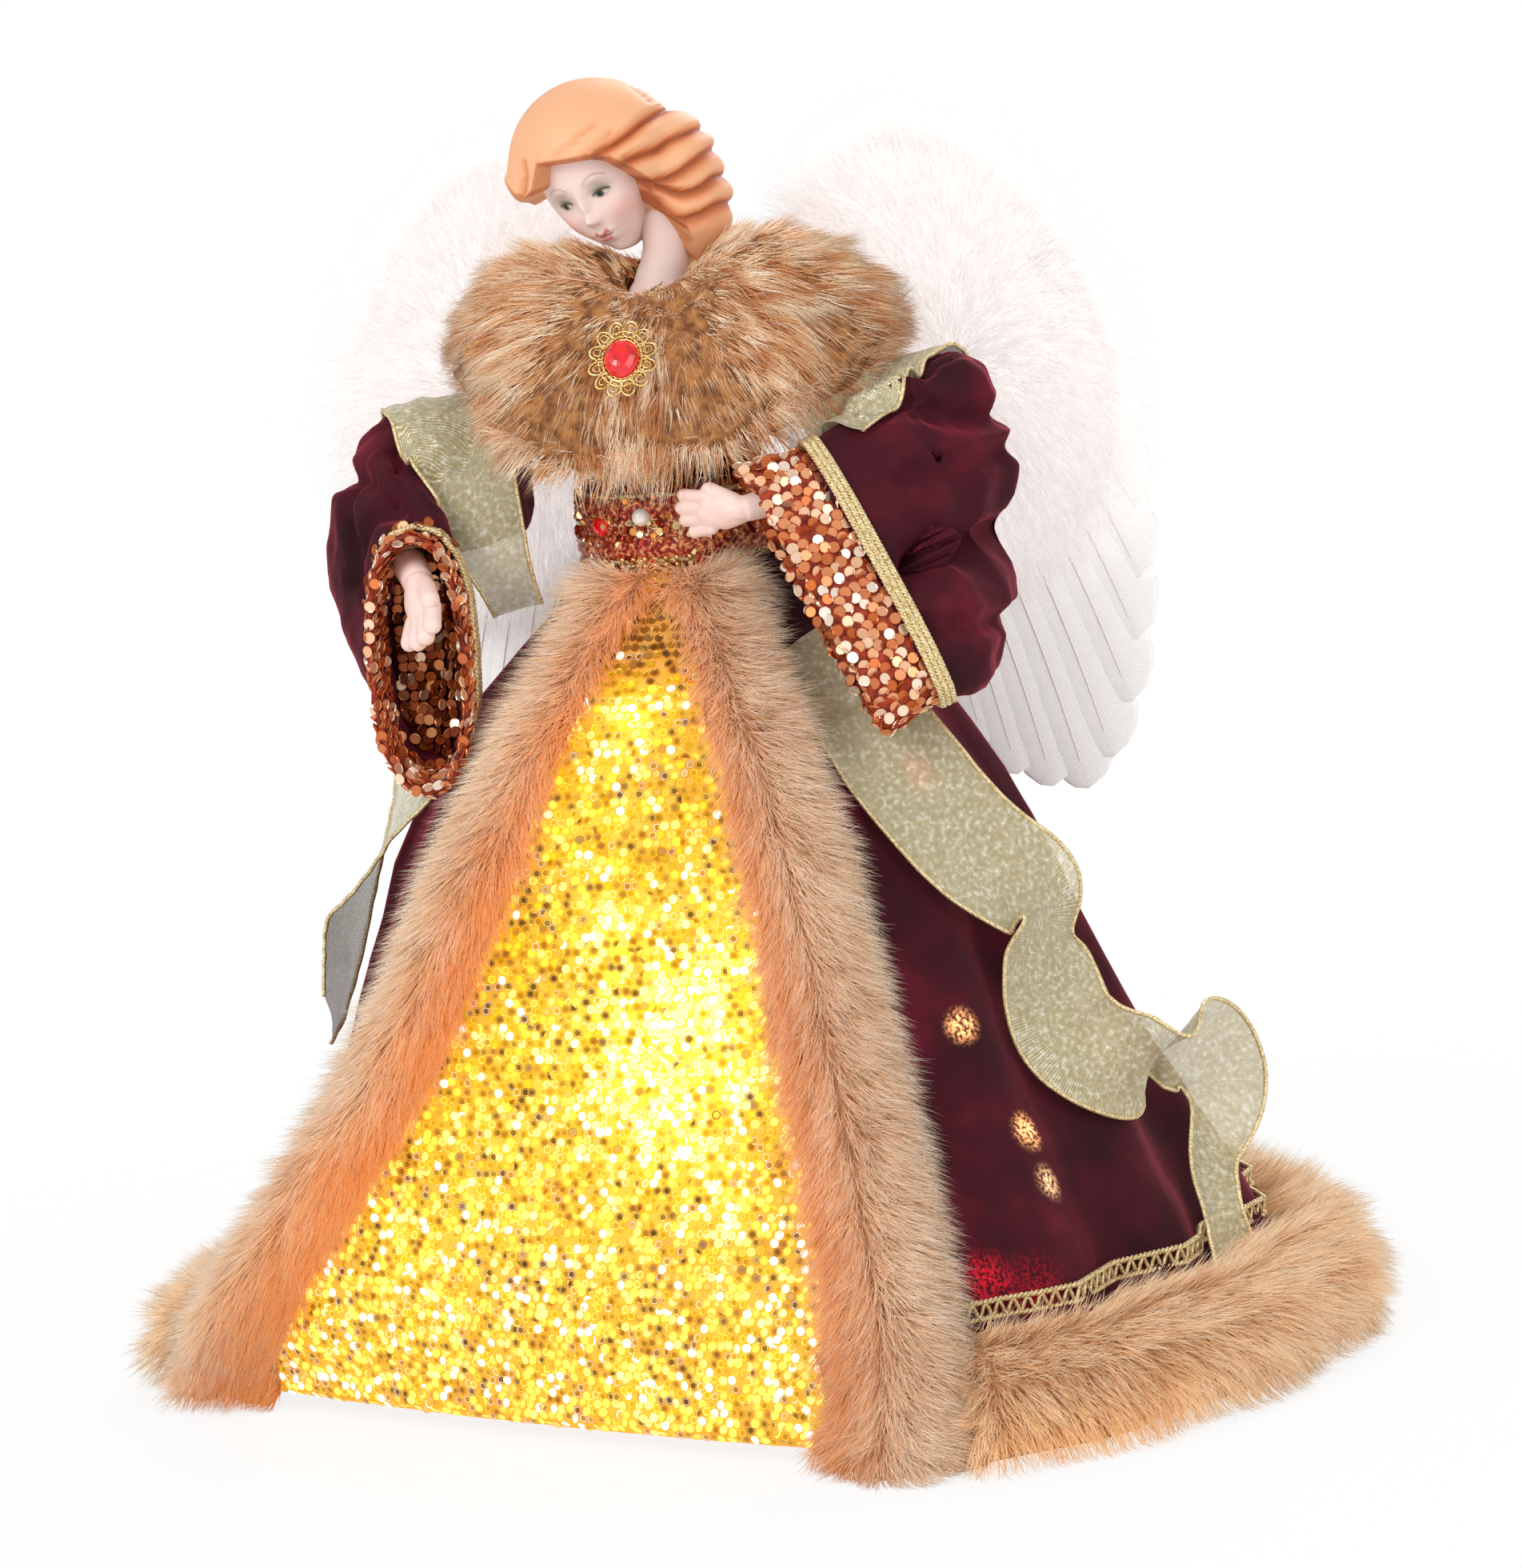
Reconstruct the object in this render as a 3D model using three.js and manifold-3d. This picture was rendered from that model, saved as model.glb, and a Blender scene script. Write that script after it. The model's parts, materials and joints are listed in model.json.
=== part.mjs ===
// Angel tree topper: a stiff cone that goes over the tip of a tree and carries a stuffed body with a
// porcelain head and hands, a fur-edged velvet robe over a lit sequin panel, and two feather wings.
// Millimetres, +Z up. The origin is under the cone's axis on the surface that the robe stands on. The
// figure faces -Y, and left and right are its own: its right side is -X.
import * as THREE from 'three';
import { mergeVertices } from 'three/addons/utils/BufferGeometryUtils.js';
import Module from 'manifold-3d';

const wasm = await Module();
wasm.setup();

// Fits
const gap = 0.3;
const sewnGap = 0.6;
const cutOverrun = 2;
const weldDistance = 1e-4;

// Robe and what is sewn to it
const waistHeight = 204.5;
const waistRadius = 24;
const hemRadius = 134;
const robeHemHeight = 3;
const velvetThickness = 1.5;
const foldDepth = 4.5;
const foldCount = 13;
const foldFadePower = 0.8;
const swellCount = 5;
const swellShare = 0.35;
const backDepthShare = 0.86;
const frontHalfAngleHem = 51;
const frontHalfAngleWaist = 25;
const frontHalfPower = 1.3;
const frontTurnHem = -25;
const frontTurnPower = 2;
const panelBulgeShare = 0.12;
const panelRoundShare = 0.6;
const panelThickness = 1.1;
const panelHemHeight = 4;
const frontFurWidthHem = 33;
const frontFurWidthWaist = 18;
const frontFurHeightHem = 15;
const frontFurHeightWaist = 8;
const hemFurHeight = 29;
const hemFurDepth = 23;
const hemEvenShare = 0.75;
const hemBraidHeight = 5;
const hemBraidDepth = 2.2;
const robeColumns = 60;
const panelColumns = 14;

// Cone over the tree tip, which stands inside the robe and carries it
const hemStandOff = 60;
const coneBaseRadius = hemRadius - hemStandOff;
const coneTopRadius = 14;
const coneBelowWaist = 4.5;
const coneHeight = waistHeight - coneBelowWaist;
const coneWall = 1.8;

// Lamps
const lampCount = 10;
const lampTurns = 1.7;
const lampLowest = 30;
const lampHighest = 150;
const holderRadius = 3.4;
const holderLength = 13;
const holderFlangeRadius = 5;
const holderFlangeThickness = 1.6;
const holderSides = 6;
const flangeStandShare = 0.2;
const bulbRadius = 2.5;
const bulbLength = 13;
const leadRadius = 1.1;
const leadSteps = 3;

// Body
const bodyLength = 57.5;
const bodyTopHeight = waistHeight + bodyLength;
const shoulderDrop = 14;
const shoulderHeight = bodyTopHeight - shoulderDrop;
const shoulderX = 33;
const shoulderBallRadius = 6.6;
const plugDepth = 10;
const plugTaper = 1.5;
const beltHeight = 19;
const beltThickness = 2.6;
const beltSwell = 0.4;
const beltStoneRadius = 3.2;
const beltStoneHeight = 1.8;
const beltStoneRise = 1;
const beltStoneTurnDeg = -38;
const beltPearlRadius = 2.4;
const beltPearlHeight = 2.1;
const beltPearlRise = 3;
const beltPearlTurnDeg = -8;
const plateHeight = 7.8;
const plateHalfWidth = 25;
const plateHalfDepth = 16;
const neckRadius = 7;
const neckLength = 28;
const neckTop = bodyTopHeight + neckLength;

// Head
const headShiftX = -7;
const headShiftY = -4;
const headRise = 41;
const headCenter = new THREE.Vector3(headShiftX, headShiftY, bodyTopHeight + headRise);
const headHalfWidth = 14.5;
const headHalfDepth = 17;
const headHalfHeight = 18.5;
const headTiltDeg = -24;
const headTurnDeg = -22;
const headNodDeg = 18;
const hairDepth = 4;
const lockDepth = 1.3;

// Cape and brooch
const capeHalfWidth = 60;
const capeFrontDepth = 43;
const capeBackDepth = 33;
const capeThickness = 7;
const capeStand = 17;
const capeTop = bodyTopHeight + capeStand;
const capeFrontDrop = 50;
const capeFrontHem = capeTop - capeFrontDrop;
const capeSideDrop = 29;
const capeSideHem = capeTop - capeSideDrop;
const capeBackDrop = 32;
const capeBackHem = capeTop - capeBackDrop;
const capeTuftDepth = 1.6;
const tuftCount = 9;
const broochHalfWidth = 8.5;
const broochHalfHeight = 10;
const broochThickness = 1.4;
const broochDrop = 22;
const broochHeight = capeTop - broochDrop;
const broochTiltDeg = 28;
const broochLoops = 12;
const loopSteps = 4;
const scallopShare = 0.1;
const loopPlaceShare = 0.78;
const loopHoleShare = 0.11;
const stoneRadius = 5;
const stoneHeight = 3.2;

// Arms, sleeves and cuffs
const armReach = 50;
const armRadius = 5.2;
const forearmRadius = 4;
const cuffLength = 16;
const cuffWall = 1.2;
const cuffFlare = 1.5;
const braidDepth = 1.9;
const braidWidth = 3.6;
const sleeveWall = 1.8;
const sleeveBellDepth = 14;
const palmLength = 12;
const palmWidth = 9;
const palmThickness = 5;
const fingerRadius = 1.45;
const fingerLength = 9;
const fingerPitchShare = 1.75;
const curlShare = 0.22;
const fingerShares = [0.85, 1, 0.95, 0.75];
const sleevePucker = 1;
const puckerCount = 4;
const puckeredRings = 4;

// Wings
const wingHingeX = 9;
const wingHingeY = 40;
const wingSweepDeg = 12;
const wingSpan = 98;
const wingRise = 44;
const wingTop = bodyTopHeight + wingRise;
const wingDrop = 132;
const wingTip = bodyTopHeight - wingDrop;
const wingCard = 1.2;
const sparRadius = 1;
const stapleRadius = 1;
const stapleDrop = 19;
const stapleTop = bodyTopHeight - stapleDrop;
const stapleSpan = 15;
const stapleBottom = stapleTop - stapleSpan;
const stapleBend = 2;
const stapleDepth = 6;
const hingeClearance = 0.35;
const downDepth = 7;
const quillThickness = 1.1;
const featherWidth = 17;
const quillCount = 9;
const quillStep = 0.35;

// Ribbon
const ribbonWidth = 36;
const ribbonThickness = 0.7;

const radians = THREE.MathUtils.degToRad;
const mix = THREE.MathUtils.lerp;
const smooth = THREE.MathUtils.smoothstep;

// A value read from a table of [place, value] pairs with straight stretches between them.
function readTable(table, at) {
  if (at <= table[0][0]) return table[0][1];
  for (let i = 1; i < table.length; i += 1) {
    const [from, low] = table[i - 1];
    const [to, high] = table[i];
    if (at <= to) return mix(low, high, (at - from) / (to - from));
  }
  return table[table.length - 1][1];
}

// Closed geometry helpers
function geometryOf(points, triangles) {
  const geometry = new THREE.BufferGeometry();
  const places = points.flatMap((p) => [p.x, p.y, p.z]);
  geometry.setAttribute('position', new THREE.Float32BufferAttribute(places, 3));
  geometry.setIndex(triangles.flat());
  return facingOut(geometry);
}

// The same closed geometry with its faces pointing out, whichever way its rings ran.
function facingOut(geometry) {
  const place = geometry.getAttribute('position');
  const index = geometry.getIndex();
  const corner = [new THREE.Vector3(), new THREE.Vector3(), new THREE.Vector3()];
  let volume = 0;
  for (let i = 0; i < index.count; i += 3) {
    corner.forEach((c, k) => c.fromBufferAttribute(place, index.getX(i + k)));
    volume += corner[0].dot(corner[1].cross(corner[2]));
  }
  if (volume < 0) {
    for (let i = 0; i < index.count; i += 3) {
      const kept = index.getX(i);
      index.setX(i, index.getX(i + 1));
      index.setX(i + 1, kept);
    }
  }
  return geometry;
}

// A solid through closed rings of points, with a fan of triangles over each end.
function loft(rings) {
  const count = rings[0].length;
  const points = rings.flat();
  const triangles = [];
  for (let j = 0; j + 1 < rings.length; j += 1) {
    for (let i = 0; i < count; i += 1) {
      const next = (i + 1) % count;
      const a = j * count + i;
      const b = j * count + next;
      triangles.push([a, b, b + count], [a, b + count, a + count]);
    }
  }
  [0, rings.length - 1].forEach((j) => {
    const middle = new THREE.Vector3();
    rings[j].forEach((p) => middle.add(p));
    points.push(middle.divideScalar(count));
    const hub = points.length - 1;
    for (let i = 0; i < count; i += 1) {
      const a = j * count + i;
      const b = j * count + ((i + 1) % count);
      triangles.push(j === 0 ? [hub, b, a] : [hub, a, b]);
    }
  });
  return geometryOf(points, triangles);
}

// A wall between two grids of points: rows along the wall, and each row may close on itself.
function wall(outer, inner, closed) {
  const rows = outer.length;
  const count = outer[0].length;
  const points = [...outer.flat(), ...inner.flat()];
  const inside = rows * count;
  const triangles = [];
  const quad = (a, b, c, d) => triangles.push([a, b, c], [a, c, d]);
  const last = closed ? count : count - 1;
  for (let j = 0; j + 1 < rows; j += 1) {
    for (let i = 0; i < last; i += 1) {
      const a = j * count + i;
      const b = j * count + ((i + 1) % count);
      quad(a, b, b + count, a + count);
      quad(inside + a, inside + a + count, inside + b + count, inside + b);
    }
  }
  for (let i = 0; i < last; i += 1) {
    const b = (i + 1) % count;
    const top = (rows - 1) * count;
    quad(i, inside + i, inside + b, b);
    quad(top + i, top + b, inside + top + b, inside + top + i);
  }
  if (!closed) {
    for (let j = 0; j + 1 < rows; j += 1) {
      const a = j * count;
      const b = a + count;
      quad(a, b, inside + b, inside + a);
      quad(a + count - 1, inside + a + count - 1, inside + b + count - 1, b + count - 1);
    }
  }
  return geometryOf(points, triangles);
}

// A grid of points: place(column share, row share) for each column and row.
function grid(columns, rows, closed, place) {
  const made = [];
  for (let j = 0; j <= rows; j += 1) {
    const row = [];
    for (let i = 0; i < (closed ? columns : columns + 1); i += 1) row.push(place(i / columns, j / rows));
    made.push(row);
  }
  return made;
}

function positionOnly(geometry) {
  const others = Object.keys(geometry.attributes).filter((name) => name !== 'position');
  others.forEach((name) => geometry.deleteAttribute(name));
  return geometry;
}

// Solid joining and cutting
function toSolid(geometry) {
  const merged = mergeVertices(positionOnly(geometry.clone()), weldDistance);
  const index = merged.getIndex().array;
  const triVerts = [];
  for (let i = 0; i < index.length; i += 3) {
    const [a, b, c] = [index[i], index[i + 1], index[i + 2]];
    if (a !== b && b !== c && c !== a) triVerts.push(a, b, c);
  }
  const vertProperties = new Float32Array(merged.getAttribute('position').array);
  const mesh = new wasm.Mesh({ numProp: 3, vertProperties, triVerts: new Uint32Array(triVerts) });
  return new wasm.Manifold(mesh);
}

function fromSolid(solid) {
  const mesh = solid.getMesh();
  const geometry = new THREE.BufferGeometry();
  geometry.setAttribute('position', new THREE.Float32BufferAttribute(mesh.vertProperties, 3));
  geometry.setIndex([...mesh.triVerts]);
  return geometry;
}

function joined(geometries) {
  return fromSolid(geometries.map(toSolid).reduce((sum, solid) => sum.add(solid)));
}

function cut(geometry, tools) {
  return fromSolid(tools.map(toSolid).reduce((left, tool) => left.subtract(tool), toSolid(geometry)));
}

// A rod with round ends from one point to another.
function rod(from, to, radius, sides = 8, rings = 2) {
  const along = to.clone().sub(from);
  const geometry = new THREE.CapsuleGeometry(radius, along.length(), rings, sides);
  const turn = new THREE.Quaternion();
  turn.setFromUnitVectors(new THREE.Vector3(0, 1, 0), along.normalize());
  geometry.applyQuaternion(turn);
  const middle = from.clone().add(to).multiplyScalar(0.5);
  return geometry.translate(middle.x, middle.y, middle.z);
}

function circlePoints(radius, sides, x = 0, y = 0) {
  const points = [];
  for (let i = 0; i < sides; i += 1) {
    const t = 2 * Math.PI * i / sides;
    points.push(new THREE.Vector2(x + radius * Math.cos(t), y + radius * Math.sin(t)));
  }
  return points;
}

// A round wire along a curve, with flat ends.
function wire(points, radius, steps, sides = 6) {
  const section = new THREE.Shape(circlePoints(radius, sides));
  const curve = new THREE.CatmullRomCurve3(points, false, 'centripetal');
  return new THREE.ExtrudeGeometry(section, { steps, extrudePath: curve, bevelEnabled: false });
}

// A round wire that runs straight between its bends.
function bentWire(points, radius, bend, sides = 6) {
  const path = new THREE.CurvePath();
  let from = points[0];
  for (let i = 1; i < points.length - 1; i += 1) {
    const before = points[i].clone().add(points[i - 1].clone().sub(points[i]).setLength(bend));
    const after = points[i].clone().add(points[i + 1].clone().sub(points[i]).setLength(bend));
    path.add(new THREE.LineCurve3(from, before));
    path.add(new THREE.QuadraticBezierCurve3(before, points[i], after));
    from = after;
  }
  path.add(new THREE.LineCurve3(from, points[points.length - 1]));
  const section = new THREE.Shape(circlePoints(radius, sides));
  const steps = Math.ceil(path.getLength() / (4 * radius));
  return new THREE.ExtrudeGeometry(section, { steps, extrudePath: path, bevelEnabled: false });
}

// A solid of revolution about Z from [radius, height] pairs, closed on the axis.
function turned(profile, sides) {
  const points = profile.map(([r, z]) => new THREE.Vector2(r, z));
  return new THREE.LatheGeometry(points, sides).rotateX(Math.PI / 2);
}

const material = (color, roughness, metalness = 0) => (
  new THREE.MeshStandardMaterial({ color, roughness, metalness })
);
const looks = {
  card: material(0xe9e2d2, 0.9),
  velvet: material(0x4a1026, 0.85),
  fur: material(0xb98a5e, 0.95),
  sequin: material(0xe0a52c, 0.3, 0.8),
  copperSequin: material(0xc98460, 0.3, 0.8),
  braid: material(0xc9a552, 0.45, 0.7),
  porcelain: material(0xf0dcd6, 0.35),
  cloth: material(0xe8ddcb, 0.9),
  belt: material(0x8c3524, 0.6, 0.3),
  stone: material(0xd0121c, 0.1),
  pearl: material(0xf2ece2, 0.25),
  feather: material(0xfaf7f3, 0.9),
  wire: material(0xb9b9b6, 0.4, 0.9),
  organza: material(0xcdbb8a, 0.4, 0.5),
  lampGreen: material(0x2f5a38, 0.5),
  bulb: material(0xffe9a8, 0.1),
};

const topper = new THREE.Group();
function add(name, geometry, look) {
  const mesh = new THREE.Mesh(geometry, look);
  mesh.name = name;
  topper.add(mesh);
  return mesh;
}

// Robe surface
const robeRadiusShares = [
  [0, 1], [0.06, 0.985], [0.175, 0.91], [0.25, 0.83], [0.42, 0.665], [0.58, 0.545],
  [0.77, 0.38], [0.88, 0.215], [0.95, 0.085], [1, 0],
];
const climb = (z) => THREE.MathUtils.clamp(z / waistHeight, 0, 1);
const robeRadius = (z) => mix(waistRadius, hemRadius, readTable(robeRadiusShares, climb(z)));
const frontTurn = (z) => radians(frontTurnHem * (1 - climb(z)) ** frontTurnPower);
const frontHalf = (z) => radians(
  mix(frontHalfAngleWaist, frontHalfAngleHem, (1 - climb(z)) ** frontHalfPower),
);
const robeSpan = (z) => 2 * (Math.PI - frontHalf(z)) * robeRadius(z);
const panelSpan = (z) => 2 * Math.sin(frontHalf(z)) * robeRadius(z);
const frontFurWidth = (z) => mix(frontFurWidthHem, frontFurWidthWaist, climb(z));
const frontFurHeight = (z) => mix(frontFurHeightHem, frontFurHeightWaist, climb(z));

// A point at an angle from the front, turning towards +X, with the back drawn in a little.
function around(angle, radius, z) {
  const depth = Math.cos(angle) < 0 ? mix(1, backDepthShare, 1 - climb(z) ** 4) : 1;
  return new THREE.Vector3(radius * Math.sin(angle), -radius * Math.cos(angle) * depth, z);
}

// Where the robe's folds stand out, from its left front edge (0) round the back to its right one (1).
function foldHeight(share, z) {
  const fromSeam = Math.min(share, 1 - share) * robeSpan(z);
  const fade = smooth(fromSeam, frontFurWidth(z) / 2, 2 * frontFurWidth(z));
  const swell = swellShare * Math.sin(2 * Math.PI * swellCount * share);
  const wave = Math.cos(2 * Math.PI * foldCount * share) + swell;
  return foldDepth * fade * (1 - climb(z)) ** foldFadePower * wave;
}

function robePoint(share, z, offset) {
  const angle = mix(frontTurn(z) + frontHalf(z), frontTurn(z) - frontHalf(z) + 2 * Math.PI, share);
  return around(angle, robeRadius(z) + foldHeight(share, z) + offset, z);
}

// The front between the robe's edges, flatter than the robe, from the right edge (0) to the left (1).
function panelPoint(share, z, offset) {
  const radius = robeRadius(z) + offset;
  const from = around(frontTurn(z) - frontHalf(z), radius, z);
  const to = around(frontTurn(z) + frontHalf(z), radius, z);
  const sagitta = radius * (1 - Math.cos(frontHalf(z)));
  const bulge = sagitta * mix(panelBulgeShare, 1, smooth(climb(z), panelRoundShare, 1));
  const out = around(frontTurn(z), 1, 0);
  return from.lerp(to, share).addScaledVector(out, bulge * 4 * share * (1 - share));
}

// A point on the front by its distance from an edge seam: positive over the robe, negative on the panel.
function seamPoint(side, distance, z, offset) {
  if (distance >= 0) {
    const share = distance / robeSpan(z);
    return robePoint(side > 0 ? share : 1 - share, z, offset);
  }
  const share = -distance / panelSpan(z);
  return panelPoint(side > 0 ? 1 - share : share, z, offset);
}

// Heights of the robe's rows between two heights. All that lies on the robe bends at these rows.
function rowsBetween(low, high) {
  const between = robeRadiusShares.map(([share]) => share * waistHeight).filter((z) => z > low && z < high);
  return [low, ...between, high];
}

function makeRobe() {
  const at = (offset) => rowsBetween(robeHemHeight, waistHeight).map((z) => (
    grid(robeColumns, 0, false, (u) => {
      const margin = gap / 2 / robeSpan(z);
      return robePoint(THREE.MathUtils.clamp(u, margin, 1 - margin), z, offset);
    })[0]
  ));
  add('robe', wall(at(0), at(-velvetThickness), false), looks.velvet);
}

function makePanel() {
  const at = (offset) => rowsBetween(panelHemHeight, waistHeight - gap).map((z) => (
    grid(panelColumns, 0, false, (u) => {
      const margin = gap / 2 / panelSpan(z);
      return panelPoint(mix(margin, 1 - margin, u), z, offset);
    })[0]
  ));
  add('sequin_panel', wall(at(0), at(-panelThickness), false), looks.sequin);
}

// Section of a fur band: [share of the width from the seam, share of the height].
const furUnderShares = [0.5, 0.25, 0, -0.25, -0.5];
const frontFurShares = [
  [-0.5, 0.05], [-0.47, 0.45], [-0.3, 0.85], [0, 1], [0.3, 0.85], [0.47, 0.45], [0.5, 0.05],
];

function frontFurRing(side, z) {
  const width = frontFurWidth(z);
  const height = frontFurHeight(z);
  const over = frontFurShares.map(([w, h]) => seamPoint(side, w * width, z, sewnGap + h * height));
  const under = furUnderShares.map((w) => seamPoint(side, w * width, z, sewnGap));
  return [...over, ...under];
}

function makeFrontFur() {
  [[1, 'left'], [-1, 'right']].forEach(([side, name]) => {
    const rings = rowsBetween(0, waistHeight - gap).map((z) => frontFurRing(side, z));
    add(`front_fur_${name}`, loft(rings), looks.fur);
  });
}

// Section of the hem fur: [share of its depth, share of its height].
const hemFurShares = [
  [0, 0], [0.72, 0], [0.97, 0.25], [1, 0.55], [0.78, 0.88], [0.35, 1], [0, 0.95],
];

// Shares of the robe's width from one front fur round the back to the other, at the robe's own columns.
function hemShares() {
  const reach = (frontFurWidth(0) / 2 + gap) / robeSpan(hemFurHeight + hemBraidHeight);
  const shares = grid(robeColumns, 0, false, (u) => u)[0].filter((u) => u > reach && u < 1 - reach);
  return [reach, ...shares, 1 - reach];
}

function makeHem() {
  const bend = robeRadiusShares[1][0] * waistHeight / hemFurHeight;
  const fur = hemShares().map((share) => [...hemFurShares, [0, bend]].map(([d, h]) => {
    const z = h * hemFurHeight;
    const evened = -d * hemEvenShare * foldHeight(share, z);
    return robePoint(share, z, sewnGap + d * hemFurDepth + evened);
  }));
  add('hem_fur', loft(fur), looks.fur);
  const low = hemFurHeight + gap;
  const braidAt = (offset) => [low, low + hemBraidHeight].map((z) => (
    hemShares().map((share) => robePoint(share, z, offset))
  ));
  add('hem_braid', wall(braidAt(sewnGap + hemBraidDepth), braidAt(sewnGap), false), looks.braid);
}

// Cone, lamps and their wire
const coneRadius = (z) => mix(coneBaseRadius, coneTopRadius, z / coneHeight);
const coneSlope = Math.atan2(coneBaseRadius - coneTopRadius, coneHeight);

function lampPlaces() {
  const places = [];
  for (let i = 0; i < lampCount; i += 1) {
    const share = i / (lampCount - 1);
    const z = mix(lampLowest, lampHighest, share);
    places.push({ z, angle: 2 * Math.PI * lampTurns * share + radians(frontTurnHem) });
  }
  return places;
}

// Places a shape made along +Z so that it points out of the cone's wall at a lamp's place.
function outOfWall(geometry, { z, angle }) {
  const frame = new THREE.Matrix4().makeRotationX(Math.PI / 2 - coneSlope);
  frame.premultiply(new THREE.Matrix4().makeRotationZ(angle));
  const seat = around(angle, 1, z);
  const reach = coneRadius(z);
  frame.setPosition(reach * Math.sin(angle), -reach * Math.cos(angle), seat.z);
  return geometry.applyMatrix4(frame);
}

function makeCone() {
  const topInner = coneTopRadius - coneWall;
  const shell = turned([
    [coneBaseRadius - coneWall, 0], [coneBaseRadius, 0], [coneTopRadius, coneHeight], [topInner, coneHeight],
    [coneBaseRadius - coneWall, 0],
  ], 32);
  const drills = lampPlaces().map((place) => {
    const radius = holderRadius + gap;
    const hole = new THREE.CylinderGeometry(radius, radius, 2 * holderLength, holderSides);
    return outOfWall(hole.rotateX(Math.PI / 2), place);
  });
  add('tree_cone', cut(shell, drills), looks.card);
}

// Profile of a bulb: [share of its radius, share of its length].
const bulbShares = [[0, 0], [0.8, 0], [1, 0.25], [0.9, 0.65], [0, 1]];

function makeLamps() {
  const seat = gap + flangeStandShare * coneWall;
  const mouth = seat + holderFlangeThickness;
  lampPlaces().forEach((place, i) => {
    const number = String(i + 1).padStart(2, '0');
    const holder = turned([
      [0, -holderLength], [holderRadius, -holderLength], [holderRadius, seat], [holderFlangeRadius, seat],
      [holderFlangeRadius, mouth], [0, mouth],
    ], holderSides);
    add(`lamp_holder_${number}`, outOfWall(holder, place), looks.lampGreen);
    const start = mouth + gap;
    const profile = bulbShares.map(([r, up]) => [r * bulbRadius, start + up * bulbLength]);
    const bulb = turned(profile, holderSides);
    add(`lamp_${number}`, outOfWall(bulb, place), looks.bulb);
  });
}

// The wire runs from holder to holder inside the cone, just behind each one.
function makeLead() {
  const behind = holderLength + leadRadius + gap;
  const points = [];
  const last = (lampCount - 1) * leadSteps;
  for (let i = 0; i <= last; i += 1) {
    const share = i / last;
    const z = mix(lampLowest, lampHighest, share);
    const angle = 2 * Math.PI * lampTurns * share + radians(frontTurnHem);
    const reach = coneRadius(z) - behind * Math.cos(coneSlope);
    const x = reach * Math.sin(angle);
    const y = -reach * Math.cos(angle);
    points.push(new THREE.Vector3(x, y, z - behind * Math.sin(coneSlope)));
  }
  add('lamp_wire', wire(points, leadRadius, last + leadSteps, 5), looks.lampGreen);
}

// Body, belt and the porcelain head
function oval(z, halfX, halfY, count, y = 0, x = 0) {
  const ring = [];
  for (let i = 0; i < count; i += 1) {
    const t = 2 * Math.PI * i / count;
    ring.push(new THREE.Vector3(x + halfX * Math.cos(t), y + halfY * Math.sin(t), z));
  }
  return ring;
}

const bodyWaist = waistRadius - velvetThickness - sewnGap;
// Height above the waist seam as a share, then the half width and half depth as shares of the waist.
const bodyShares = [
  [-0.07, 0.88, 0.88], [0, 1, 1], [0.2, 0.95, 0.92], [0.38, 0.97, 0.86], [0.6, 1.06, 0.86],
];
// Above the armpit, as shares of the half width that reaches the arm's ball and of the waist.
const shoulderShares = [[0.92, 0.82, 0.72], [1, 0.55, 0.5]];
const shoulderDepthShare = 0.84;
const backDepthOfBodyShare = 0.86;
const bodyZ = (share) => mix(waistHeight, bodyTopHeight, share);
const bodyShoulder = shoulderX - shoulderBallRadius - gap;

function makeBody() {
  const trunk = bodyShares.map(([up, w, d]) => oval(bodyZ(up), w * bodyWaist, d * bodyWaist, 20));
  trunk[0].forEach((p) => p.setZ(coneHeight + gap));
  const shoulder = oval(shoulderHeight, bodyShoulder, shoulderDepthShare * bodyWaist, 20);
  const top = shoulderShares.map(([up, w, d]) => oval(bodyZ(up), w * bodyShoulder, d * bodyWaist, 20));
  const plugRadius = coneTopRadius - coneWall - gap;
  const plug = turned([
    [0, coneHeight - plugDepth], [plugRadius - plugTaper, coneHeight - plugDepth],
    [plugRadius, coneHeight + cutOverrun], [0, coneHeight + cutOverrun],
  ], 16);
  const feet = [1, -1].map((side) => stapleWire(side, stapleRadius + gap));
  add('body', cut(joined([loft([...trunk, shoulder, ...top]), plug]), feet), looks.cloth);
}

const beltLow = waistHeight + gap;
const beltSeatShare = 0.99;
const beltInner = bodyWaist * beltSeatShare + sewnGap;
const beltFront = beltInner + beltThickness;
// Section of a stone: [share of its radius, share of its height].
const stoneShares = [[0, 0], [1, 0], [0.95, 0.45], [0.55, 1], [0, 1]];
const broochStoneShares = [[0, 0], [1, 0], [1, 0.3], [0.62, 1], [0, 1]];
const cabochon = (shares, radius, height, sides) => (
  turned(shares.map(([r, up]) => [r * radius, up * height]), sides)
);

function makeBelt() {
  const at = (offset) => [0, 0.5, 1].map((v) => {
    const swell = v === 0.5 ? beltSwell : 0;
    const radius = beltInner + (offset > 0 ? offset + swell : 0);
    return oval(beltLow + v * beltHeight, radius, radius, 26);
  });
  add('belt', wall(at(beltThickness), at(0), true), looks.belt);
  const middle = beltLow + beltHeight / 2;
  const onBelt = (geometry, angleDeg, rise) => {
    const angle = radians(angleDeg);
    const reach = beltFront + beltSwell + gap;
    const p = new THREE.Vector3(reach * Math.sin(angle), -reach * Math.cos(angle), middle + rise);
    return geometry.rotateX(Math.PI / 2).rotateZ(angle).translate(p.x, p.y, p.z);
  };
  const stone = cabochon(stoneShares, beltStoneRadius, beltStoneHeight, 10);
  const pearl = cabochon(stoneShares, beltPearlRadius, beltPearlHeight, 10);
  add('belt_stone', onBelt(stone, beltStoneTurnDeg, beltStoneRise), looks.stone);
  add('belt_pearl', onBelt(pearl, beltPearlTurnDeg, beltPearlRise), looks.pearl);
}

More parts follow.
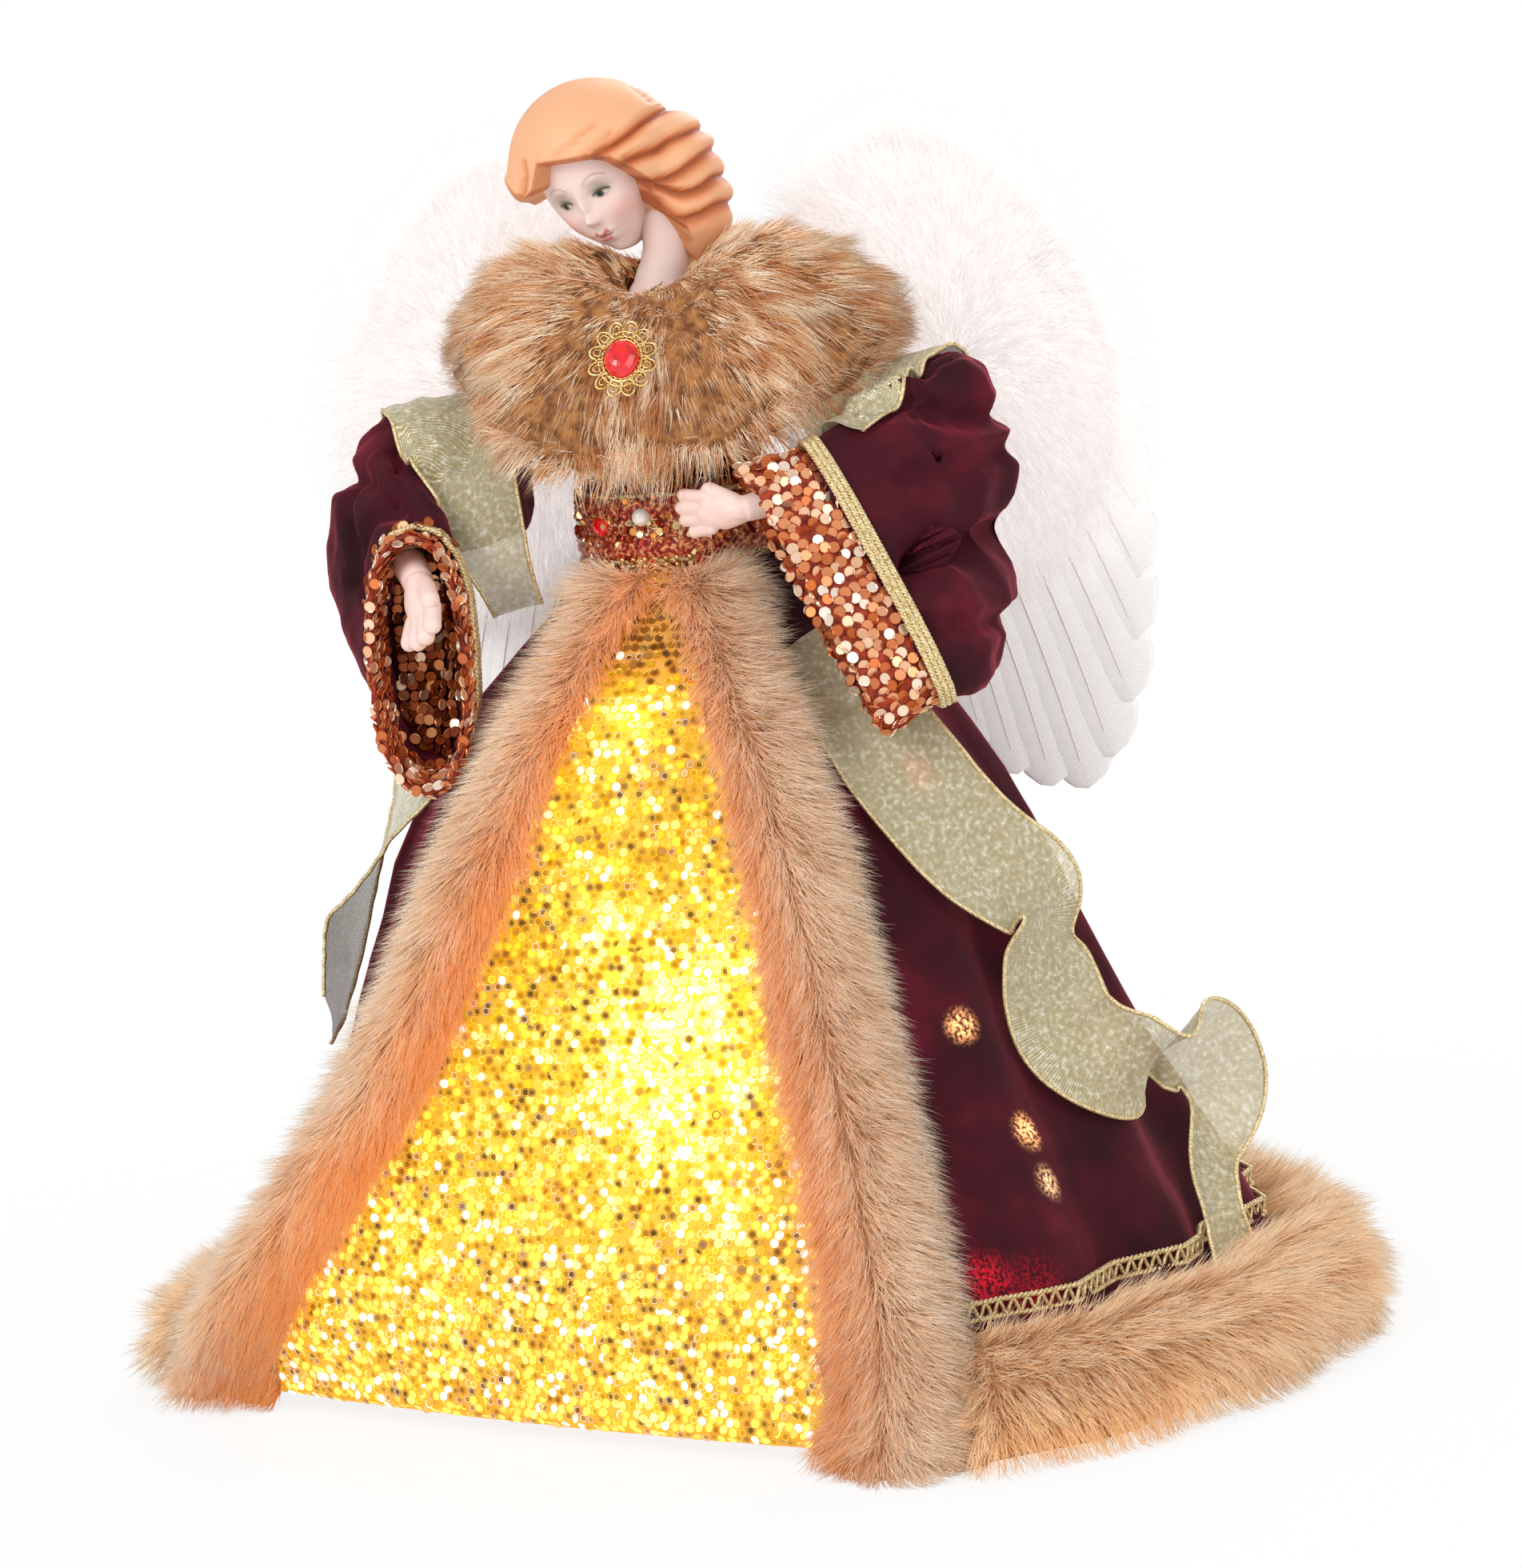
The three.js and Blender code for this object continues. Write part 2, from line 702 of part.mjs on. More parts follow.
// Pushes the points of a ball about: shape(direction) gives the point for a unit direction.
function moulded(columns, rows, shape) {
  const geometry = new THREE.SphereGeometry(1, columns, rows).rotateX(Math.PI / 2);
  const place = geometry.getAttribute('position');
  const p = new THREE.Vector3();
  for (let i = 0; i < place.count; i += 1) {
    p.fromBufferAttribute(place, i).normalize();
    const moved = shape(p);
    place.setXYZ(i, moved.x, moved.y, moved.z);
  }
  return geometry;
}

// A smooth bump that is 1 at a direction and fades over a width in radians.
function bump(direction, x, y, z, width) {
  const away = direction.angleTo(new THREE.Vector3(x, y, z).normalize());
  return Math.exp(-((away / width) ** 2));
}

const faceColumns = 24;
const hairColumns = 28;
const headRows = 18;
const jawTaperShare = 0.34;
const jawSetBackShare = 0.12;
const jawPower = 1.6;
// Face features: how far each stands out as a share of the head's half width, its direction and its width
// in radians: nose, chin, lips, cheeks and eye sockets.
const featureShares = [
  [0.26, [0, -1, -0.2], 0.16], [0.2, [0, -0.75, -0.8], 0.32], [0.07, [0, -1, -0.52], 0.17],
  [0.05, [0.5, -1, -0.35], 0.3], [0.05, [-0.5, -1, -0.35], 0.3],
  [-0.1, [0.36, -1, 0.05], 0.2], [-0.1, [-0.36, -1, 0.05], 0.2],
];

function faceShape(d) {
  const down = Math.max(0, -d.z);
  const narrow = 1 - jawTaperShare * down ** jawPower;
  const push = featureShares.reduce((sum, [share, way, width]) => sum + share * bump(d, ...way, width), 0);
  const x = d.x * headHalfWidth * narrow;
  const y = d.y * headHalfDepth * (1 - jawSetBackShare * down);
  return new THREE.Vector3(x, y - push * headHalfWidth, d.z * headHalfHeight);
}

// The hair covers the skull but for the face and the nape, and its waves sweep round from the parting.
const faceWindowShares = { way: [0.12, -1, -0.42], width: 0.72, from: 0.42, to: 0.62 };
const napeShares = { way: [0, -0.2, -1], width: 0.7, from: 0.3, to: 0.6 };
const partingShares = [0.25, -0.2];
const waveCount = 9;
const waveTwist = 5;
const hairSinkShare = 0.35;

function hairShape(d) {
  const open = ({ way, width, from, to }) => smooth(bump(d, ...way, width), from, to);
  const cover = 1 - Math.max(open(faceWindowShares), open(napeShares));
  const around = Math.atan2(d.x - partingShares[0], d.z - partingShares[1]);
  const depth = hairDepth + lockDepth * Math.sin(around * waveCount + d.y * waveTwist);
  const grow = mix(-headHalfWidth * hairSinkShare, depth, cover);
  const half = [headHalfWidth, headHalfDepth, headHalfHeight].map((size) => size + grow);
  return new THREE.Vector3(d.x * half[0], d.y * half[1], d.z * half[2]);
}

function headFrame() {
  const turn = new THREE.Matrix4().makeRotationZ(radians(headTurnDeg));
  const tilt = new THREE.Matrix4().makeRotationY(radians(headTiltDeg));
  const nod = new THREE.Matrix4().makeRotationX(radians(headNodDeg));
  return tilt.multiply(turn).multiply(nod).setPosition(headCenter);
}

// Three thick waves of hair fall from the crown past the left cheek to the neck.
const lockPathShares = [
  [[0.75, -0.55, 0.75], [1.12, -0.4, 0.1], [1.1, -0.15, -0.6], [1.25, 0.1, -1.2]],
  [[0.85, -0.1, 0.75], [1.25, 0.05, 0.05], [1.22, 0.2, -0.65], [1.4, 0.35, -1.15]],
  [[0.7, 0.45, 0.7], [1.1, 0.55, 0.0], [1.0, 0.6, -0.7], [1.0, 0.65, -1.1]],
];

// Shoulder plate: share of its height, then of its half width and half depth.
const plateShares = [[0, 1, 1], [0.3, 0.92, 0.92], [0.65, 0.62, 0.72]];

function makeHead() {
  const face = moulded(faceColumns, headRows, faceShape).applyMatrix4(headFrame());
  const hair = moulded(hairColumns, headRows, hairShape).applyMatrix4(headFrame());
  const locks = lockPathShares.map((path) => {
    const points = path.map(([x, y, z]) => (
      new THREE.Vector3(x * headHalfWidth, y * headHalfWidth, z * headHalfWidth).applyMatrix4(headFrame())
    ));
    return wire(points, hairDepth + lockDepth, 7, 8);
  });
  const low = bodyTopHeight + gap;
  const neckFoot = new THREE.Vector3(0, 0, low + neckRadius);
  const neck = rod(neckFoot, new THREE.Vector3(0, 0, neckTop), neckRadius, 12);
  const slopes = plateShares.map(([up, wide, deep]) => (
    oval(low + plateHeight * up, plateHalfWidth * wide, plateHalfDepth * deep, 20)
  ));
  const plate = loft([...slopes, oval(low + plateHeight, neckRadius, neckRadius, 20)]);
  add('porcelain_head', joined([plate, neck, face, hair, ...locks]), looks.porcelain);
}

// Cape: [share of the way out from the neck, height share above the hem] for the front, side and back.
const capeOutShares = [0, 0.27, 0.57, 0.82, 1, 0.99, 0.9];
const capeFrontShares = [0.97, 1.0, 0.88, 0.68, 0.42, 0.2, 0];
const capeSideShares = [1.05, 1.25, 1.2, 0.95, 0.55, 0.2, 0];
const capeBackShares = [1.0, 1.03, 0.9, 0.68, 0.42, 0.2, 0];
const capeColumns = 36;
const capeEdgeShares = [0.1, 0.9];
const capeThinShare = 0.4;
const capeThinFromShare = 0.6;

function capePoint(turn, row, offset) {
  const angle = 2 * Math.PI * turn;
  const side = Math.sin(angle) ** 2;
  const front = Math.cos(angle) > 0;
  const hem = mix(front ? capeFrontHem : capeBackHem, capeSideHem, side);
  const lift = mix(front ? capeFrontShares[row] : capeBackShares[row], capeSideShares[row], side);
  const depth = front ? capeFrontDepth : capeBackDepth;
  const tuft = row > 0 && offset === 0 ? capeTuftDepth * Math.cos(tuftCount * angle) : 0;
  const out = capeOutShares[row];
  const inward = Math.min(offset, 0) * smooth(out, ...capeEdgeShares) + tuft;
  const neck = neckRadius + sewnGap;
  const x = (mix(neck, capeHalfWidth, out) + inward) * Math.sin(angle);
  const y = -(mix(neck, depth, out) + inward) * Math.cos(angle);
  const thin = 1 - capeThinShare * smooth(out, capeThinFromShare, 1);
  const sink = row === capeOutShares.length - 1 ? 0 : Math.min(offset, 0) * thin;
  return new THREE.Vector3(x, y, hem + lift * (capeTop - hem) + sink);
}

function makeCape() {
  const last = capeOutShares.length - 1;
  const layer = (offset) => grid(capeColumns, last, true, (turn, row) => (
    capePoint(turn, Math.round(row * last), offset)
  ));
  add('fur_cape', wall(layer(0), layer(-capeThickness), true), looks.fur);
}

function makeBrooch() {
  const outline = new THREE.Shape();
  const steps = broochLoops * loopSteps;
  for (let i = 0; i < steps; i += 1) {
    const t = 2 * Math.PI * i / steps;
    const scallop = 1 - scallopShare * (1 - Math.abs(Math.sin(broochLoops * t / 2)));
    const x = broochHalfWidth * scallop * Math.cos(t);
    const y = broochHalfHeight * scallop * Math.sin(t);
    if (i === 0) outline.moveTo(x, y);
    else outline.lineTo(x, y);
  }
  outline.closePath();
  const holeRadius = broochHalfWidth * loopHoleShare;
  for (let i = 0; i < broochLoops; i += 1) {
    const t = 2 * Math.PI * (i + 0.5) / broochLoops;
    const x = broochHalfWidth * loopPlaceShare * Math.cos(t);
    const y = broochHalfHeight * loopPlaceShare * Math.sin(t);
    outline.holes.push(new THREE.Path(circlePoints(holeRadius, 6, x, y)));
  }
  const setting = new THREE.ExtrudeGeometry(outline, { depth: broochThickness, bevelEnabled: false });
  const stone = cabochon(broochStoneShares, stoneRadius, stoneHeight, 12);
  const frontRows = capeOutShares.map((share, row) => capePoint(0, row, 0)).slice(1).reverse();
  const seat = new THREE.Vector3(0, readTable(frontRows.map((p) => [p.z, p.y]), broochHeight), broochHeight);
  const place = new THREE.Matrix4().makeRotationX(Math.PI / 2 - radians(broochTiltDeg));
  seat.addScaledVector(new THREE.Vector3(0, 0, 1).transformDirection(place), gap);
  place.setPosition(seat);
  add('brooch_setting', setting.applyMatrix4(place), looks.braid);
  stone.translate(0, 0, broochThickness + gap);
  add('brooch_stone', stone.applyMatrix4(place), looks.stone);
}

// Arms. Places are shares of the arm's reach from the shoulder, for a left arm held to the belt and a
// right arm held out and down. A sleeve ring is its centre, the way it stands, the way it is thick, and
// its half height and half thickness.
const armShares = {
  left: {
    arm: [[0, 0, 0], [0.5, -0.1, -0.26], [0.72, -0.5, -0.43]],
    wrist: [-0.12, -0.82, -0.58],
    fingers: [-1, 0.2, -0.06],
    thumb: [0, -0.15, 1],
    rings: [
      [[0.24, -0.02, -0.2], [0, 0, 1], [0, 1, 0], 0.17, 0.2],
      [[0.48, -0.04, -0.3], [0.15, 0, 1], [-0.1, 1, 0], 0.3, 0.3],
      [[0.7, -0.1, -0.44], [0.2, 0, 1], [0.35, 0.94, 0], 0.48, 0.3],
      [[0.84, -0.28, -0.72], [0.05, 0, 1], [0.9, 0.45, 0], 0.7, 0.24],
      [[0.7, -0.56, -0.86], [-0.3, 0.12, 0.93], [0.7, -0.68, 0.2], 0.75, 0.2],
      [[0.46, -0.78, -0.94], [-0.46, 0.22, 0.86], [0.27, -0.89, 0.37], 0.71, 0.17],
    ],
    mouth: [[0.18, -0.92, -1.04], [-0.46, 0.22, 0.86], [0.27, -0.89, 0.37], 0.74, 0.18],
    band: { rows: [0, 0.8, 1, 1.6], columns: [5, 10] },
  },
  right: {
    arm: [[0, 0, 0], [-0.42, -0.08, -0.24], [-0.73, -0.4, -0.6]],
    wrist: [-0.42, -1.06, -0.8],
    fingers: [0.25, -0.6, -0.76],
    thumb: [0.8, -0.4, 0.5],
    rings: [
      [[-0.16, -0.05, -0.36], [0, 0, 1], [0, -1, 0], 0.32, 0.24],
      [[-0.44, -0.08, -0.38], [0, 0, 1], [-0.1, -1, 0], 0.36, 0.31],
      [[-0.76, -0.18, -0.44], [0, 0, 1], [0.5, -0.85, 0], 0.38, 0.3],
      [[-0.83, -0.44, -0.66], [0.1, 0.1, 1], [0.95, -0.3, 0], 0.46, 0.26],
      [[-0.62, -0.68, -0.92], [0.12, 0.08, 1], [1, 0, 0], 0.55, 0.24],
      [[-0.47, -0.88, -1.18], [0, 0.05, 1], [1, 0.1, 0], 0.58, 0.23],
    ],
    mouth: [[-0.43, -1.17, -1.2], [0, 0.05, 1], [1, 0.1, 0], 0.62, 0.22],
    band: { rows: [0, 1, 1.5, 2, 3, 4], columns: [-3, 3] },
  },
};
const ringColumns = 16;
const squareness = 2.4;

function reachPoint(side, [x, y, z]) {
  const place = new THREE.Vector3(x, y, z).multiplyScalar(armReach);
  return place.add(new THREE.Vector3(side * shoulderX, 0, shoulderHeight));
}

// Points of a sleeve ring, swollen by an offset, and puckered where the cloth is gathered.
function sleeveRing(side, [center, up, thick, halfUp, halfThick], offset, pucker = 0) {
  const middle = reachPoint(side, center);
  const tall = new THREE.Vector3(...up).normalize();
  const wide = new THREE.Vector3(...thick);
  wide.addScaledVector(tall, -wide.dot(tall)).normalize();
  const ring = [];
  for (let i = 0; i < ringColumns; i += 1) {
    const t = 2 * Math.PI * i / ringColumns;
    const [c, s] = [Math.cos(t), Math.sin(t)];
    const swell = offset + pucker * Math.cos(puckerCount * t);
    const across = Math.sign(c) * Math.abs(c) ** (2 / squareness) * (halfThick * armReach + swell);
    const along = Math.sign(s) * Math.abs(s) ** (2 / squareness) * (halfUp * armReach + swell);
    ring.push(middle.clone().addScaledVector(wide, across).addScaledVector(tall, along));
  }
  return ring;
}

// The same rings with one more between each two, on a smooth curve through them.
function softened(rings) {
  const at = (i) => rings[THREE.MathUtils.clamp(i, 0, rings.length - 1)];
  return rings.flatMap((ring, i) => {
    if (i === rings.length - 1) return [ring];
    const middle = ring.map((p, k) => {
      const near = p.clone().add(rings[i + 1][k]).multiplyScalar(9 / 16);
      return near.sub(at(i - 1)[k].clone().add(at(i + 2)[k]).multiplyScalar(1 / 16));
    });
    return [ring, middle];
  });
}

const between = (ringA, ringB, share) => ringA.map((p, i) => p.clone().lerp(ringB[i], share));
const ringMiddle = (ring) => {
  const sum = ring.reduce((total, p) => total.add(p), new THREE.Vector3());
  return sum.divideScalar(ring.length);
};
const ringStep = (ringA, ringB) => ringMiddle(ringA).distanceTo(ringMiddle(ringB));

// A tapering round limb along a straight line.
function limb(from, to, radii, sides = 10) {
  const along = to.clone().sub(from);
  const length = along.length();
  const profile = radii.map((r, i) => [r, length * i / (radii.length - 1)]);
  const shape = turned([[0, 0], ...profile, [0, length]], sides);
  const turn = new THREE.Quaternion();
  turn.setFromUnitVectors(new THREE.Vector3(0, 0, 1), along.normalize());
  shape.applyQuaternion(turn);
  return shape.translate(from.x, from.y, from.z);
}

// Places on a hand as shares of the palm's length and width, and of the finger's and the forearm's radius.
const handShares = {
  palmHalf: 0.62,
  knuckles: 0.8,
  spread: 1.25,
  thumbRoot: [0.2, 0.25],
  thumbTip: [0.85, 0.62],
  thumbThick: 1.15,
  forearm: [1, 0.95, 0.75],
  heel: 0.4,
  wristThick: 0.68,
};

function makeHand(shares, side, name) {
  const elbow = reachPoint(side, shares.arm[2]);
  const wrist = reachPoint(side, shares.wrist);
  const along = new THREE.Vector3(...shares.fingers).normalize();
  const thumbWay = new THREE.Vector3(...shares.thumb);
  thumbWay.addScaledVector(along, -thumbWay.dot(along)).normalize();
  const back = new THREE.Vector3().crossVectors(thumbWay, along);
  const frame = new THREE.Matrix4().makeBasis(along, back, thumbWay).setPosition(wrist);
  const at = (x, y, z) => new THREE.Vector3(x, y, z).applyMatrix4(frame);
  const ball = new THREE.SphereGeometry(1, 8, 6);
  const palm = ball.scale(palmLength * handShares.palmHalf, palmThickness / 2, palmWidth / 2);
  const pieces = [palm.translate(palmLength / 2, 0, 0).applyMatrix4(frame)];
  const knuckles = palmLength * handShares.knuckles;
  fingerShares.forEach((share, i) => {
    const across = (i - (fingerShares.length - 1) / 2) * fingerPitchShare * fingerRadius;
    const start = at(knuckles, 0, -across);
    const reach = fingerLength * share;
    const end = at(knuckles + reach, -fingerLength * curlShare, -across * handShares.spread);
    pieces.push(rod(start, end, fingerRadius, 6, 1));
  });
  const [rootOut, rootUp] = handShares.thumbRoot;
  const [tipOut, tipUp] = handShares.thumbTip;
  const thumbRoot = at(palmLength * rootOut, 0, palmWidth * rootUp);
  const thumbEnd = at(palmLength * tipOut, -fingerLength * curlShare, palmWidth * tipUp);
  pieces.push(rod(thumbRoot, thumbEnd, fingerRadius * handShares.thumbThick, 6, 1));
  const start = elbow.clone().lerp(wrist, gap / elbow.distanceTo(wrist));
  pieces.push(limb(start, wrist, handShares.forearm.map((share) => share * forearmRadius)));
  const heel = at(palmLength * handShares.heel, 0, 0);
  pieces.push(rod(wrist, heel, forearmRadius * handShares.wristThick, 8, 1));
  add(`hand_${name}`, joined(pieces), looks.porcelain);
}

function makeArm(side, name) {
  const shares = armShares[name];
  const path = shares.arm.map((place) => reachPoint(side, place));
  const armAt = (offset) => {
    const ball = new THREE.SphereGeometry(shoulderBallRadius + offset, 12, 8);
    return [ball.translate(path[0].x, path[0].y, path[0].z), wire(path, armRadius + offset, 8, 8)];
  };
  const wrist = reachPoint(side, shares.wrist);
  const insideElbow = path[2].clone().lerp(wrist, -forearmRadius / path[2].distanceTo(wrist));
  const forearm = limb(insideElbow, wrist, [forearmRadius + gap, forearmRadius + gap]);
  const forearmRoom = limb(path[2], wrist, [2 * forearmRadius, 2 * forearmRadius]);
  add(`arm_${name}`, cut(joined(armAt(0)), [forearmRoom]), looks.cloth);
  makeHand(shares, side, name);

  const puckerAt = (i) => (i > 0 && i < puckeredRings ? sleevePucker : 0);
  const ringsAt = (offset) => softened(shares.rings.map((ring, i) => (
    sleeveRing(side, ring, offset, puckerAt(i))
  )));
  const rings = ringsAt(0);
  const last = rings.length - 1;
  const inner = softened(shares.rings.map((ring) => sleeveRing(side, ring, -sleeveWall)));
  const lastStep = ringStep(rings[last], rings[last - 1]);
  const start = between(inner[last], inner[last - 1], sleeveBellDepth / lastStep);
  const past = between(inner[last], inner[last - 1], -cutOverrun / lastStep);
  const bell = loft([start, inner[last], past]);
  add(`sleeve_${name}`, cut(loft(rings), [...armAt(gap), forearm, bell]), looks.velvet);

  const mouth = sleeveRing(side, shares.mouth, cuffFlare);
  const cuffEdge = gap / ringStep(rings[last], mouth);
  const mouthInner = sleeveRing(side, shares.mouth, cuffFlare - cuffWall);
  const wristInner = sleeveRing(side, shares.rings[shares.rings.length - 1], -cuffWall);
  const outerRings = [cuffEdge, 0.5, 1].map((share) => between(rings[last], mouth, share));
  const innerRings = [cuffEdge, 0.5, 1].map((share) => between(wristInner, mouthInner, share));
  add(`cuff_${name}`, wall(outerRings, innerRings, true), looks.copperSequin);

  const braidAt = (offset) => {
    const swollen = ringsAt(offset);
    return [swollen[last], between(swollen[last], swollen[last - 1], braidWidth / lastStep)];
  };
  add(`cuff_braid_${name}`, wall(braidAt(sewnGap + braidDepth), braidAt(sewnGap), true), looks.braid);

  const { rows, columns } = shares.band;
  const bandAt = (offset) => rows.map((row) => {
    const swollen = ringsAt(offset);
    const low = Math.min(Math.floor(row), last - 1);
    const ring = between(swollen[low], swollen[low + 1], row - low);
    const strip = [];
    for (let i = columns[0]; i <= columns[1]; i += 1) strip.push(ring[(i + ringColumns) % ringColumns]);
    return strip;
  });
  add(`ribbon_band_${name}`, wall(bandAt(sewnGap + ribbonThickness), bandAt(sewnGap), false), looks.organza);
}

// Ribbon falls: [degrees round from the front, height share of the robe, stand off share, width share,
// lean of the width in degrees from level].
const ribbonFallShares = {
  left: [
    [52, 0.9, 0, 0.45, 35], [55, 0.83, 0.02, 0.75, 40], [60, 0.73, 0.05, 0.88, 42],
    [67, 0.64, 0.1, 0.88, 42], [75, 0.56, 0.25, 0.85, 42], [76, 0.49, 0.15, 0.8, 42],
    [75, 0.43, 0.03, 0.75, 42], [76, 0.37, 0.08, 0.7, 38], [82, 0.33, 0.25, 0.65, 35],
    [85, 0.28, 0.2, 0.45, 25], [81, 0.23, 0.08, 0.38, 15], [79, 0.19, 0.02, 0.5, 10],
  ],
  right: [
    [-72, 0.84, 0, 0.6, -35], [-79, 0.72, 0.1, 0.85, -35], [-85, 0.6, 0.3, 0.95, -30],
    [-88, 0.5, 0.35, 0.95, -20], [-86, 0.42, 0.15, 0.9, -15], [-83, 0.34, 0, 0.8, -20],
  ],
};
const ribbonSteps = 2;

// Where an angle from the front falls on the robe, as a share of the way round from its left front edge.
function robeShare(angle, z) {
  const from = THREE.MathUtils.euclideanModulo(angle - frontTurn(z) - frontHalf(z), 2 * Math.PI);
  return from / (2 * (Math.PI - frontHalf(z)));
}

// A fall of ribbon. Each cross line is straight, and stands off the highest fold that lies under it.
function makeRibbonFall(name) {
  const places = ribbonFallShares[name];
  const line = new THREE.CatmullRomCurve3(places.map(([turn, up, off]) => new THREE.Vector3(turn, up, off)));
  const last = places.length - 1;
  const read = (column, u) => readTable(places.map((place, i) => [i / last, place[column]]), u);
  const rows = grid(last * ribbonSteps, 0, false, (u) => {
    const c = line.getPoint(u);
    const half = read(3, u) * ribbonWidth / 2;
    const lean = radians(read(4, u));
    const z = c.y * waistHeight;
    const radius = robeRadius(z);
    const cross = [-1, -0.5, 0, 0.5, 1].map((k) => ({
      turn: radians(c.x) + k * half * Math.cos(lean) / radius,
      z: z + k * half * Math.sin(lean),
    }));
    const fold = Math.max(...cross.map((p) => foldHeight(robeShare(p.turn, p.z), p.z)));
    return { cross, stand: fold + sewnGap + c.z * ribbonWidth };
  })[0];
  const at = (offset) => rows.map(({ cross, stand }) => (
    cross.map((p) => around(p.turn, robeRadius(p.z) + stand + offset, p.z))
  ));
  add(`ribbon_fall_${name}`, wall(at(ribbonThickness), at(0), false), looks.organza);
}

// Wings, made flat for the left side: x runs out along the wing, y through it towards the back.
const wingPlace = (u, v) => new THREE.Vector2(u * wingSpan, mix(wingTip, wingTop, v));
const wingFrame = (geometry, side) => {
  geometry.rotateZ(radians(wingSweepDeg)).translate(wingHingeX, wingHingeY, 0);
  return side > 0 ? geometry : facingOut(geometry.scale(-1, 1, 1));
};

function stapleWire(side, radius) {
  const deep = bodyWaist * backDepthOfBodyShare - stapleDepth;
  const places = [
    [deep, stapleBottom], [wingHingeY, stapleBottom], [wingHingeY, stapleTop], [deep, stapleTop],
  ];
  return bentWire(places.map(([y, z]) => new THREE.Vector3(side * wingHingeX, y, z)), radius, stapleBend);
}

const cardShares = [
  [0.1, 0.5], [0.3, 0.44], [0.56, 0.42], [0.74, 0.5], [0.82, 0.66], [0.74, 0.82], [0.5, 0.93], [0.24, 0.88],
  [0.1, 0.74],
];
// Each wire starts at its loop on the staple, whose height is a share of the staple's own.
const loopShares = [0.72, 0.27];
const loopOutShare = 0.025;
const loopPlace = (share) => {
  const z = mix(stapleBottom, stapleTop, share);
  return [loopOutShare, (z - wingTip) / (wingTop - wingTip)];
};
const sparShares = [
  loopPlace(loopShares[0]), [0.12, 0.68], [0.24, 0.83], [0.48, 0.88], [0.7, 0.78], [0.78, 0.64],
];
const strutShares = [loopPlace(loopShares[1]), [0.16, 0.55], [0.45, 0.52], [0.7, 0.56], [0.78, 0.64]];
const quillRootShares = [
  [0.2, 0.6], [0.26, 0.56], [0.33, 0.54], [0.4, 0.54], [0.46, 0.56], [0.5, 0.6], [0.54, 0.66], [0.56, 0.74],
];
const quillTipShares = [
  [0.38, 0.19], [0.5, 0.08], [0.64, 0.015], [0.79, 0], [0.9, 0.09], [0.96, 0.23], [0.99, 0.39], [0.96, 0.56],
];
// Outline of one flight feather: [share of its length, share of its half width].
const featherShares = [[0, 0.12], [0.3, 0.75], [0.6, 1], [0.82, 0.85], [0.95, 0.4], [1, 0]];

function flightFeather(root, tip, lift) {
  const along = tip.clone().sub(root);
  const length = along.length();
  const right = featherShares.map(([l, w]) => [l * length, w * featherWidth / 2]);
  const left = right.slice(0, -1).reverse().map(([l, w]) => [l, -w]);
  const outline = new THREE.Shape([...right, ...left].map(([x, y]) => new THREE.Vector2(x, y)));
  const blade = new THREE.ExtrudeGeometry(outline, { depth: quillThickness, bevelEnabled: false });
  blade.rotateZ(along.angle()).translate(root.x, root.y, 0);
  blade.rotateX(Math.PI / 2).translate(0, lift + quillThickness, 0);
  return facingOut(mergeVertices(positionOnly(blade)));
}

function makeWing(side, name) {
  const loopRadius = stapleRadius + hingeClearance + sparRadius;
  const outAt = ([u, v]) => {
    const p = wingPlace(u, v);
    return new THREE.Vector3(p.x, 0, p.y);
  };
  const arms = [sparShares, strutShares].map((shares) => wire(shares.map(outAt), sparRadius, 8, 5));
  const loops = [sparShares, strutShares].map((shares) => (
    new THREE.TorusGeometry(loopRadius, sparRadius, 5, 9).translate(0, 0, wingPlace(...shares[0]).y)
  ));
  add(`wing_spar_${name}`, wingFrame(joined([...loops, ...arms]), side), looks.wire);

  const outline = new THREE.Shape(cardShares.map(([u, v]) => wingPlace(u, v)));
  const card = new THREE.ExtrudeGeometry(outline, { depth: wingCard, bevelEnabled: false });
  const cardBack = sparRadius + gap + wingCard;
  card.rotateX(Math.PI / 2).translate(0, cardBack, 0);
  add(`wing_card_${name}`, wingFrame(facingOut(mergeVertices(positionOnly(card))), side), looks.card);

  const feathers = [];
  for (let i = 0; i < quillCount; i += 1) {
    const at = i / (quillCount - 1) * (quillRootShares.length - 1);
    const pick = (table) => {
      const low = Math.min(Math.floor(at), table.length - 2);
      return wingPlace(...table[low]).lerp(wingPlace(...table[low + 1]), at - low);
    };
    feathers.push(flightFeather(pick(quillRootShares), pick(quillTipShares), cardBack + gap + i * quillStep));
  }
  add(`wing_flights_${name}`, wingFrame(joined(feathers), side), looks.feather);
  add(`wing_down_${name}`, wingFrame(downPillow(), side), looks.feather);
}

// The fluffy front of a wing: a tufted pillow with a flat back against the spar.
const downEdgeShares = [
  [0.14, 0.56], [0.36, 0.4], [0.62, 0.34], [0.86, 0.4], [0.97, 0.56], [0.9, 0.76], [0.7, 0.92], [0.46, 1],
  [0.22, 0.93], [0.1, 0.76],
];

// Rings of the pillow from its back: share of the way out from the middle, share of its depth, and how far
// the tufts stand out.
const downRingShares = [[0.94, 0, 0], [1, 0.3, 0], [0.86, 0.75, 0.1], [0.6, 0.92, 0.12], [0.3, 1, 0.1]];
const downMiddleShare = [0.52, 0.68];
const downColumns = 30;
const downTufts = 7;

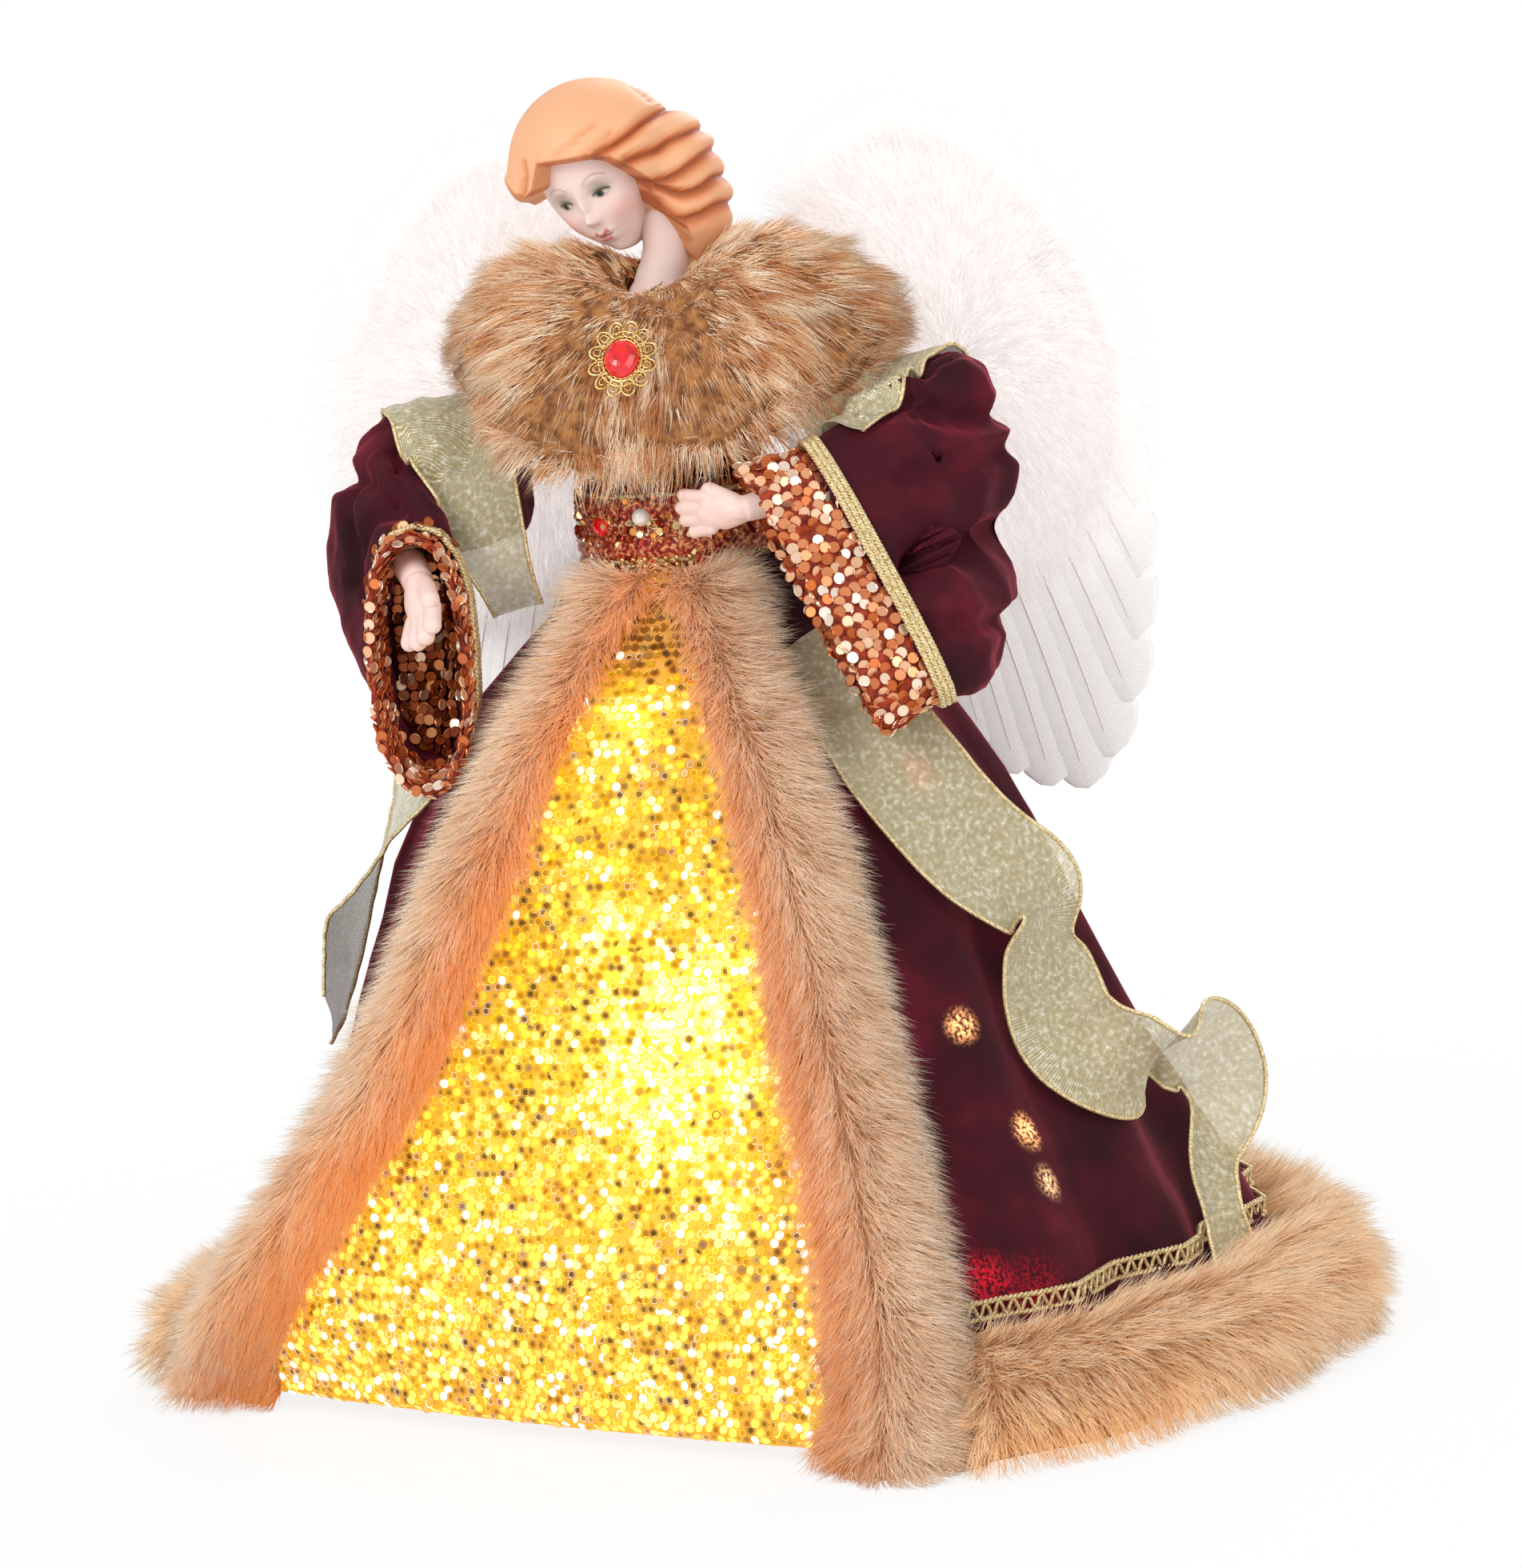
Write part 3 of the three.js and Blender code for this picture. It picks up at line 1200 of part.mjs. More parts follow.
function downPillow() {
  const edge = new THREE.SplineCurve([...downEdgeShares, downEdgeShares[0]].map(([u, v]) => wingPlace(u, v)));
  const middle = wingPlace(...downMiddleShare);
  const flatBack = -(sparRadius + gap);
  return loft(downRingShares.map(([share, depth, tuft]) => (
    grid(downColumns, 0, true, (u) => {
      const p = edge.getPoint(u).lerp(middle, 1 - share);
      const full = 1 + tuft * Math.sin(2 * Math.PI * downTufts * u + share);
      return new THREE.Vector3(p.x, flatBack - depth * downDepth * full, p.y);
    })[0]
  )));
}

function makeStaples() {
  [[1, 'left'], [-1, 'right']].forEach(([side, name]) => {
    add(`wing_staple_${name}`, stapleWire(side, stapleRadius), looks.wire);
  });
}

makeCone();
makeLamps();
makeLead();
makeRobe();
makePanel();
makeFrontFur();
makeHem();
makeBody();
makeBelt();
makeHead();
makeCape();
makeBrooch();
makeArm(1, 'left');
makeArm(-1, 'right');
makeRibbonFall('left');
makeRibbonFall('right');
makeStaples();
makeWing(1, 'left');
makeWing(-1, 'right');

export default topper;
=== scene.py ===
"""Looks of the angel tree topper: a velvet robe with imitation-fur edges over a lit sequin panel, a
porcelain head and hands, sequined cuffs, organza ribbon and feather wings.
Metres, +Z up. The figure faces -Y, and left and right are its own: its right side is -X."""
import json
import math

import bmesh
import bpy
import numpy as np
from mathutils import Matrix, Vector, noise
from mathutils.bvhtree import BVHTree
from mathutils.kdtree import KDTree


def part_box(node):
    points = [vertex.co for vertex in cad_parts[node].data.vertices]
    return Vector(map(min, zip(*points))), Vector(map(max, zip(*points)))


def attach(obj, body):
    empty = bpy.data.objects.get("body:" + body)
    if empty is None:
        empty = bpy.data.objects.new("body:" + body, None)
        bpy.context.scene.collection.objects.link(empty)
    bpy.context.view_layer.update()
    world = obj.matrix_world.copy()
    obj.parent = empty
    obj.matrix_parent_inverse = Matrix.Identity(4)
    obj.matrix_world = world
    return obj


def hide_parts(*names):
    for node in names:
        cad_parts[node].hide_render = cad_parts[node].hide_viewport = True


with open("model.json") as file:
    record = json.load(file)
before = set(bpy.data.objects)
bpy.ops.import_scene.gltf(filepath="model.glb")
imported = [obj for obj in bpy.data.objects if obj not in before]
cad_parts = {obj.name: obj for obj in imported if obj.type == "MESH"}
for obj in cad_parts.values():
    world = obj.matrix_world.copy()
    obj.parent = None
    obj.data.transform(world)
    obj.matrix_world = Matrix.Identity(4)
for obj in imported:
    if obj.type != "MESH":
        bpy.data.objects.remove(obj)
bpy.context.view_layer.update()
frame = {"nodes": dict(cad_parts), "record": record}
MM = 0.001
SIDES = {"left": 1, "right": -1}


# Colour and materials

def tone(code):
    """A linear colour from an sRGB hex code."""
    channels = [int(code[i:i + 2], 16) / 255 for i in (1, 3, 5)]
    return tuple(c / 12.92 if c <= 0.04045 else ((c + 0.055) / 1.055) ** 2.4 for c in channels) + (1.0,)


def rgb(code):
    return np.array(tone(code)[:3])


def add_node(tree, kind, inputs=None, out=0, stops=(), **settings):
    """Adds a shader node with its settings and returns one of its outputs. An input takes a value or the
    output that feeds it, and a colour ramp takes its stops as places and hex codes."""
    made = tree.nodes.new("ShaderNode" + kind)
    for name, value in settings.items():
        setattr(made, name, value)
    for name, value in (inputs or {}).items():
        if isinstance(value, bpy.types.NodeSocket):
            tree.links.new(value, made.inputs[name])
        else:
            made.inputs[name].default_value = value
    if stops:
        bands = made.color_ramp.elements
        while len(bands) < len(stops):
            bands.new(0.5)
        for band, (place, code) in zip(bands, stops):
            band.position = place
            band.color = tone(code)
    return made.outputs[out]


def material(name, shader):
    """A material whose surface is the output that shader(tree) returns."""
    made = bpy.data.materials.new(name)
    made.use_nodes = True
    tree = made.node_tree
    tree.nodes.clear()
    output = tree.nodes.new("ShaderNodeOutputMaterial")
    tree.links.new(shader(tree), output.inputs["Surface"])
    return made


def surface(name, sockets, grain=None, stops=(), relief=None):
    """A material of one surface shader. A socket takes a value, a hex code or the name of an attribute.
    Grain is the size and detail of the noise that the stops colour, and relief is the size, detail, depth and
    strength of the noise that makes the surface uneven."""
    def shader(tree):
        place = add_node(tree, "TexCoord", out="Object")
        own = {}
        for socket, value in sockets.items():
            if isinstance(value, str):
                value = tone(value) if value[0] == "#" else add_node(tree, "Attribute", attribute_name=value)
            own[socket] = value
        if grain:
            noisy = add_node(tree, "TexNoise", {"Scale": 1 / grain[0], "Detail": grain[1], "Vector": place})
            own["Base Color"] = add_node(tree, "ValToRGB", {"Fac": noisy}, stops=stops)
        if relief:
            size, detail, depth, strength = relief
            noisy = add_node(tree, "TexNoise", {"Scale": 1 / size, "Detail": detail, "Vector": place})
            own["Normal"] = add_node(tree, "Bump", {"Height": noisy, "Distance": depth, "Strength": strength})
        return add_node(tree, "BsdfPrincipled", own)
    return material(name, shader)


# Cotton velvet, dyed burgundy. Its pile lies in soft patches, so it is near black face on and wine red
# where it turns away. The lamps inside show through it as small red and gold glows.
def velvet_shader(tree):
    place = add_node(tree, "TexCoord", out="Object")
    patches, pile, sparks = [
        add_node(tree, "TexNoise", {"Scale": 1 / size, "Detail": detail, "Vector": place})
        for size, detail in ((22 * MM, 2.0), (0.7 * MM, 2.0), (0.9 * MM, 3.0))
    ]
    colour = add_node(tree, "ValToRGB", {"Fac": patches},
                      stops=[(0.3, "#2a0510"), (0.55, "#46091a"), (0.75, "#6a142a")])
    sparkle = add_node(tree, "ValToRGB", {"Fac": sparks}, stops=[(0.42, "#404040"), (0.6, "#ffffff")])
    glow = (0.0, 0.0, 0.0)
    for degrees, height, radius, code, strength in VELVET_GLOWS:
        spot = on_skirt(math.radians(degrees), height)
        away = add_node(tree, "VectorMath", {0: place, 1: spot[:]}, "Value", operation="DISTANCE")
        share = add_node(tree, "MapRange", {
            "Value": away, "From Min": 0.0, "From Max": 2 * radius, "To Min": strength, "To Max": 0.0,
        }, interpolation_type="SMOOTHERSTEP")
        lit = add_node(tree, "VectorMath", {0: tone(code)[:3], "Scale": share}, operation="SCALE")
        glow = add_node(tree, "VectorMath", {0: glow, 1: lit}, operation="ADD")
    return add_node(tree, "BsdfPrincipled", {
        "Base Color": colour, "Roughness": 0.85, "Specular IOR Level": 0.25, "Sheen Weight": 1.0,
        "Sheen Roughness": 0.32, "Sheen Tint": tone("#c4465c"), "Emission Strength": 1.0,
        "Normal": add_node(tree, "Bump", {"Height": pile, "Distance": 0.25 * MM, "Strength": 0.6}),
        "Emission Color": add_node(tree, "VectorMath", {0: glow, 1: sparkle}, operation="MULTIPLY"),
    })


# Nylon organza with a metallic weft: an open plain weave, drawn at 0.5 mm so that it shows.
def organza_shader(tree):
    place = add_node(tree, "TexCoord", out="Object")
    cloth = add_node(tree, "UVMap", uv_map="cloth")
    threads = []
    for axis in "XY":
        along = add_node(tree, "SeparateXYZ", {"Vector": cloth}, axis)
        turns = add_node(tree, "Math", {0: along, 1: math.tau / (0.5 * MM)}, operation="MULTIPLY")
        threads.append(add_node(tree, "Math", {0: turns}, operation="SINE"))
    weave = add_node(tree, "Math", {0: threads[0], 1: threads[1]}, operation="MAXIMUM")
    # A fine speckle of colour that runs up to near white: the metallic weft's own colour, with painted glints
    # in its palest flecks.
    patches = add_node(tree, "TexNoise", {"Scale": 1 / (1.3 * MM), "Detail": 2.0, "Vector": place})
    return add_node(tree, "BsdfPrincipled", {
        "Base Color": add_node(tree, "ValToRGB", {"Fac": patches},
                               stops=[(0.35, "#c9bd8e"), (0.55, "#ded5b0"), (0.7, "#fffbe8")]),
        "Alpha": add_node(tree, "MapRange", {
            "Value": weave, "From Min": -1.0, "From Max": 1.0, "To Min": 0.55, "To Max": 0.93,
        }),
        "Normal": add_node(tree, "Bump", {"Height": weave, "Distance": 0.12 * MM, "Strength": 0.7}),
        "Metallic": 0.35, "Roughness": 0.34, "Sheen Weight": 0.3,
    })


# Bleached goose feather: matt white, with fine barbs that slant away from the shaft. Light scatters through
# it, which the faint glow stands for.
def feather_shader(tree):
    flat = add_node(tree, "UVMap", uv_map="barbs")
    across, along = [add_node(tree, "SeparateXYZ", {"Vector": flat}, axis) for axis in "XY"]
    slanted = add_node(tree, "Math", {0: across, 1: along}, operation="SUBTRACT")
    turns = add_node(tree, "Math", {0: slanted, 1: math.tau / (0.7 * MM)}, operation="MULTIPLY")
    barb = add_node(tree, "Math", {0: turns}, operation="SINE")
    return add_node(tree, "BsdfPrincipled", {
        "Base Color": add_node(tree, "Attribute", attribute_name="tint"), "Roughness": 0.7,
        "Sheen Weight": 0.3, "Emission Color": tone("#fffafa"), "Emission Strength": 0.10,
        "Normal": add_node(tree, "Bump", {"Height": barb, "Distance": 0.06 * MM, "Strength": 0.6}),
    })


organza = material("metallic_organza", organza_shader)
feather = material("bleached_feather", feather_shader)
# What the lamps add to a piece is held by its points.
LIT = {"Emission Color": "lamp_glow", "Emission Strength": 1.0}
# Acrylic fur: smooth, slightly shiny fibres, each coloured from root to tip. The roots are painted darker,
# partly as painted shade deep in the pile, and some tips are dyed dark.
fur = surface("acrylic_fur", {"Base Color": "tint", "Roughness": 0.5, "Specular IOR Level": 0.35,
                              "Sheen Weight": 0.25, "Sheen Roughness": 0.4, **LIT})
# Knitted cloth, which shows as the shade between the fibres of the fur and between the cups of the cuffs.
cape_backing, fur_backing, cuff_net = [
    surface(name, {"Roughness": 0.95}, (3 * MM, 3.0), [(0.35, dark), (0.65, light)],
            (1.2 * MM, 3.0, 0.6 * MM, 1.0))
    for name, dark, light in (("cape_backing", "#6e4222", "#b8804c"), ("fur_backing", "#a27248", "#d2a274"),
                              ("cuff_net", "#6e2414", "#b4452a"))
]
# Metallised PET sequins: thin, bright and slightly see-through, so the lamps behind light them up.
gold_sequin = surface("gold_pet_sequin", {"Base Color": "tint", "Metallic": 0.55, "Roughness": 0.28, **LIT})
# Nylon net under the sequins, which the lamps shine straight through.
lit_net = surface("nylon_net", {"Base Color": "#d8a040", "Roughness": 0.8, **LIT})
# Rose-gold cup sequins: vacuum-metallised PET, with each cup's tilt catching the light differently; their
# colours also hold painted highlights, lighter at the rims and on some cups than on others.
copper_sequin = surface("copper_pet_sequin", {"Base Color": "tint", "Metallic": 0.7, "Roughness": 0.26})
# Metallic yarn laid as cord: film-wrapped thread with a soft gold gloss.
gold_cord = surface("gold_lurex_cord", {"Metallic": 0.5, "Roughness": 0.34}, (0.6 * MM, 2.0),
                    [(0.3, "#b8954e"), (0.6, "#f2e4b8")], (0.35 * MM, 3.0, 0.15 * MM, 1.0))
# Gilded zinc casting: bright pale gold, a little uneven from plating.
gilt = surface("gilt_zinc", {"Metallic": 1.0, "Roughness": 0.24}, (1.5 * MM, 3.0),
               [(0.3, "#c79b4a"), (0.7, "#f3dca4")])
# Acrylic cabochon with a foil back: saturated red, with a faint painted glow for the light the foil sends
# back through it.
ruby = surface("red_acrylic", {"Roughness": 0.12, "IOR": 1.49, "Coat Weight": 0.6, "Coat Roughness": 0.03,
                               "Emission Color": "#c00a10", "Emission Strength": 0.25},
               (2.5 * MM, 1.0), [(0.3, "#a80812"), (0.7, "#f5161c")])
# Pearl lacquer over a glass bead.
pearl = surface("pearl_lacquer", {"Roughness": 0.2, "Coat Weight": 0.8, "Coat Roughness": 0.1,
                                  "Sheen Weight": 0.2}, (2 * MM, 3.0), [(0.3, "#efe4d6"), (0.7, "#ffffff")])
# Bisque porcelain: unglazed, smooth and matt, painted in thin colour that the attribute holds, with some
# painted shade among it.
bisque = surface("painted_bisque", {"Base Color": "tint", "Roughness": 0.5, "Specular IOR Level": 0.4,
                                    "Subsurface Weight": 0.12, "Subsurface Scale": 2 * MM,
                                    "Subsurface Radius": (1.0, 0.5, 0.4)},
                 relief=(0.5 * MM, 2.0, 0.03 * MM, 0.5))
# Marabou down, bleached: loose, very soft strands that scatter light through the whole tuft, which the faint
# glow stands for as painted light.
fluff = surface("bleached_down", {"Base Color": "tint", "Roughness": 0.8, "Sheen Weight": 0.5,
                                  "Emission Color": "#fff8f8", "Emission Strength": 0.28})
# Plain cotton: a fine weave with a little unevenness in the yarn.
cotton = surface("plain_cotton", {"Roughness": 0.9}, (0.8 * MM, 2.0), [(0.3, "#d8cbb4"), (0.7, "#efe6d6")],
                 (0.8 * MM, 2.0, 0.2 * MM, 1.0))
# Grey pressed board with a fibrous, slightly mottled face.
card = surface("pressed_board", {"Roughness": 0.92}, (1.6 * MM, 5.0), [(0.3, "#cfc4ac"), (0.7, "#ede6d6")],
               (1.6 * MM, 5.0, 0.1 * MM, 1.0))
# Drawn steel wire, lightly scratched along its length.
wire_metal = surface("drawn_steel_wire", {"Metallic": 1.0, "Roughness": 0.34}, (0.9 * MM, 3.0),
                     [(0.3, "#8e8e8c"), (0.7, "#c9c9c6")])
# Injection-moulded polypropylene, dark green and slightly waxy.
plastic = surface("green_polypropylene", {"Roughness": 0.45}, (0.9 * MM, 3.0),
                  [(0.35, "#1f4a2c"), (0.65, "#2c5f3a")], (0.9 * MM, 3.0, 0.05 * MM, 0.4))
# Clear glass bulb with its filament alight.
bulb = surface("lit_glass", {"Roughness": 0.08, "Emission Color": "#ffc860", "Emission Strength": 3.0},
               (4 * MM, 1.0), [(0.3, "#ffd27a"), (0.7, "#fff0c4")])
# Woven belt braid: dark red yarn with copper metal thread; its palest speckles are partly painted glints.
belt_braid = surface("copper_and_red_braid", {"Metallic": 0.35, "Roughness": 0.5}, (1.2 * MM, 2.0),
                     [(0.36, "#6a0f14"), (0.5, "#b03a24"), (0.66, "#f4b47c")], (1.2 * MM, 2.0, 0.3 * MM, 1.0))


# Meshes

def merged_copy(node):
    """The faces of a CAD node as a bmesh whose corners are shared."""
    bm = bmesh.new()
    bm.from_mesh(frame["nodes"][node].data)
    bmesh.ops.remove_doubles(bm, verts=bm.verts, dist=0.01 * MM)
    return bm


def mesh_of(bm, name):
    """Turns a bmesh into a mesh and frees it."""
    mesh = bpy.data.meshes.new(name)
    bm.to_mesh(mesh)
    bm.free()
    return mesh


def settled(holder):
    """The mesh of an object with its modifiers applied. The object goes."""
    bpy.context.scene.collection.objects.link(holder)
    graph = bpy.context.evaluated_depsgraph_get()
    made = bpy.data.meshes.new_from_object(holder.evaluated_get(graph))
    bpy.data.objects.remove(holder)
    return made


def piece(name, shape, finish, body, nodes=(), smooth=True):
    """A finished piece from a bmesh or a mesh: it rides on a body and stands for CAD nodes."""
    mesh = mesh_of(shape, name) if isinstance(shape, bmesh.types.BMesh) else shape
    mesh.polygons.foreach_set("use_smooth", [smooth] * len(mesh.polygons))
    mesh.materials.clear()
    mesh.materials.append(finish)
    made = bpy.data.objects.new(name, mesh)
    bpy.context.scene.collection.objects.link(made)
    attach(made, body)
    if nodes:
        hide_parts(*nodes)
    return made


def points_of(mesh):
    place = np.empty(len(mesh.vertices) * 3, np.float32)
    mesh.vertices.foreach_get("co", place)
    return place.reshape(-1, 3)


def set_points(mesh, place):
    mesh.vertices.foreach_set("co", np.ascontiguousarray(place, np.float32).ravel())
    mesh.update()


def normals_of(mesh):
    return np.array([v.normal[:] for v in mesh.vertices])


def lay_flat(mesh, name, places):
    """Stores the flat place in metres of each point of a mesh as a UV map."""
    corner_of = np.empty(len(mesh.loops), np.int32)
    mesh.loops.foreach_get("vertex_index", corner_of)
    layer = mesh.uv_layers.new(name=name)
    layer.data.foreach_set("uv", np.ascontiguousarray(places[corner_of], np.float32).ravel())


def outward(angle):
    """The level direction at an angle from the front that turns towards +X."""
    return Vector((math.sin(angle), -math.cos(angle), 0))


def facing_out(out):
    """The rotation that turns +Z to a direction."""
    return out.to_track_quat("Z", "Y").to_matrix().to_4x4()


def paint(mesh, colours, name="tint"):
    """Stores one linear colour for each corner point of a mesh."""
    layer = mesh.color_attributes.new(name, "FLOAT_COLOR", "POINT")
    full = np.ones((len(mesh.vertices), 4), np.float32)
    full[:, :3] = colours[:, :3]
    layer.data.foreach_set("color", full.ravel())


def finer(bm, cuts=1, smooth=1.0):
    """Splits every edge and rounds the surface between the old corners."""
    bmesh.ops.subdivide_edges(bm, edges=bm.edges, cuts=cuts, use_grid_fill=True, smooth=smooth)
    return bm


def remeshed(bm, grain, rounds=4):
    """One even skin over a bmesh, with faces about a grain across, relaxed a few times."""
    mesh = mesh_of(bm, "skin")
    holder = bpy.data.objects.new("skin", mesh)
    grid = holder.modifiers.new("skin", "REMESH")
    grid.mode = "VOXEL"
    grid.voxel_size = grain
    bm = bmesh.new()
    bm.from_mesh(settled(holder))
    for _ in range(rounds):
        bmesh.ops.smooth_vert(bm, verts=bm.verts, factor=0.5, use_axis_x=True, use_axis_y=True,
                              use_axis_z=True)
    return bm


def tree_of(*nodes):
    """A search tree over the faces of CAD nodes."""
    bm = bmesh.new()
    for node in nodes:
        bm.from_mesh(frame["nodes"][node].data)
    found = BVHTree.FromBMesh(bm)
    bm.free()
    return found


class Scatter:
    """Random points spread evenly over a bmesh's faces, with the normal at each."""

    def __init__(self, bm, count, rng, keep=None):
        bm.normal_update()
        corners = np.array([[v.co[:] for v in loops_face] for loops_face in
                            ([loop.vert for loop in triangle] for triangle in bm.calc_loop_triangles())])
        cross = np.cross(corners[:, 1] - corners[:, 0], corners[:, 2] - corners[:, 0])
        area = np.linalg.norm(cross, axis=1) / 2
        facing = cross / np.maximum(2 * area[:, None], 1e-12)
        middle = corners.mean(1)
        if keep is not None:
            area = area * keep(middle, facing)
        self.area = area.sum()
        chosen = rng.choice(len(area), count, p=area / area.sum())
        u, v = rng.random((2, count))
        flip = u + v > 1
        u[flip], v[flip] = 1 - u[flip], 1 - v[flip]
        a, b, c = corners[chosen].transpose(1, 0, 2)
        self.place = a + u[:, None] * (b - a) + v[:, None] * (c - a)
        self.normal = facing[chosen]


def unit(vectors):
    return vectors / np.maximum(np.linalg.norm(vectors, axis=-1, keepdims=True), 1e-12)


def strand_shape():
    """One closed, pointed strand of unit length and radius, with one joint, along Z from the origin."""
    bm = bmesh.new()
    bmesh.ops.create_cone(bm, cap_ends=True, segments=3, radius1=1, radius2=0, depth=1)
    bmesh.ops.translate(bm, verts=bm.verts, vec=(0, 0, 0.5))
    bmesh.ops.bisect_plane(bm, geom=bm.verts[:] + bm.edges[:] + bm.faces[:], plane_co=(0, 0, 0.5),
                           plane_no=(0, 0, 1))
    bmesh.ops.triangulate(bm, faces=bm.faces)
    return mesh_of(bm, "strand")


def copies(shape, count):
    """One mesh of many copies of a shape, all in the same place and one after another."""
    holder = bpy.data.objects.new("row", shape)
    row = holder.modifiers.new("row", "ARRAY")
    row.count = count
    row.use_relative_offset = False
    row.use_constant_offset = True
    row.constant_offset_displace = (0, 0, 0)
    return settled(holder)


def planted(shape, roots, ways, reach, radii, bends=None):
    """Copies of a strand: each stands on its root along its way, and bends off by its own vector."""
    unit_points = points_of(shape)
    made = copies(shape, len(roots))
    along = unit_points[:, 2]
    helper = np.where(np.abs(ways[:, 2:3]) < 0.9, [[0.0, 0.0, 1.0]], [[1.0, 0.0, 0.0]])
    right = unit(np.cross(ways, helper))
    over = np.cross(right, ways)
    thick = radii[:, None, None]
    place = roots[:, None] + ways[:, None] * (reach[:, None] * along)[..., None]
    place = place + thick * (unit_points[:, 0, None] * right[:, None]
                             + unit_points[:, 1, None] * over[:, None])
    if bends is not None:
        place = place + bends[:, None] * (along ** 2)[None, :, None]
    set_points(made, place.reshape(-1, 3))
    return made, np.tile(along, len(roots))


def each(values, shape):
    """Repeats one value for each copy over all the points of its shape."""
    return np.repeat(values, len(shape.vertices), axis=0)


def blend_tones(share, *stops):
    """Colours read from a list of (place, hex) stops at each share."""
    places = [p for p, _ in stops]
    colours = np.array([rgb(code) for _, code in stops])
    return np.stack([np.interp(share, places, colours[:, k]) for k in range(3)], 1)


def step(low, high, value):
    t = np.clip((value - low) / (high - low), 0, 1)
    return t * t * (3 - 2 * t)


def ripple(place, size, seed=0.0):
    """Smooth noise from about -1 to 1 at each place, with waves about one size long."""
    shift = Vector((seed, 2 * seed, -seed))
    return np.array([noise.noise(Vector(p) / size + shift) for p in place.tolist()])


# Camera at the photograph's view. The figure's point AIM is seen at the pixel AIM_PIXEL of the photograph.
PHOTO_SIZE = (1903, 1960)
VIEW_TURN = math.radians(15)
VIEW_DISTANCE = 1.4
VIEW_HEIGHT = 0.34
VIEW_ROLL = math.radians(5.5)
FOCAL_PIXELS = 7000
AIM = Vector((0, 0, 0.15))
AIM_PIXEL = (884, 962)
SENSOR = 36.0


def view_axes():
    """Where the camera stands, and the directions to the right, up and ahead in its picture."""
    place = Vector((math.sin(VIEW_TURN) * VIEW_DISTANCE, -math.cos(VIEW_TURN) * VIEW_DISTANCE, VIEW_HEIGHT))
    ahead = (AIM - place).normalized()
    right = ahead.cross(Vector((0, 0, 1))).normalized()
    up = right.cross(ahead)
    right, up = (right * math.cos(VIEW_ROLL) - up * math.sin(VIEW_ROLL),
                 up * math.cos(VIEW_ROLL) + right * math.sin(VIEW_ROLL))
    off_x = (PHOTO_SIZE[0] / 2 - AIM_PIXEL[0]) / FOCAL_PIXELS
    off_y = (PHOTO_SIZE[1] / 2 - AIM_PIXEL[1]) / FOCAL_PIXELS
    ahead = (ahead + off_x * right - off_y * up).normalized()
    right = (right - right.dot(ahead) * ahead).normalized()
    return place, right, right.cross(ahead), ahead


def camera():
    place, right, up, ahead = view_axes()
    data = bpy.data.cameras.new("camera")
    data.sensor_width = SENSOR
    data.sensor_height = SENSOR
    data.lens = FOCAL_PIXELS / max(PHOTO_SIZE) * SENSOR
    data.clip_start = 0.05
    made = bpy.data.objects.new("camera", data)
    made.matrix_world = Matrix((right, up, -ahead)).transposed().to_4x4()
    made.matrix_world.translation = place
    bpy.context.scene.collection.objects.link(made)
    bpy.context.scene.camera = made


# Stage: a white floor that keeps a soft shadow, a white surround, and three soft lamps.
def floor():
    """A white floor that keeps a soft shadow near the figure and fades into the surround."""
    def shader(tree):
        seen = 0.0
        for ray in ("Camera", "Glossy", "Transmission"):
            kind = add_node(tree, "LightPath", out=f"Is {ray} Ray")
            seen = add_node(tree, "Math", {0: kind, 1: seen}, operation="MAXIMUM")
        place = add_node(tree, "TexCoord", out="Object")
        away = add_node(tree, "VectorMath", {0: place}, "Value", operation="LENGTH")
        share = add_node(tree, "MapRange", {
            "Value": away, "From Min": 0.15, "From Max": 0.42, "To Min": 0.86, "To Max": 1.0,
        })
        share = add_node(tree, "Math", {0: seen, 1: share}, operation="MULTIPLY")
        matt = add_node(tree, "BsdfDiffuse", {"Color": tone("#f4f2f0")})
        white = add_node(tree, "Emission", {"Color": (1, 1, 1, 1), "Strength": 1.0})
        return add_node(tree, "MixShader", {"Fac": share, 1: matt, 2: white})

    bm = bmesh.new()
    bmesh.ops.create_grid(bm, x_segments=1, y_segments=1, size=4)
    mesh = mesh_of(bm, "floor")
    mesh.materials.append(material("white_floor", shader))
    made = bpy.data.objects.new("floor", mesh)
    bpy.context.scene.collection.objects.link(made)


def surround():
    world = bpy.data.worlds.new("surround")
    world.use_nodes = True
    tree = world.node_tree
    tree.nodes.clear()
    seen = add_node(tree, "LightPath", out="Is Camera Ray")
    soft = add_node(tree, "Background", {"Color": tone("#f6f2ef"), "Strength": 0.72})
    white = add_node(tree, "Background", {"Color": (1, 1, 1, 1), "Strength": 1.0})
    output = tree.nodes.new("ShaderNodeOutputWorld")
    tree.links.new(add_node(tree, "MixShader", {"Fac": seen, 1: soft, 2: white}), output.inputs["Surface"])
    bpy.context.scene.world = world


def soft_lamp(name, place, target, size, power, code="#ffffff"):
    data = bpy.data.lights.new(name, "AREA")
    data.size = size
    data.energy = power
    data.color = tone(code)[:3]
    made = bpy.data.objects.new(name, data)
    ahead = (Vector(target) - Vector(place)).normalized()
    made.matrix_world = ahead.to_track_quat("-Z", "Y").to_matrix().to_4x4()
    made.matrix_world.translation = Vector(place)
    bpy.context.scene.collection.objects.link(made)


def stage():
    floor()
    surround()
    soft_lamp("key", (-0.7, -1.2, 1.1), (0, 0, 0.15), 0.7, 11)
    soft_lamp("fill", (1.3, -0.9, 0.7), (0, 0, 0.15), 0.9, 6)
    soft_lamp("rim", (0.2, 1.1, 1.0), (0, 0, 0.2), 0.8, 8)


# Robe, and the lamps that shine through it

# A ray towards the figure's axis starts this far out, beyond the hem.
OUTSIDE = 0.4
ROBE_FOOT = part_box("robe")[0].z
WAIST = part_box("robe")[1].z
ROBE_TREE = tree_of("robe")
PANEL_TREE = tree_of("sequin_panel")


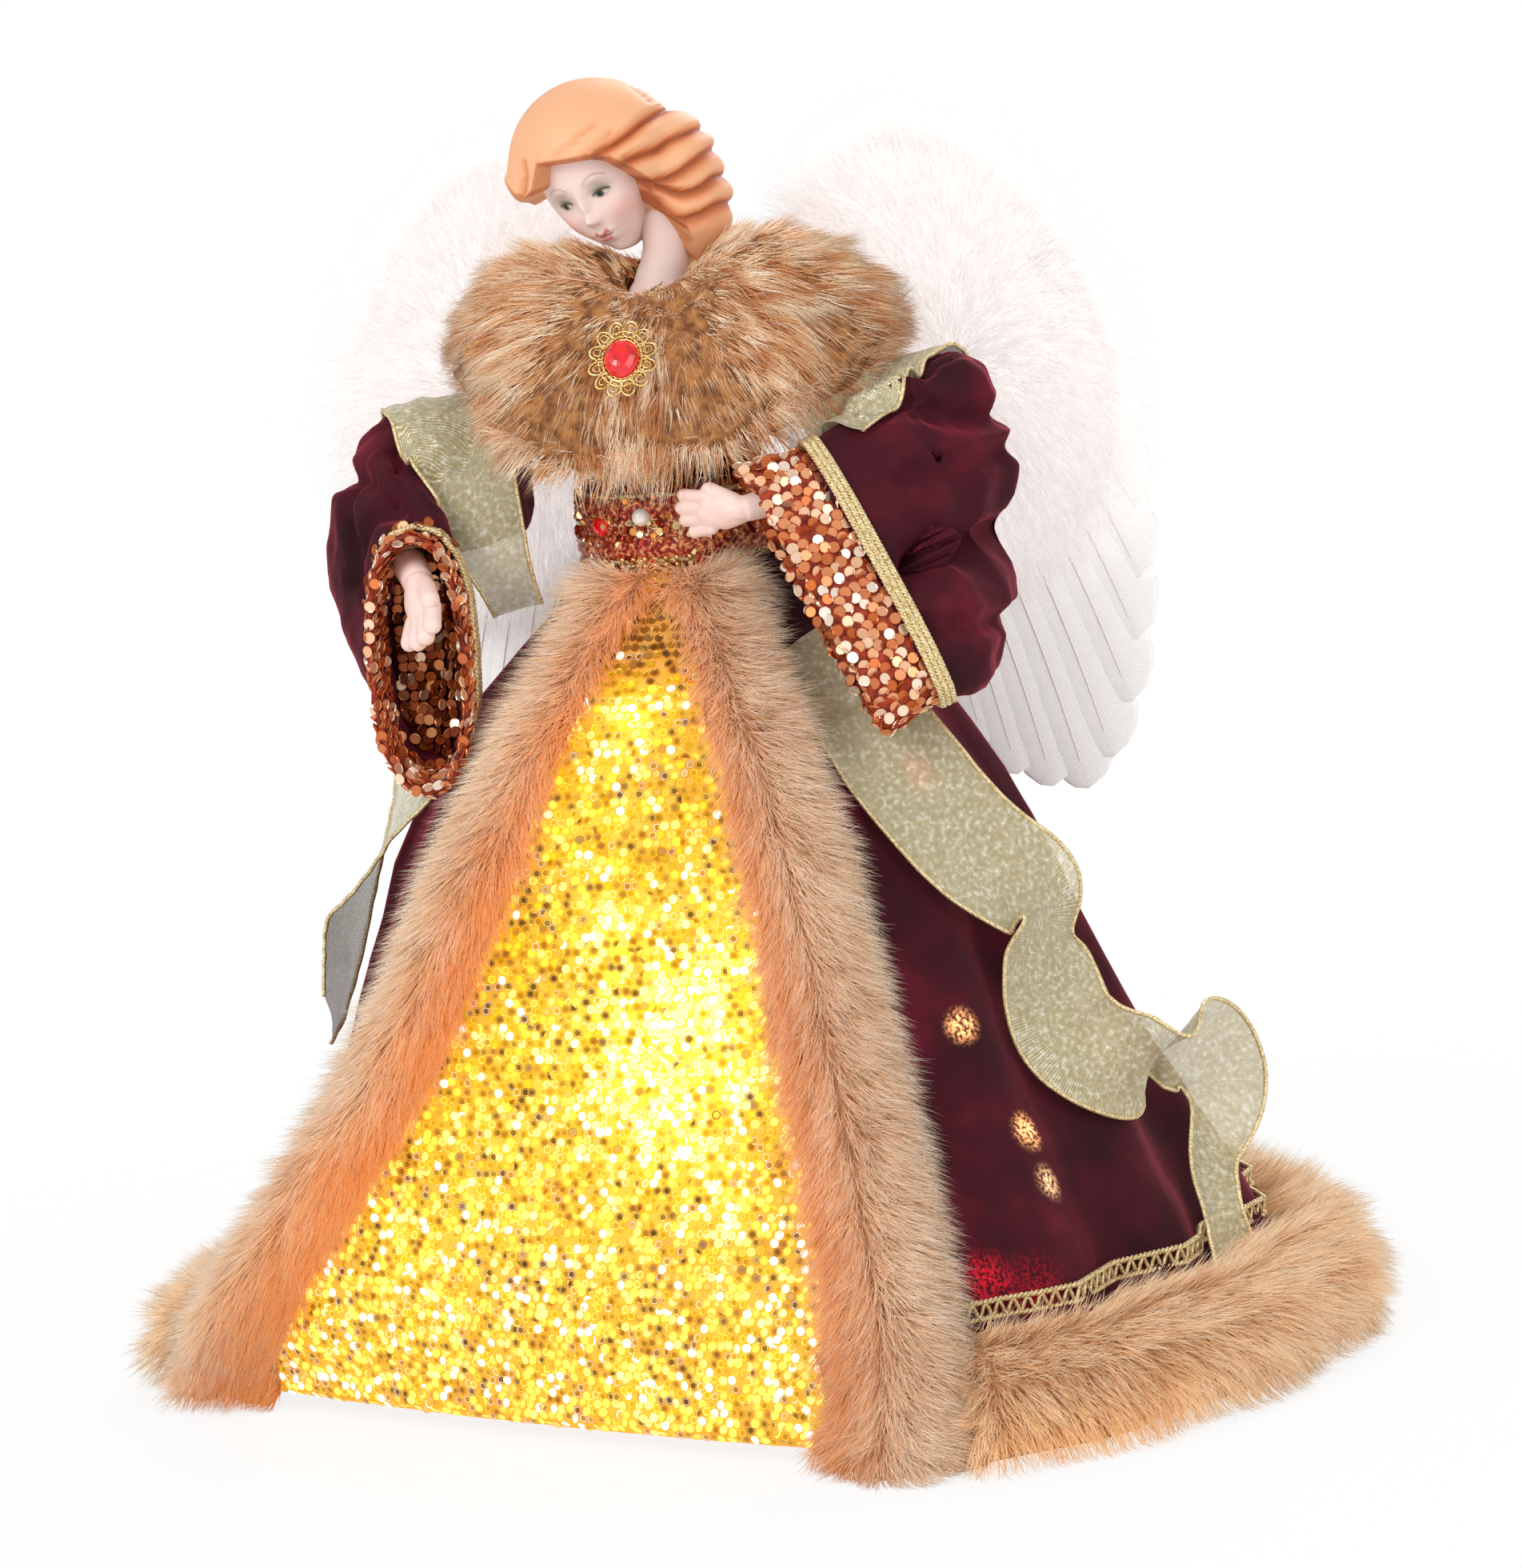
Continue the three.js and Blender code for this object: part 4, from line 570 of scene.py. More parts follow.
def on_skirt(angle, height):
    """A point on the outside of the skirt, at an angle from the front that turns towards +X."""
    out = outward(angle)
    start = out * OUTSIDE + Vector((0, 0, height))
    hit = ROBE_TREE.ray_cast(start, -out)[0]
    return PANEL_TREE.ray_cast(start, -out)[0] if hit is None else hit


# Where the lamps show through the velvet: angle in degrees, height, radius of the glow, colour, strength.
VELVET_GLOWS = [
    (63, 0.150, 0.0050, "#ff2a3a", 1.5), (50, 0.093, 0.0030, "#ffb070", 3.0),
    (54, 0.067, 0.0034, "#ffb070", 3.2), (54, 0.055, 0.0032, "#ffc890", 2.0),
    (41, 0.038, 0.0050, "#ff1a2c", 0.7), (35, 0.040, 0.0030, "#ff4848", 0.9),
    (46, 0.035, 0.0060, "#c00a22", 0.5),
]


def dressed(name, node, finish, body, fineness=2, wave=0.0, wave_size=0.02, seed=0.0):
    """A soft piece from its CAD solid: a finer, rounder copy with shallow waves in the cloth."""
    bm = finer(merged_copy(node), fineness)
    mesh = mesh_of(bm, name)
    place = points_of(mesh)
    normals = normals_of(mesh)
    if wave:
        place = place + normals * (wave * ripple(place, wave_size, seed))[:, None]
        place[:, 2] = np.maximum(place[:, 2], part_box(node)[0].z)
        set_points(mesh, place)
    return piece(name, mesh, finish, body, [node])


def robe(velvet):
    dressed("velvet_robe", "robe", velvet, "figure", 2, 0.8 * MM, 14 * MM, 3.0)


# Sequin panel

SEQUIN_PITCH = 2.3 * MM
SCROLL_PITCH = 23 * MM
SCROLL_TURN = 5.2 * MM
SCROLL_LINE = 1.1 * MM
# Where the lamps behind show most: place across, height, reach, strength.
LAMP_SPOTS = [
    (-0.003, 0.172, 0.009, 1.4), (-0.010, 0.150, 0.016, 0.7), (-0.008, 0.123, 0.008, 1.5),
    (0.022, 0.128, 0.014, 0.7), (0.014, 0.106, 0.009, 1.6), (0.016, 0.098, 0.022, 0.8),
    (-0.010, 0.098, 0.026, 0.9), (0.008, 0.082, 0.020, 0.7), (-0.038, 0.082, 0.016, 0.5),
    (0.020, 0.057, 0.007, 1.3), (-0.050, 0.058, 0.018, 0.5), (0.003, 0.066, 0.018, 0.5),
    (-0.072, 0.046, 0.010, 0.7), (-0.020, 0.040, 0.020, 0.4), (0.028, 0.026, 0.020, 0.4),
    (-0.060, 0.024, 0.022, 0.4), (-0.092, 0.018, 0.018, 0.4), (-0.004, 0.014, 0.018, 0.4),
]


def lamp_light(place):
    """How brightly the lamps light each place on the panel, from 0 to about 2."""
    light = 0.98 + 0.04 * step(0.03, 0.10, place[:, 2])
    for x, z, radius, strength in LAMP_SPOTS:
        away = np.hypot(place[:, 0] - x, place[:, 2] - z)
        light = light + 0.55 * strength * np.exp(-(away / radius) ** 2)
    return light * (0.22 + 0.78 * step(0.190, 0.172, place[:, 2]))


def cup_shape(sides=8, dish=0.3):
    """A cup sequin of unit radius: a thin dished disc, face up along Z."""
    bm = bmesh.new()
    bmesh.ops.create_cone(bm, cap_ends=True, segments=sides, radius1=0.96, radius2=1, depth=0.12)
    top = max(bm.faces, key=lambda face: face.calc_center_median().z)
    bmesh.ops.inset_individual(bm, faces=[top], thickness=0.42)
    bmesh.ops.translate(bm, verts=top.verts, vec=(0, 0, -dish * 0.5))
    bmesh.ops.poke(bm, faces=[top])
    bmesh.ops.triangulate(bm, faces=bm.faces)
    return mesh_of(bm, "cup")


def laid(shape, places, normals, radii, tilts, spins):
    """Copies of a flat shape laid on a surface, each turned by its spin and tipped by its tilt."""
    unit_points = points_of(shape)
    made = copies(shape, len(places))
    facing = unit(normals + tilts)
    right = unit(np.cross(facing, [0.0, 0.0, 1.0]) + 1e-9)
    over = np.cross(facing, right)
    cos, sin = np.cos(spins)[:, None], np.sin(spins)[:, None]
    right, over = cos * right + sin * over, cos * over - sin * right
    size = radii[:, None, None]
    place = places[:, None] + size * (unit_points[:, 0, None] * right[:, None]
                                      + unit_points[:, 1, None] * over[:, None]
                                      + unit_points[:, 2, None] * facing[:, None])
    set_points(made, place.reshape(-1, 3))
    return made


def panel_seats(rng, net):
    """Places in close-packed rows on the outside of the panel, with the normal at each."""
    bm = bmesh.new()
    bm.from_mesh(net.data)
    net_tree = BVHTree.FromBMesh(bm)
    bm.free()
    low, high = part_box("sequin_panel")
    places, normals = [], []
    row = 0
    z = low.z + SEQUIN_PITCH / 2
    while z < high.z - SEQUIN_PITCH:
        x = low.x + (row % 2) * SEQUIN_PITCH / 2
        while x < high.x:
            start = Vector((x, -0.3, z))
            hit, normal, _, _ = net_tree.ray_cast(start, Vector((0, 1, 0)))
            if hit is not None and normal.y < -0.3:
                places.append(hit[:])
                normals.append(normal[:])
            x += SEQUIN_PITCH
        z += SEQUIN_PITCH * 0.84
        row += 1
    places = np.array(places)
    jitter = rng.normal(0, 0.09 * SEQUIN_PITCH, places.shape)
    return places + jitter, np.array(normals)


def scrolls(places, rng):
    """How near each place is to the line of a sewn scroll, from 0 to 1."""
    near = np.zeros(len(places))
    row = 0
    z = 0.0
    while z < 0.2:
        x = -0.14 + (row % 2) * SCROLL_PITCH / 2
        while x < 0.08:
            centre = np.array([x, z]) + rng.normal(0, 0.16 * SCROLL_PITCH, 2)
            hand = rng.choice([-1, 1])
            start = rng.uniform(0, math.tau)
            across = places[:, 0] - centre[0]
            up = places[:, 2] - centre[1]
            away = np.hypot(across, up)
            turn = (hand * np.arctan2(up, across) + start) / math.tau
            off = np.abs((away / SCROLL_TURN - turn + 0.5) % 1 - 0.5) * SCROLL_TURN
            line = step(SCROLL_LINE, 0.4 * SCROLL_LINE, off)
            near = np.maximum(near, line * step(0.5 * SCROLL_PITCH, 0.42 * SCROLL_PITCH, away))
            x += SCROLL_PITCH
        z += SCROLL_PITCH * 0.8
        row += 1
    return near


def sequin_panel(net, sequin):
    rng = np.random.default_rng(11)
    backing = dressed("sequin_net", "sequin_panel", net, "figure", 2)
    light = lamp_light(points_of(backing.data))
    own = blend_tones(np.clip(light / 2, 0, 1), (0, "#4a1c04"), (0.3, "#a85608"), (0.6, "#e09808"),
                      (1, "#ffd018"))
    paint(backing.data, own * (0.25 + 0.45 * light[:, None]), "lamp_glow")
    places, normals = panel_seats(rng, backing)
    shape = cup_shape()
    count = len(places)
    tilts = rng.normal(0, 0.16, (count, 3))
    mesh = laid(shape, places + normals * 0.35 * MM, normals, np.full(count, SEQUIN_PITCH * 0.5), tilts,
                rng.uniform(0, math.tau, count))
    light = lamp_light(places)
    line = scrolls(places, rng)
    mottle = 1 + 0.5 * ripple(places, 5 * MM, 3.0) + 0.16 * ripple(places, 14 * MM, 6.0)
    own = np.clip(light * mottle * rng.uniform(0.7, 1.3, count), 0.03, 2.4)
    heart = blend_tones(own / 2, (0, "#4a2204"), (0.1, "#b06a10"), (0.24, "#f0aa18"), (0.45, "#ffe010"),
                        (0.75, "#fff04c"), (1, "#fffbe0")) * (0.35 + 0.62 * own[:, None])
    rim = blend_tones(own / 2, (0, "#2a0e02"), (0.15, "#7a3a06"), (0.3, "#b86c08"), (0.5, "#d89408"),
                      (0.8, "#ffc810"), (1, "#fff090")) * (0.25 + 0.5 * own[:, None])
    rim = rim * (1 - 0.8 * line * step(1.9, 1.2, own))[:, None]
    heart = heart * (1 - 0.15 * line)[:, None] + rgb("#fff4d0") * (0.2 * line * own)[:, None]
    heart = heart + rgb("#ffe8b0") * (0.22 * step(0.10, 0.02, places[:, 2]))[:, None]
    low = step(0.10, 0.02, places[:, 2])
    glint = (rng.random(count) < 0.07 + 0.08 * line + 0.12 * low)[:, None]
    heart = np.where(glint, rgb("#fffdf0") * 1.3, heart)
    # Seen against the lamps, many cups show as a bright ring round a darker heart.
    ringed = (rng.random(count) < 0.3 + 0.25 * low)[:, None]
    heart, rim = np.where(ringed, rim * 0.8, heart), np.where(ringed, heart * 1.1, rim)
    middle = np.tile(step(0.85, 0.45, np.hypot(*points_of(shape).T[:2])), count)[:, None]
    paint(mesh, each(heart, shape) * middle + each(rim, shape) * (1 - middle), "lamp_glow")
    base = blend_tones(rng.random(count), (0, "#8a5210"), (0.6, "#b87c20"), (1, "#e0b050"))
    paint(mesh, each(base, shape) * (0.35 + 0.65 * middle))
    piece("gold_sequins", mesh, sequin, "figure", [], smooth=False)


# Imitation fur

def comb(scatter, rng, way, lift, length, spread, clumps, hold):
    """Directions and lengths of fur: it lies along way, stands up by lift, and gathers into tufts."""
    count = len(scatter.place)
    along = way - (way * scatter.normal).sum(1, keepdims=True) * scatter.normal
    ways = unit(unit(along) + scatter.normal * lift + rng.normal(0, spread, (count, 3)))
    reach = length * rng.uniform(0.65, 1.15, count)
    leaders = rng.choice(count, clumps, replace=False)
    tree = KDTree(clumps)
    for i, k in enumerate(leaders):
        tree.insert(scatter.place[k], i)
    tree.balance()
    nearest = leaders[[tree.find(p)[1] for p in scatter.place.tolist()]]
    tips = scatter.place[nearest] + ways[nearest] * reach[nearest, None]
    own_tips = scatter.place + ways * reach[:, None]
    bends = (tips - own_tips) * hold * rng.uniform(0.5, 1, (count, 1))
    return ways, reach, bends


FLOOR_GAP = 0.2 * MM
# Share of its own colour that a strand gives back from the light scattered through the pile.
FUR_SCATTER = 0.2
# How many strands each layer of fur has, and how many a wing's down has.
CAPE_STRANDS = 17000
FRONT_STRANDS = 13000
HEM_STRANDS = 17000
DOWN_STRANDS = 17000


def above_floor(mesh):
    place = points_of(mesh)
    place[:, 2] = np.maximum(place[:, 2], FLOOR_GAP)
    set_points(mesh, place)


def fur_core(name, node, backing, inset, body="figure", reshape=None):
    bm = finer(merged_copy(node), 1)
    bm.normal_update()
    for vertex in bm.verts:
        vertex.co -= vertex.normal * inset
    if reshape is not None:
        for vertex, moved in zip(bm.verts, reshape(np.array([v.co[:] for v in bm.verts])).tolist()):
            vertex.co = moved
    for vertex in bm.verts:
        vertex.co.z = max(vertex.co.z, FLOOR_GAP)
    core = bm.copy()
    piece(name, bm, backing, body, [node])
    return core


def fur_piece(name, scatter, rng, finish, way, colours, lift=0.5, length=0.014, spread=0.16,
              clumps=500, hold=0.45, radius=0.16 * MM, body="figure", glow=None):
    ways, reach, bends = comb(scatter, rng, way, lift, length, spread, clumps, hold)
    shape = strand_shape()
    count = len(scatter.place)
    mesh, along = planted(shape, scatter.place, ways, reach, radius * rng.uniform(0.7, 1.3, count), bends)
    above_floor(mesh)
    # Each strand blends from its root colour to its tip colour; the darker roots are partly painted shade
    # deep in the pile.
    root_colour, tip_colour = colours
    share = step(0.15, 0.95, along)[:, None]
    own = each(root_colour, shape) * (1 - share) + each(tip_colour, shape) * share
    paint(mesh, own)
    lit = 0 if glow is None else glow(points_of(mesh))
    paint(mesh, own * FUR_SCATTER + lit, "lamp_glow")
    return piece(name, mesh, finish, body)


CAPE_NECK = np.array([2.0, -4.0, 272.0]) * MM
CAPE_INSET = 4.5 * MM
# Middle of the fur that lies flat under the brooch, a little above the brooch's own middle.
BROOCH = (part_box("brooch_setting")[0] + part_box("brooch_setting")[1]) / 2 + Vector((0, 0, 4)) * MM


def lowered_collar(place):
    """The cape's opening in front, where the collar lies lower so that the chin and neck show."""
    away = np.hypot(place[:, 0], place[:, 1])
    front = step(0.1, 0.9, -place[:, 1] / np.maximum(away, MM))
    place = place - np.array([0, 0, 5.5 * MM]) * (step(0.034, 0.012, away) * front)[:, None]
    return place + np.array([5 * MM, 0, 0]) * step(-0.030, -0.056, place[:, 0])[:, None]


def fur_cape(fur, backing):
    rng = np.random.default_rng(21)
    core = fur_core("cape_backing", "fur_cape", backing, CAPE_INSET, reshape=lowered_collar)

    def outer(middle, facing):
        away = middle - CAPE_NECK
        return (facing * unit(away)).sum(1) > -0.2

    count = CAPE_STRANDS
    for part in range(2):
        scatter = Scatter(core, count, rng, outer)
        away = scatter.place - CAPE_NECK
        bearing = unit(away)
        from_neck = np.linalg.norm(away, axis=1)
        side = np.abs(scatter.place[:, 0] - 2 * MM) / 0.058
        # Streaks run outwards from the neck, so their noise is fine across and long along the hair.
        streak = ripple(bearing * 0.03 + away * 0.12, 2.6 * MM, 4.0)
        broad = ripple(bearing * 0.03 + away * 0.2, 8 * MM, 9.0)
        warm = np.clip(0.46 + 1.25 * streak + 0.4 * broad + rng.normal(0, 0.16, count), 0, 1)
        root = blend_tones(warm, (0, "#b4642a"), (0.35, "#dca066"), (1, "#fbe0ba"))
        tip = blend_tones(np.clip(warm + rng.normal(0, 0.2, count), 0, 1), (0, "#c47c3e"), (0.35, "#eecb9e"),
                          (1, "#fff6e6"))
        dark = step(0.62, 1.0, side + 0.35 * broad + 0.3 * streak + rng.normal(0, 0.12, count))
        tip = tip * (1 - 0.85 * dark[:, None]) + rgb("#5e3a20") * 0.85 * dark[:, None]
        # A few glitter fibres, painted white and brighter than white: their own colour with a painted glint.
        glitter_and_glint = (rng.random(count) < 0.012)[:, None]
        tip = np.where(glitter_and_glint, rgb("#ffffff") * 1.6, tip)
        length = (0.009 + 0.004 * step(0.012, 0.045, from_neck)) * rng.uniform(0.9, 1.1, count)
        length = length * (1 - 0.3 * step(-0.03, -0.05, scatter.place[:, 0]))
        across, up = (scatter.place[:, 0] - BROOCH.x) / 0.012, (scatter.place[:, 2] - BROOCH.z) / 0.014
        length = length * (1 - 0.78 * np.exp(-across ** 2 - up ** 2) * (scatter.place[:, 1] < -0.02))
        fur_piece(f"cape_fur_{part + 1}", scatter, rng, fur, away * [1, 1, 0.9], (root, tip), lift=0.34,
                  length=length, clumps=620, hold=0.55, radius=0.15 * MM)
    core.free()


def edge_fur(name, node, fur, backing, way_of, count, colours_of, glow_of, lift, seed, length=0.012):
    """Fur on a band: an inset core and two layers of strands."""
    rng = np.random.default_rng(seed)
    core = fur_core(f"{name}_backing", node, backing, 2.5 * MM)
    low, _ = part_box(node)

    def outer(middle, facing):
        out = unit(middle * [1, 1, 0])
        return ((facing * out).sum(1) > -0.25) & ((facing[:, 2] > -0.6) | (middle[:, 2] > low.z + 0.01))

    for part in range(2):
        scatter = Scatter(core, count, rng, outer)
        way = way_of(scatter)
        colours = colours_of(scatter, rng)
        fur_piece(f"{name}_fur_{part + 1}", scatter, rng, fur, way, colours, lift=lift,
                  length=np.full(count, length), spread=0.26, clumps=count // 30, hold=0.4,
                  radius=0.14 * MM, glow=glow_of)
    core.free()


def front_furs(fur, backing):
    for side, sign in SIDES.items():
        node = f"front_fur_{side}"
        low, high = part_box(node)
        fine = finer(merged_copy(node), 2, 0.0)
        band = np.array([v.co[:] for v in fine.verts])
        fine.free()
        levels = np.linspace(low.z + 2 * MM, high.z - 2 * MM, 24)
        turns = np.arctan2(band[:, 0], -band[:, 1])
        middle_by_height = [turns[np.abs(band[:, 2] - z) < 9 * MM].mean() for z in levels]

        def offset_of(place):
            turn = np.arctan2(place[:, 0], -place[:, 1])
            middle = np.interp(place[:, 2], levels, middle_by_height)
            return sign * (turn - middle) * np.hypot(place[:, 0], place[:, 1])

        def way_of(scatter):
            out = unit(scatter.place * [1, 1, 0])
            around = np.stack([-out[:, 1], out[:, 0], np.zeros(len(out))], 1) * sign
            lean = 0.5 * np.clip(offset_of(scatter.place) / 0.014, -1, 1)
            return around * (0.3 + lean)[:, None] + np.array([0, 0, -0.45]) + out * 0.2

        dark_share, lit_share, glow_share = (1.0, 0.6, 0.08) if side == "left" else (0.5, 0.8, 0.13)

        def colours_of(scatter, rng):
            count = len(scatter.place)
            outward = step(0.002, 0.016, offset_of(scatter.place) + rng.normal(0, 0.003, count))
            patch = ripple(scatter.place, 12 * MM, 8.0)
            root = blend_tones(np.clip(0.5 + 0.6 * patch, 0, 1), (0, "#d09a6c"), (0.5, "#e6be96"),
                               (1, "#f8dfc2"))
            tip = blend_tones(rng.random(count), (0, "#dfb68e"), (0.5, "#f4dfc6"), (1, "#fff6ec"))
            dark = outward * step(0.15, 0.6, rng.random(count) + 0.35 * patch) * dark_share
            tip = tip * (1 - dark[:, None]) + rgb("#4c382c") * dark[:, None]
            root = root * (1 - 0.45 * dark[:, None])
            # Painted light: strands on the inner edge, beside the lamp-lit panel, are painted orange, more on
            # the right band.
            lit = step(0.001, -0.012, offset_of(scatter.place) + rng.normal(0, 0.002, count))
            lit = (lit * lit_share)[:, None]
            orange = rgb("#e08a30")
            return root * (1 - lit) + orange * lit, tip * (1 - lit) + orange * 1.15 * lit

        def glow_of(place):
            inner = step(0.002, -0.013, offset_of(place)) * step(0.0, 0.06, place[:, 2])
            return rgb("#ff9020") * (glow_share * inner)[:, None]

        edge_fur(f"front_{side}", node, fur, backing, way_of, FRONT_STRANDS, colours_of, glow_of, 0.8,
                 31 if side == "left" else 32)


def hem_fur(fur, backing):
    def way_of(scatter):
        out = unit(scatter.place * [1, 1, 0])
        return out * 0.8 + np.array([0, 0, -0.5])

    def colours_of(scatter, rng):
        count = len(scatter.place)
        patch = ripple(scatter.place, 14 * MM, 2.0)
        low = step(0.02, 0.0, scatter.place[:, 2])
        root = blend_tones(np.clip(0.5 + 0.6 * patch, 0, 1), (0, "#d59a62"), (0.5, "#ecc08e"), (1, "#fbe0bc"))
        tip = blend_tones(np.clip(rng.random(count) + 0.2 * low, 0, 1), (0, "#e2b280"), (0.5, "#f8debc"),
                          (1, "#fff4e0"))
        dark = step(0.82, 0.95, rng.random(count) + 0.12 * patch)
        tip = tip * (1 - dark[:, None]) + rgb("#50301c") * dark[:, None]
        return root, tip

    def glow_of(place):
        front = step(-0.05, -0.11, place[:, 1]) * step(0.02, 0.0, place[:, 2])
        return rgb("#ffb040") * (0.16 * front)[:, None]

    edge_fur("hem", "hem_fur", fur, backing, way_of, HEM_STRANDS, colours_of, glow_of, 0.95, 41, 0.013)


# Porcelain head. Its own frame has the face towards -Y, and its sizes are half widths in metres.
HEAD_CENTRE = Vector((-13, -4, 304)) * MM
HEAD_TILT = math.radians(-16.5)
HEAD_TURN = math.radians(-11.5)
HEAD_NOD = math.radians(15.5)
FACE_HALF = np.array([13.9, 15.8, 20.5]) * MM
FACE_DROP = 2.4 * MM
HAIR_RADIUS = 21.2 * MM


def head_frame():
    tilted = Matrix.Rotation(HEAD_TILT, 4, "Y") @ Matrix.Rotation(HEAD_TURN, 4, "Z")
    return Matrix.Translation(HEAD_CENTRE) @ (tilted @ Matrix.Rotation(HEAD_NOD, 4, "X"))


def ball(columns, rows):
    bm = bmesh.new()
    bmesh.ops.create_uvsphere(bm, u_segments=columns, v_segments=rows, radius=1)
    mesh = mesh_of(bm, "ball")
    return mesh, points_of(mesh).astype(float)


def hill(u, v, at, width):
    """A smooth hill of height 1 on the face: centre and widths as shares of the face's half sizes."""
    return np.exp(-((u - at[0]) / width[0]) ** 2 - ((v - at[1]) / width[1]) ** 2)


# Relief of the face: centre, widths and height in millimetres towards the viewer.
FACE_RELIEF = [
    ((0, 0.34), (0.55, 0.3), 0.7), ((0, -0.06), (0.1, 0.14), 0.8), ((0, -0.2), (0.085, 0.12), 1.9),
    ((0, -0.35), (0.11, 0.07), 3.1), ((0.1, -0.38), (0.06, 0.045), 0.9), ((-0.1, -0.38), (0.06, 0.045), 0.9),
    ((0, -0.6), (0.34, 0.17), 1.6), ((0, -0.565), (0.17, 0.03), 0.7), ((0, -0.675), (0.13, 0.038), 0.9),
    ((0, -0.62), (0.2, 0.016), -0.6), ((0, -0.76), (0.16, 0.035), -0.5), ((0, -0.9), (0.22, 0.1), 2.2),
    ((0.5, -0.4), (0.24, 0.2), 1.2), ((-0.5, -0.4), (0.24, 0.2), 1.2),
]
EYE_SHARE = (0.37, -0.09)


def face_points(d):
    down = np.maximum(0, -d[:, 2])
    half = FACE_HALF
    place = d * half
    place[:, 0] *= 1 - 0.36 * down ** 1.7
    place[:, 1] *= 1 - 0.1 * down
    u, v = place[:, 0] / half[0], d[:, 2]
    front = step(0.0, -0.5, d[:, 1])
    push = np.zeros(len(d))
    for at, width, height in FACE_RELIEF:
        push += height * hill(u, v, at, width)
    for side in (1, -1):
        eye = (side * EYE_SHARE[0], EYE_SHARE[1])
        push += -1.9 * hill(u, v, eye, (0.24, 0.16)) + 1.1 * hill(u, v, eye, (0.15, 0.085))
        push += 0.35 * hill(u, v, (eye[0], eye[1] + 0.075), (0.17, 0.022))
        push += 0.45 * hill(u, v, (eye[0] * 1.02, eye[1] + 0.2), (0.22, 0.05))
    place[:, 1] -= push * front * MM
    place[:, 2] -= FACE_DROP
    return place, u, v, front


def mixed(colours, code, share):
    share = np.clip(share, 0, 1)[:, None]
    return colours * (1 - share) + rgb(code) * share


def arc_line(u, v, centre, radius, height, thick, ends):
    """1 on a thin arch over a centre: radius is its half width, height its rise, thick its weight."""
    across = (u - centre[0]) / radius
    line = centre[1] + height * (1 - across ** 2)
    inside = step(ends, ends - 0.15, np.abs(across))
    return np.exp(-((v - line) / thick) ** 2) * inside


def face_paint(u, v, front):
    colours = np.tile(rgb("#eed9d3"), (len(u), 1))
    for side in (1, -1):
        eye = (side * EYE_SHARE[0], EYE_SHARE[1])
        colours = mixed(colours, "#e7a79c", 0.5 * hill(u, v, (side * 0.52, -0.4), (0.26, 0.18)) * front)
        colours = mixed(colours, "#8d846f", 0.9 * hill(u, v, (eye[0], eye[1] + 0.065), (0.20, 0.085)) * front)
        colours = mixed(colours, "#e6dcd8", 0.45 * hill(u, v, eye, (0.10, 0.026)) ** 0.6 * front)
        gaze = (eye[0] - 0.03, eye[1] - 0.014)
        round_eye = np.hypot((u - gaze[0]) / 0.068, (v - gaze[1]) / 0.044)
        colours = mixed(colours, "#46503f", step(1.15, 0.85, round_eye) * front)
        colours = mixed(colours, "#15120f", step(0.6, 0.4, round_eye) * front)
        lid = arc_line(u, v, (eye[0], eye[1] - 0.004), 0.165, 0.034, 0.022, 1.05)
        colours = mixed(colours, "#241c18", 0.95 * lid * front)
        under = arc_line(u, v, (eye[0], eye[1] - 0.03), 0.13, -0.022, 0.008, 0.95)
        colours = mixed(colours, "#6d5048", 0.6 * under * front)
        brow = arc_line(u, v, (eye[0] * 1.02, eye[1] + 0.17), 0.23, 0.075, 0.014, 1.0)
        colours = mixed(colours, "#b0705c", 0.55 * brow * front)
        colours = mixed(colours, "#d98d7e", 0.6 * hill(u, v, (side * 0.06, -0.44), (0.035, 0.018)) * front)
    bow = np.abs(u) / 0.17
    upper = step(1, 0.75, bow) * np.exp(-((v + 0.578 + 0.026 * np.cos(bow * 5)) / 0.03) ** 2)
    lower = step(1, 0.6, np.abs(u) / 0.135) * np.exp(-((v + 0.668) / 0.036) ** 2)
    colours = mixed(colours, "#c9463f", 0.85 * np.maximum(upper, lower) * front)
    return mixed(colours, "#7c1f1c", 0.8 * step(1, 0.7, bow) * np.exp(-((v + 0.622) / 0.011) ** 2) * front)


# The hair is laid out as the camera sees it: across and up in millimetres from the head's centre.
HAIR_ACROSS, HAIR_UP, HAIR_OUT = (np.array(head_frame().to_3x3().inverted() @ axis) * sign
                                  for axis, sign in zip(view_axes()[1:], (1, 1, -1)))
# Where the hair ends below, in front and behind: [across, up].
HAIRLINE = [(-22, -4.5), (-18.6, -8.6), (-16.4, -10.0), (-14.6, -8.6), (-13.4, -2.4), (-6, -1.7), (0, -0.7),
            (4.6, -1.2), (9.7, -3.6), (14.8, -6.6), (16.3, -11.2), (18.5, -14.5), (23, -17), (24.5, -24),
            (40, -24)]
NAPE_LINE = [(-22, -9.0), (-15, -9.7), (-12, -7.0), (2, -12.0), (14, -19.0), (20, -24.0), (40, -24.0)]
# Full masses of hair beside the cap: centre across, up and out, and radius.
HAIR_MASSES = [((15.5, -1.5, -2.0), 15.5), ((19.5, -9.0, -4.0), 14.5), ((19.0, -14.5, -7.0), 14.0),
               ((-13.2, -4.5, 3.0), 8.0)]
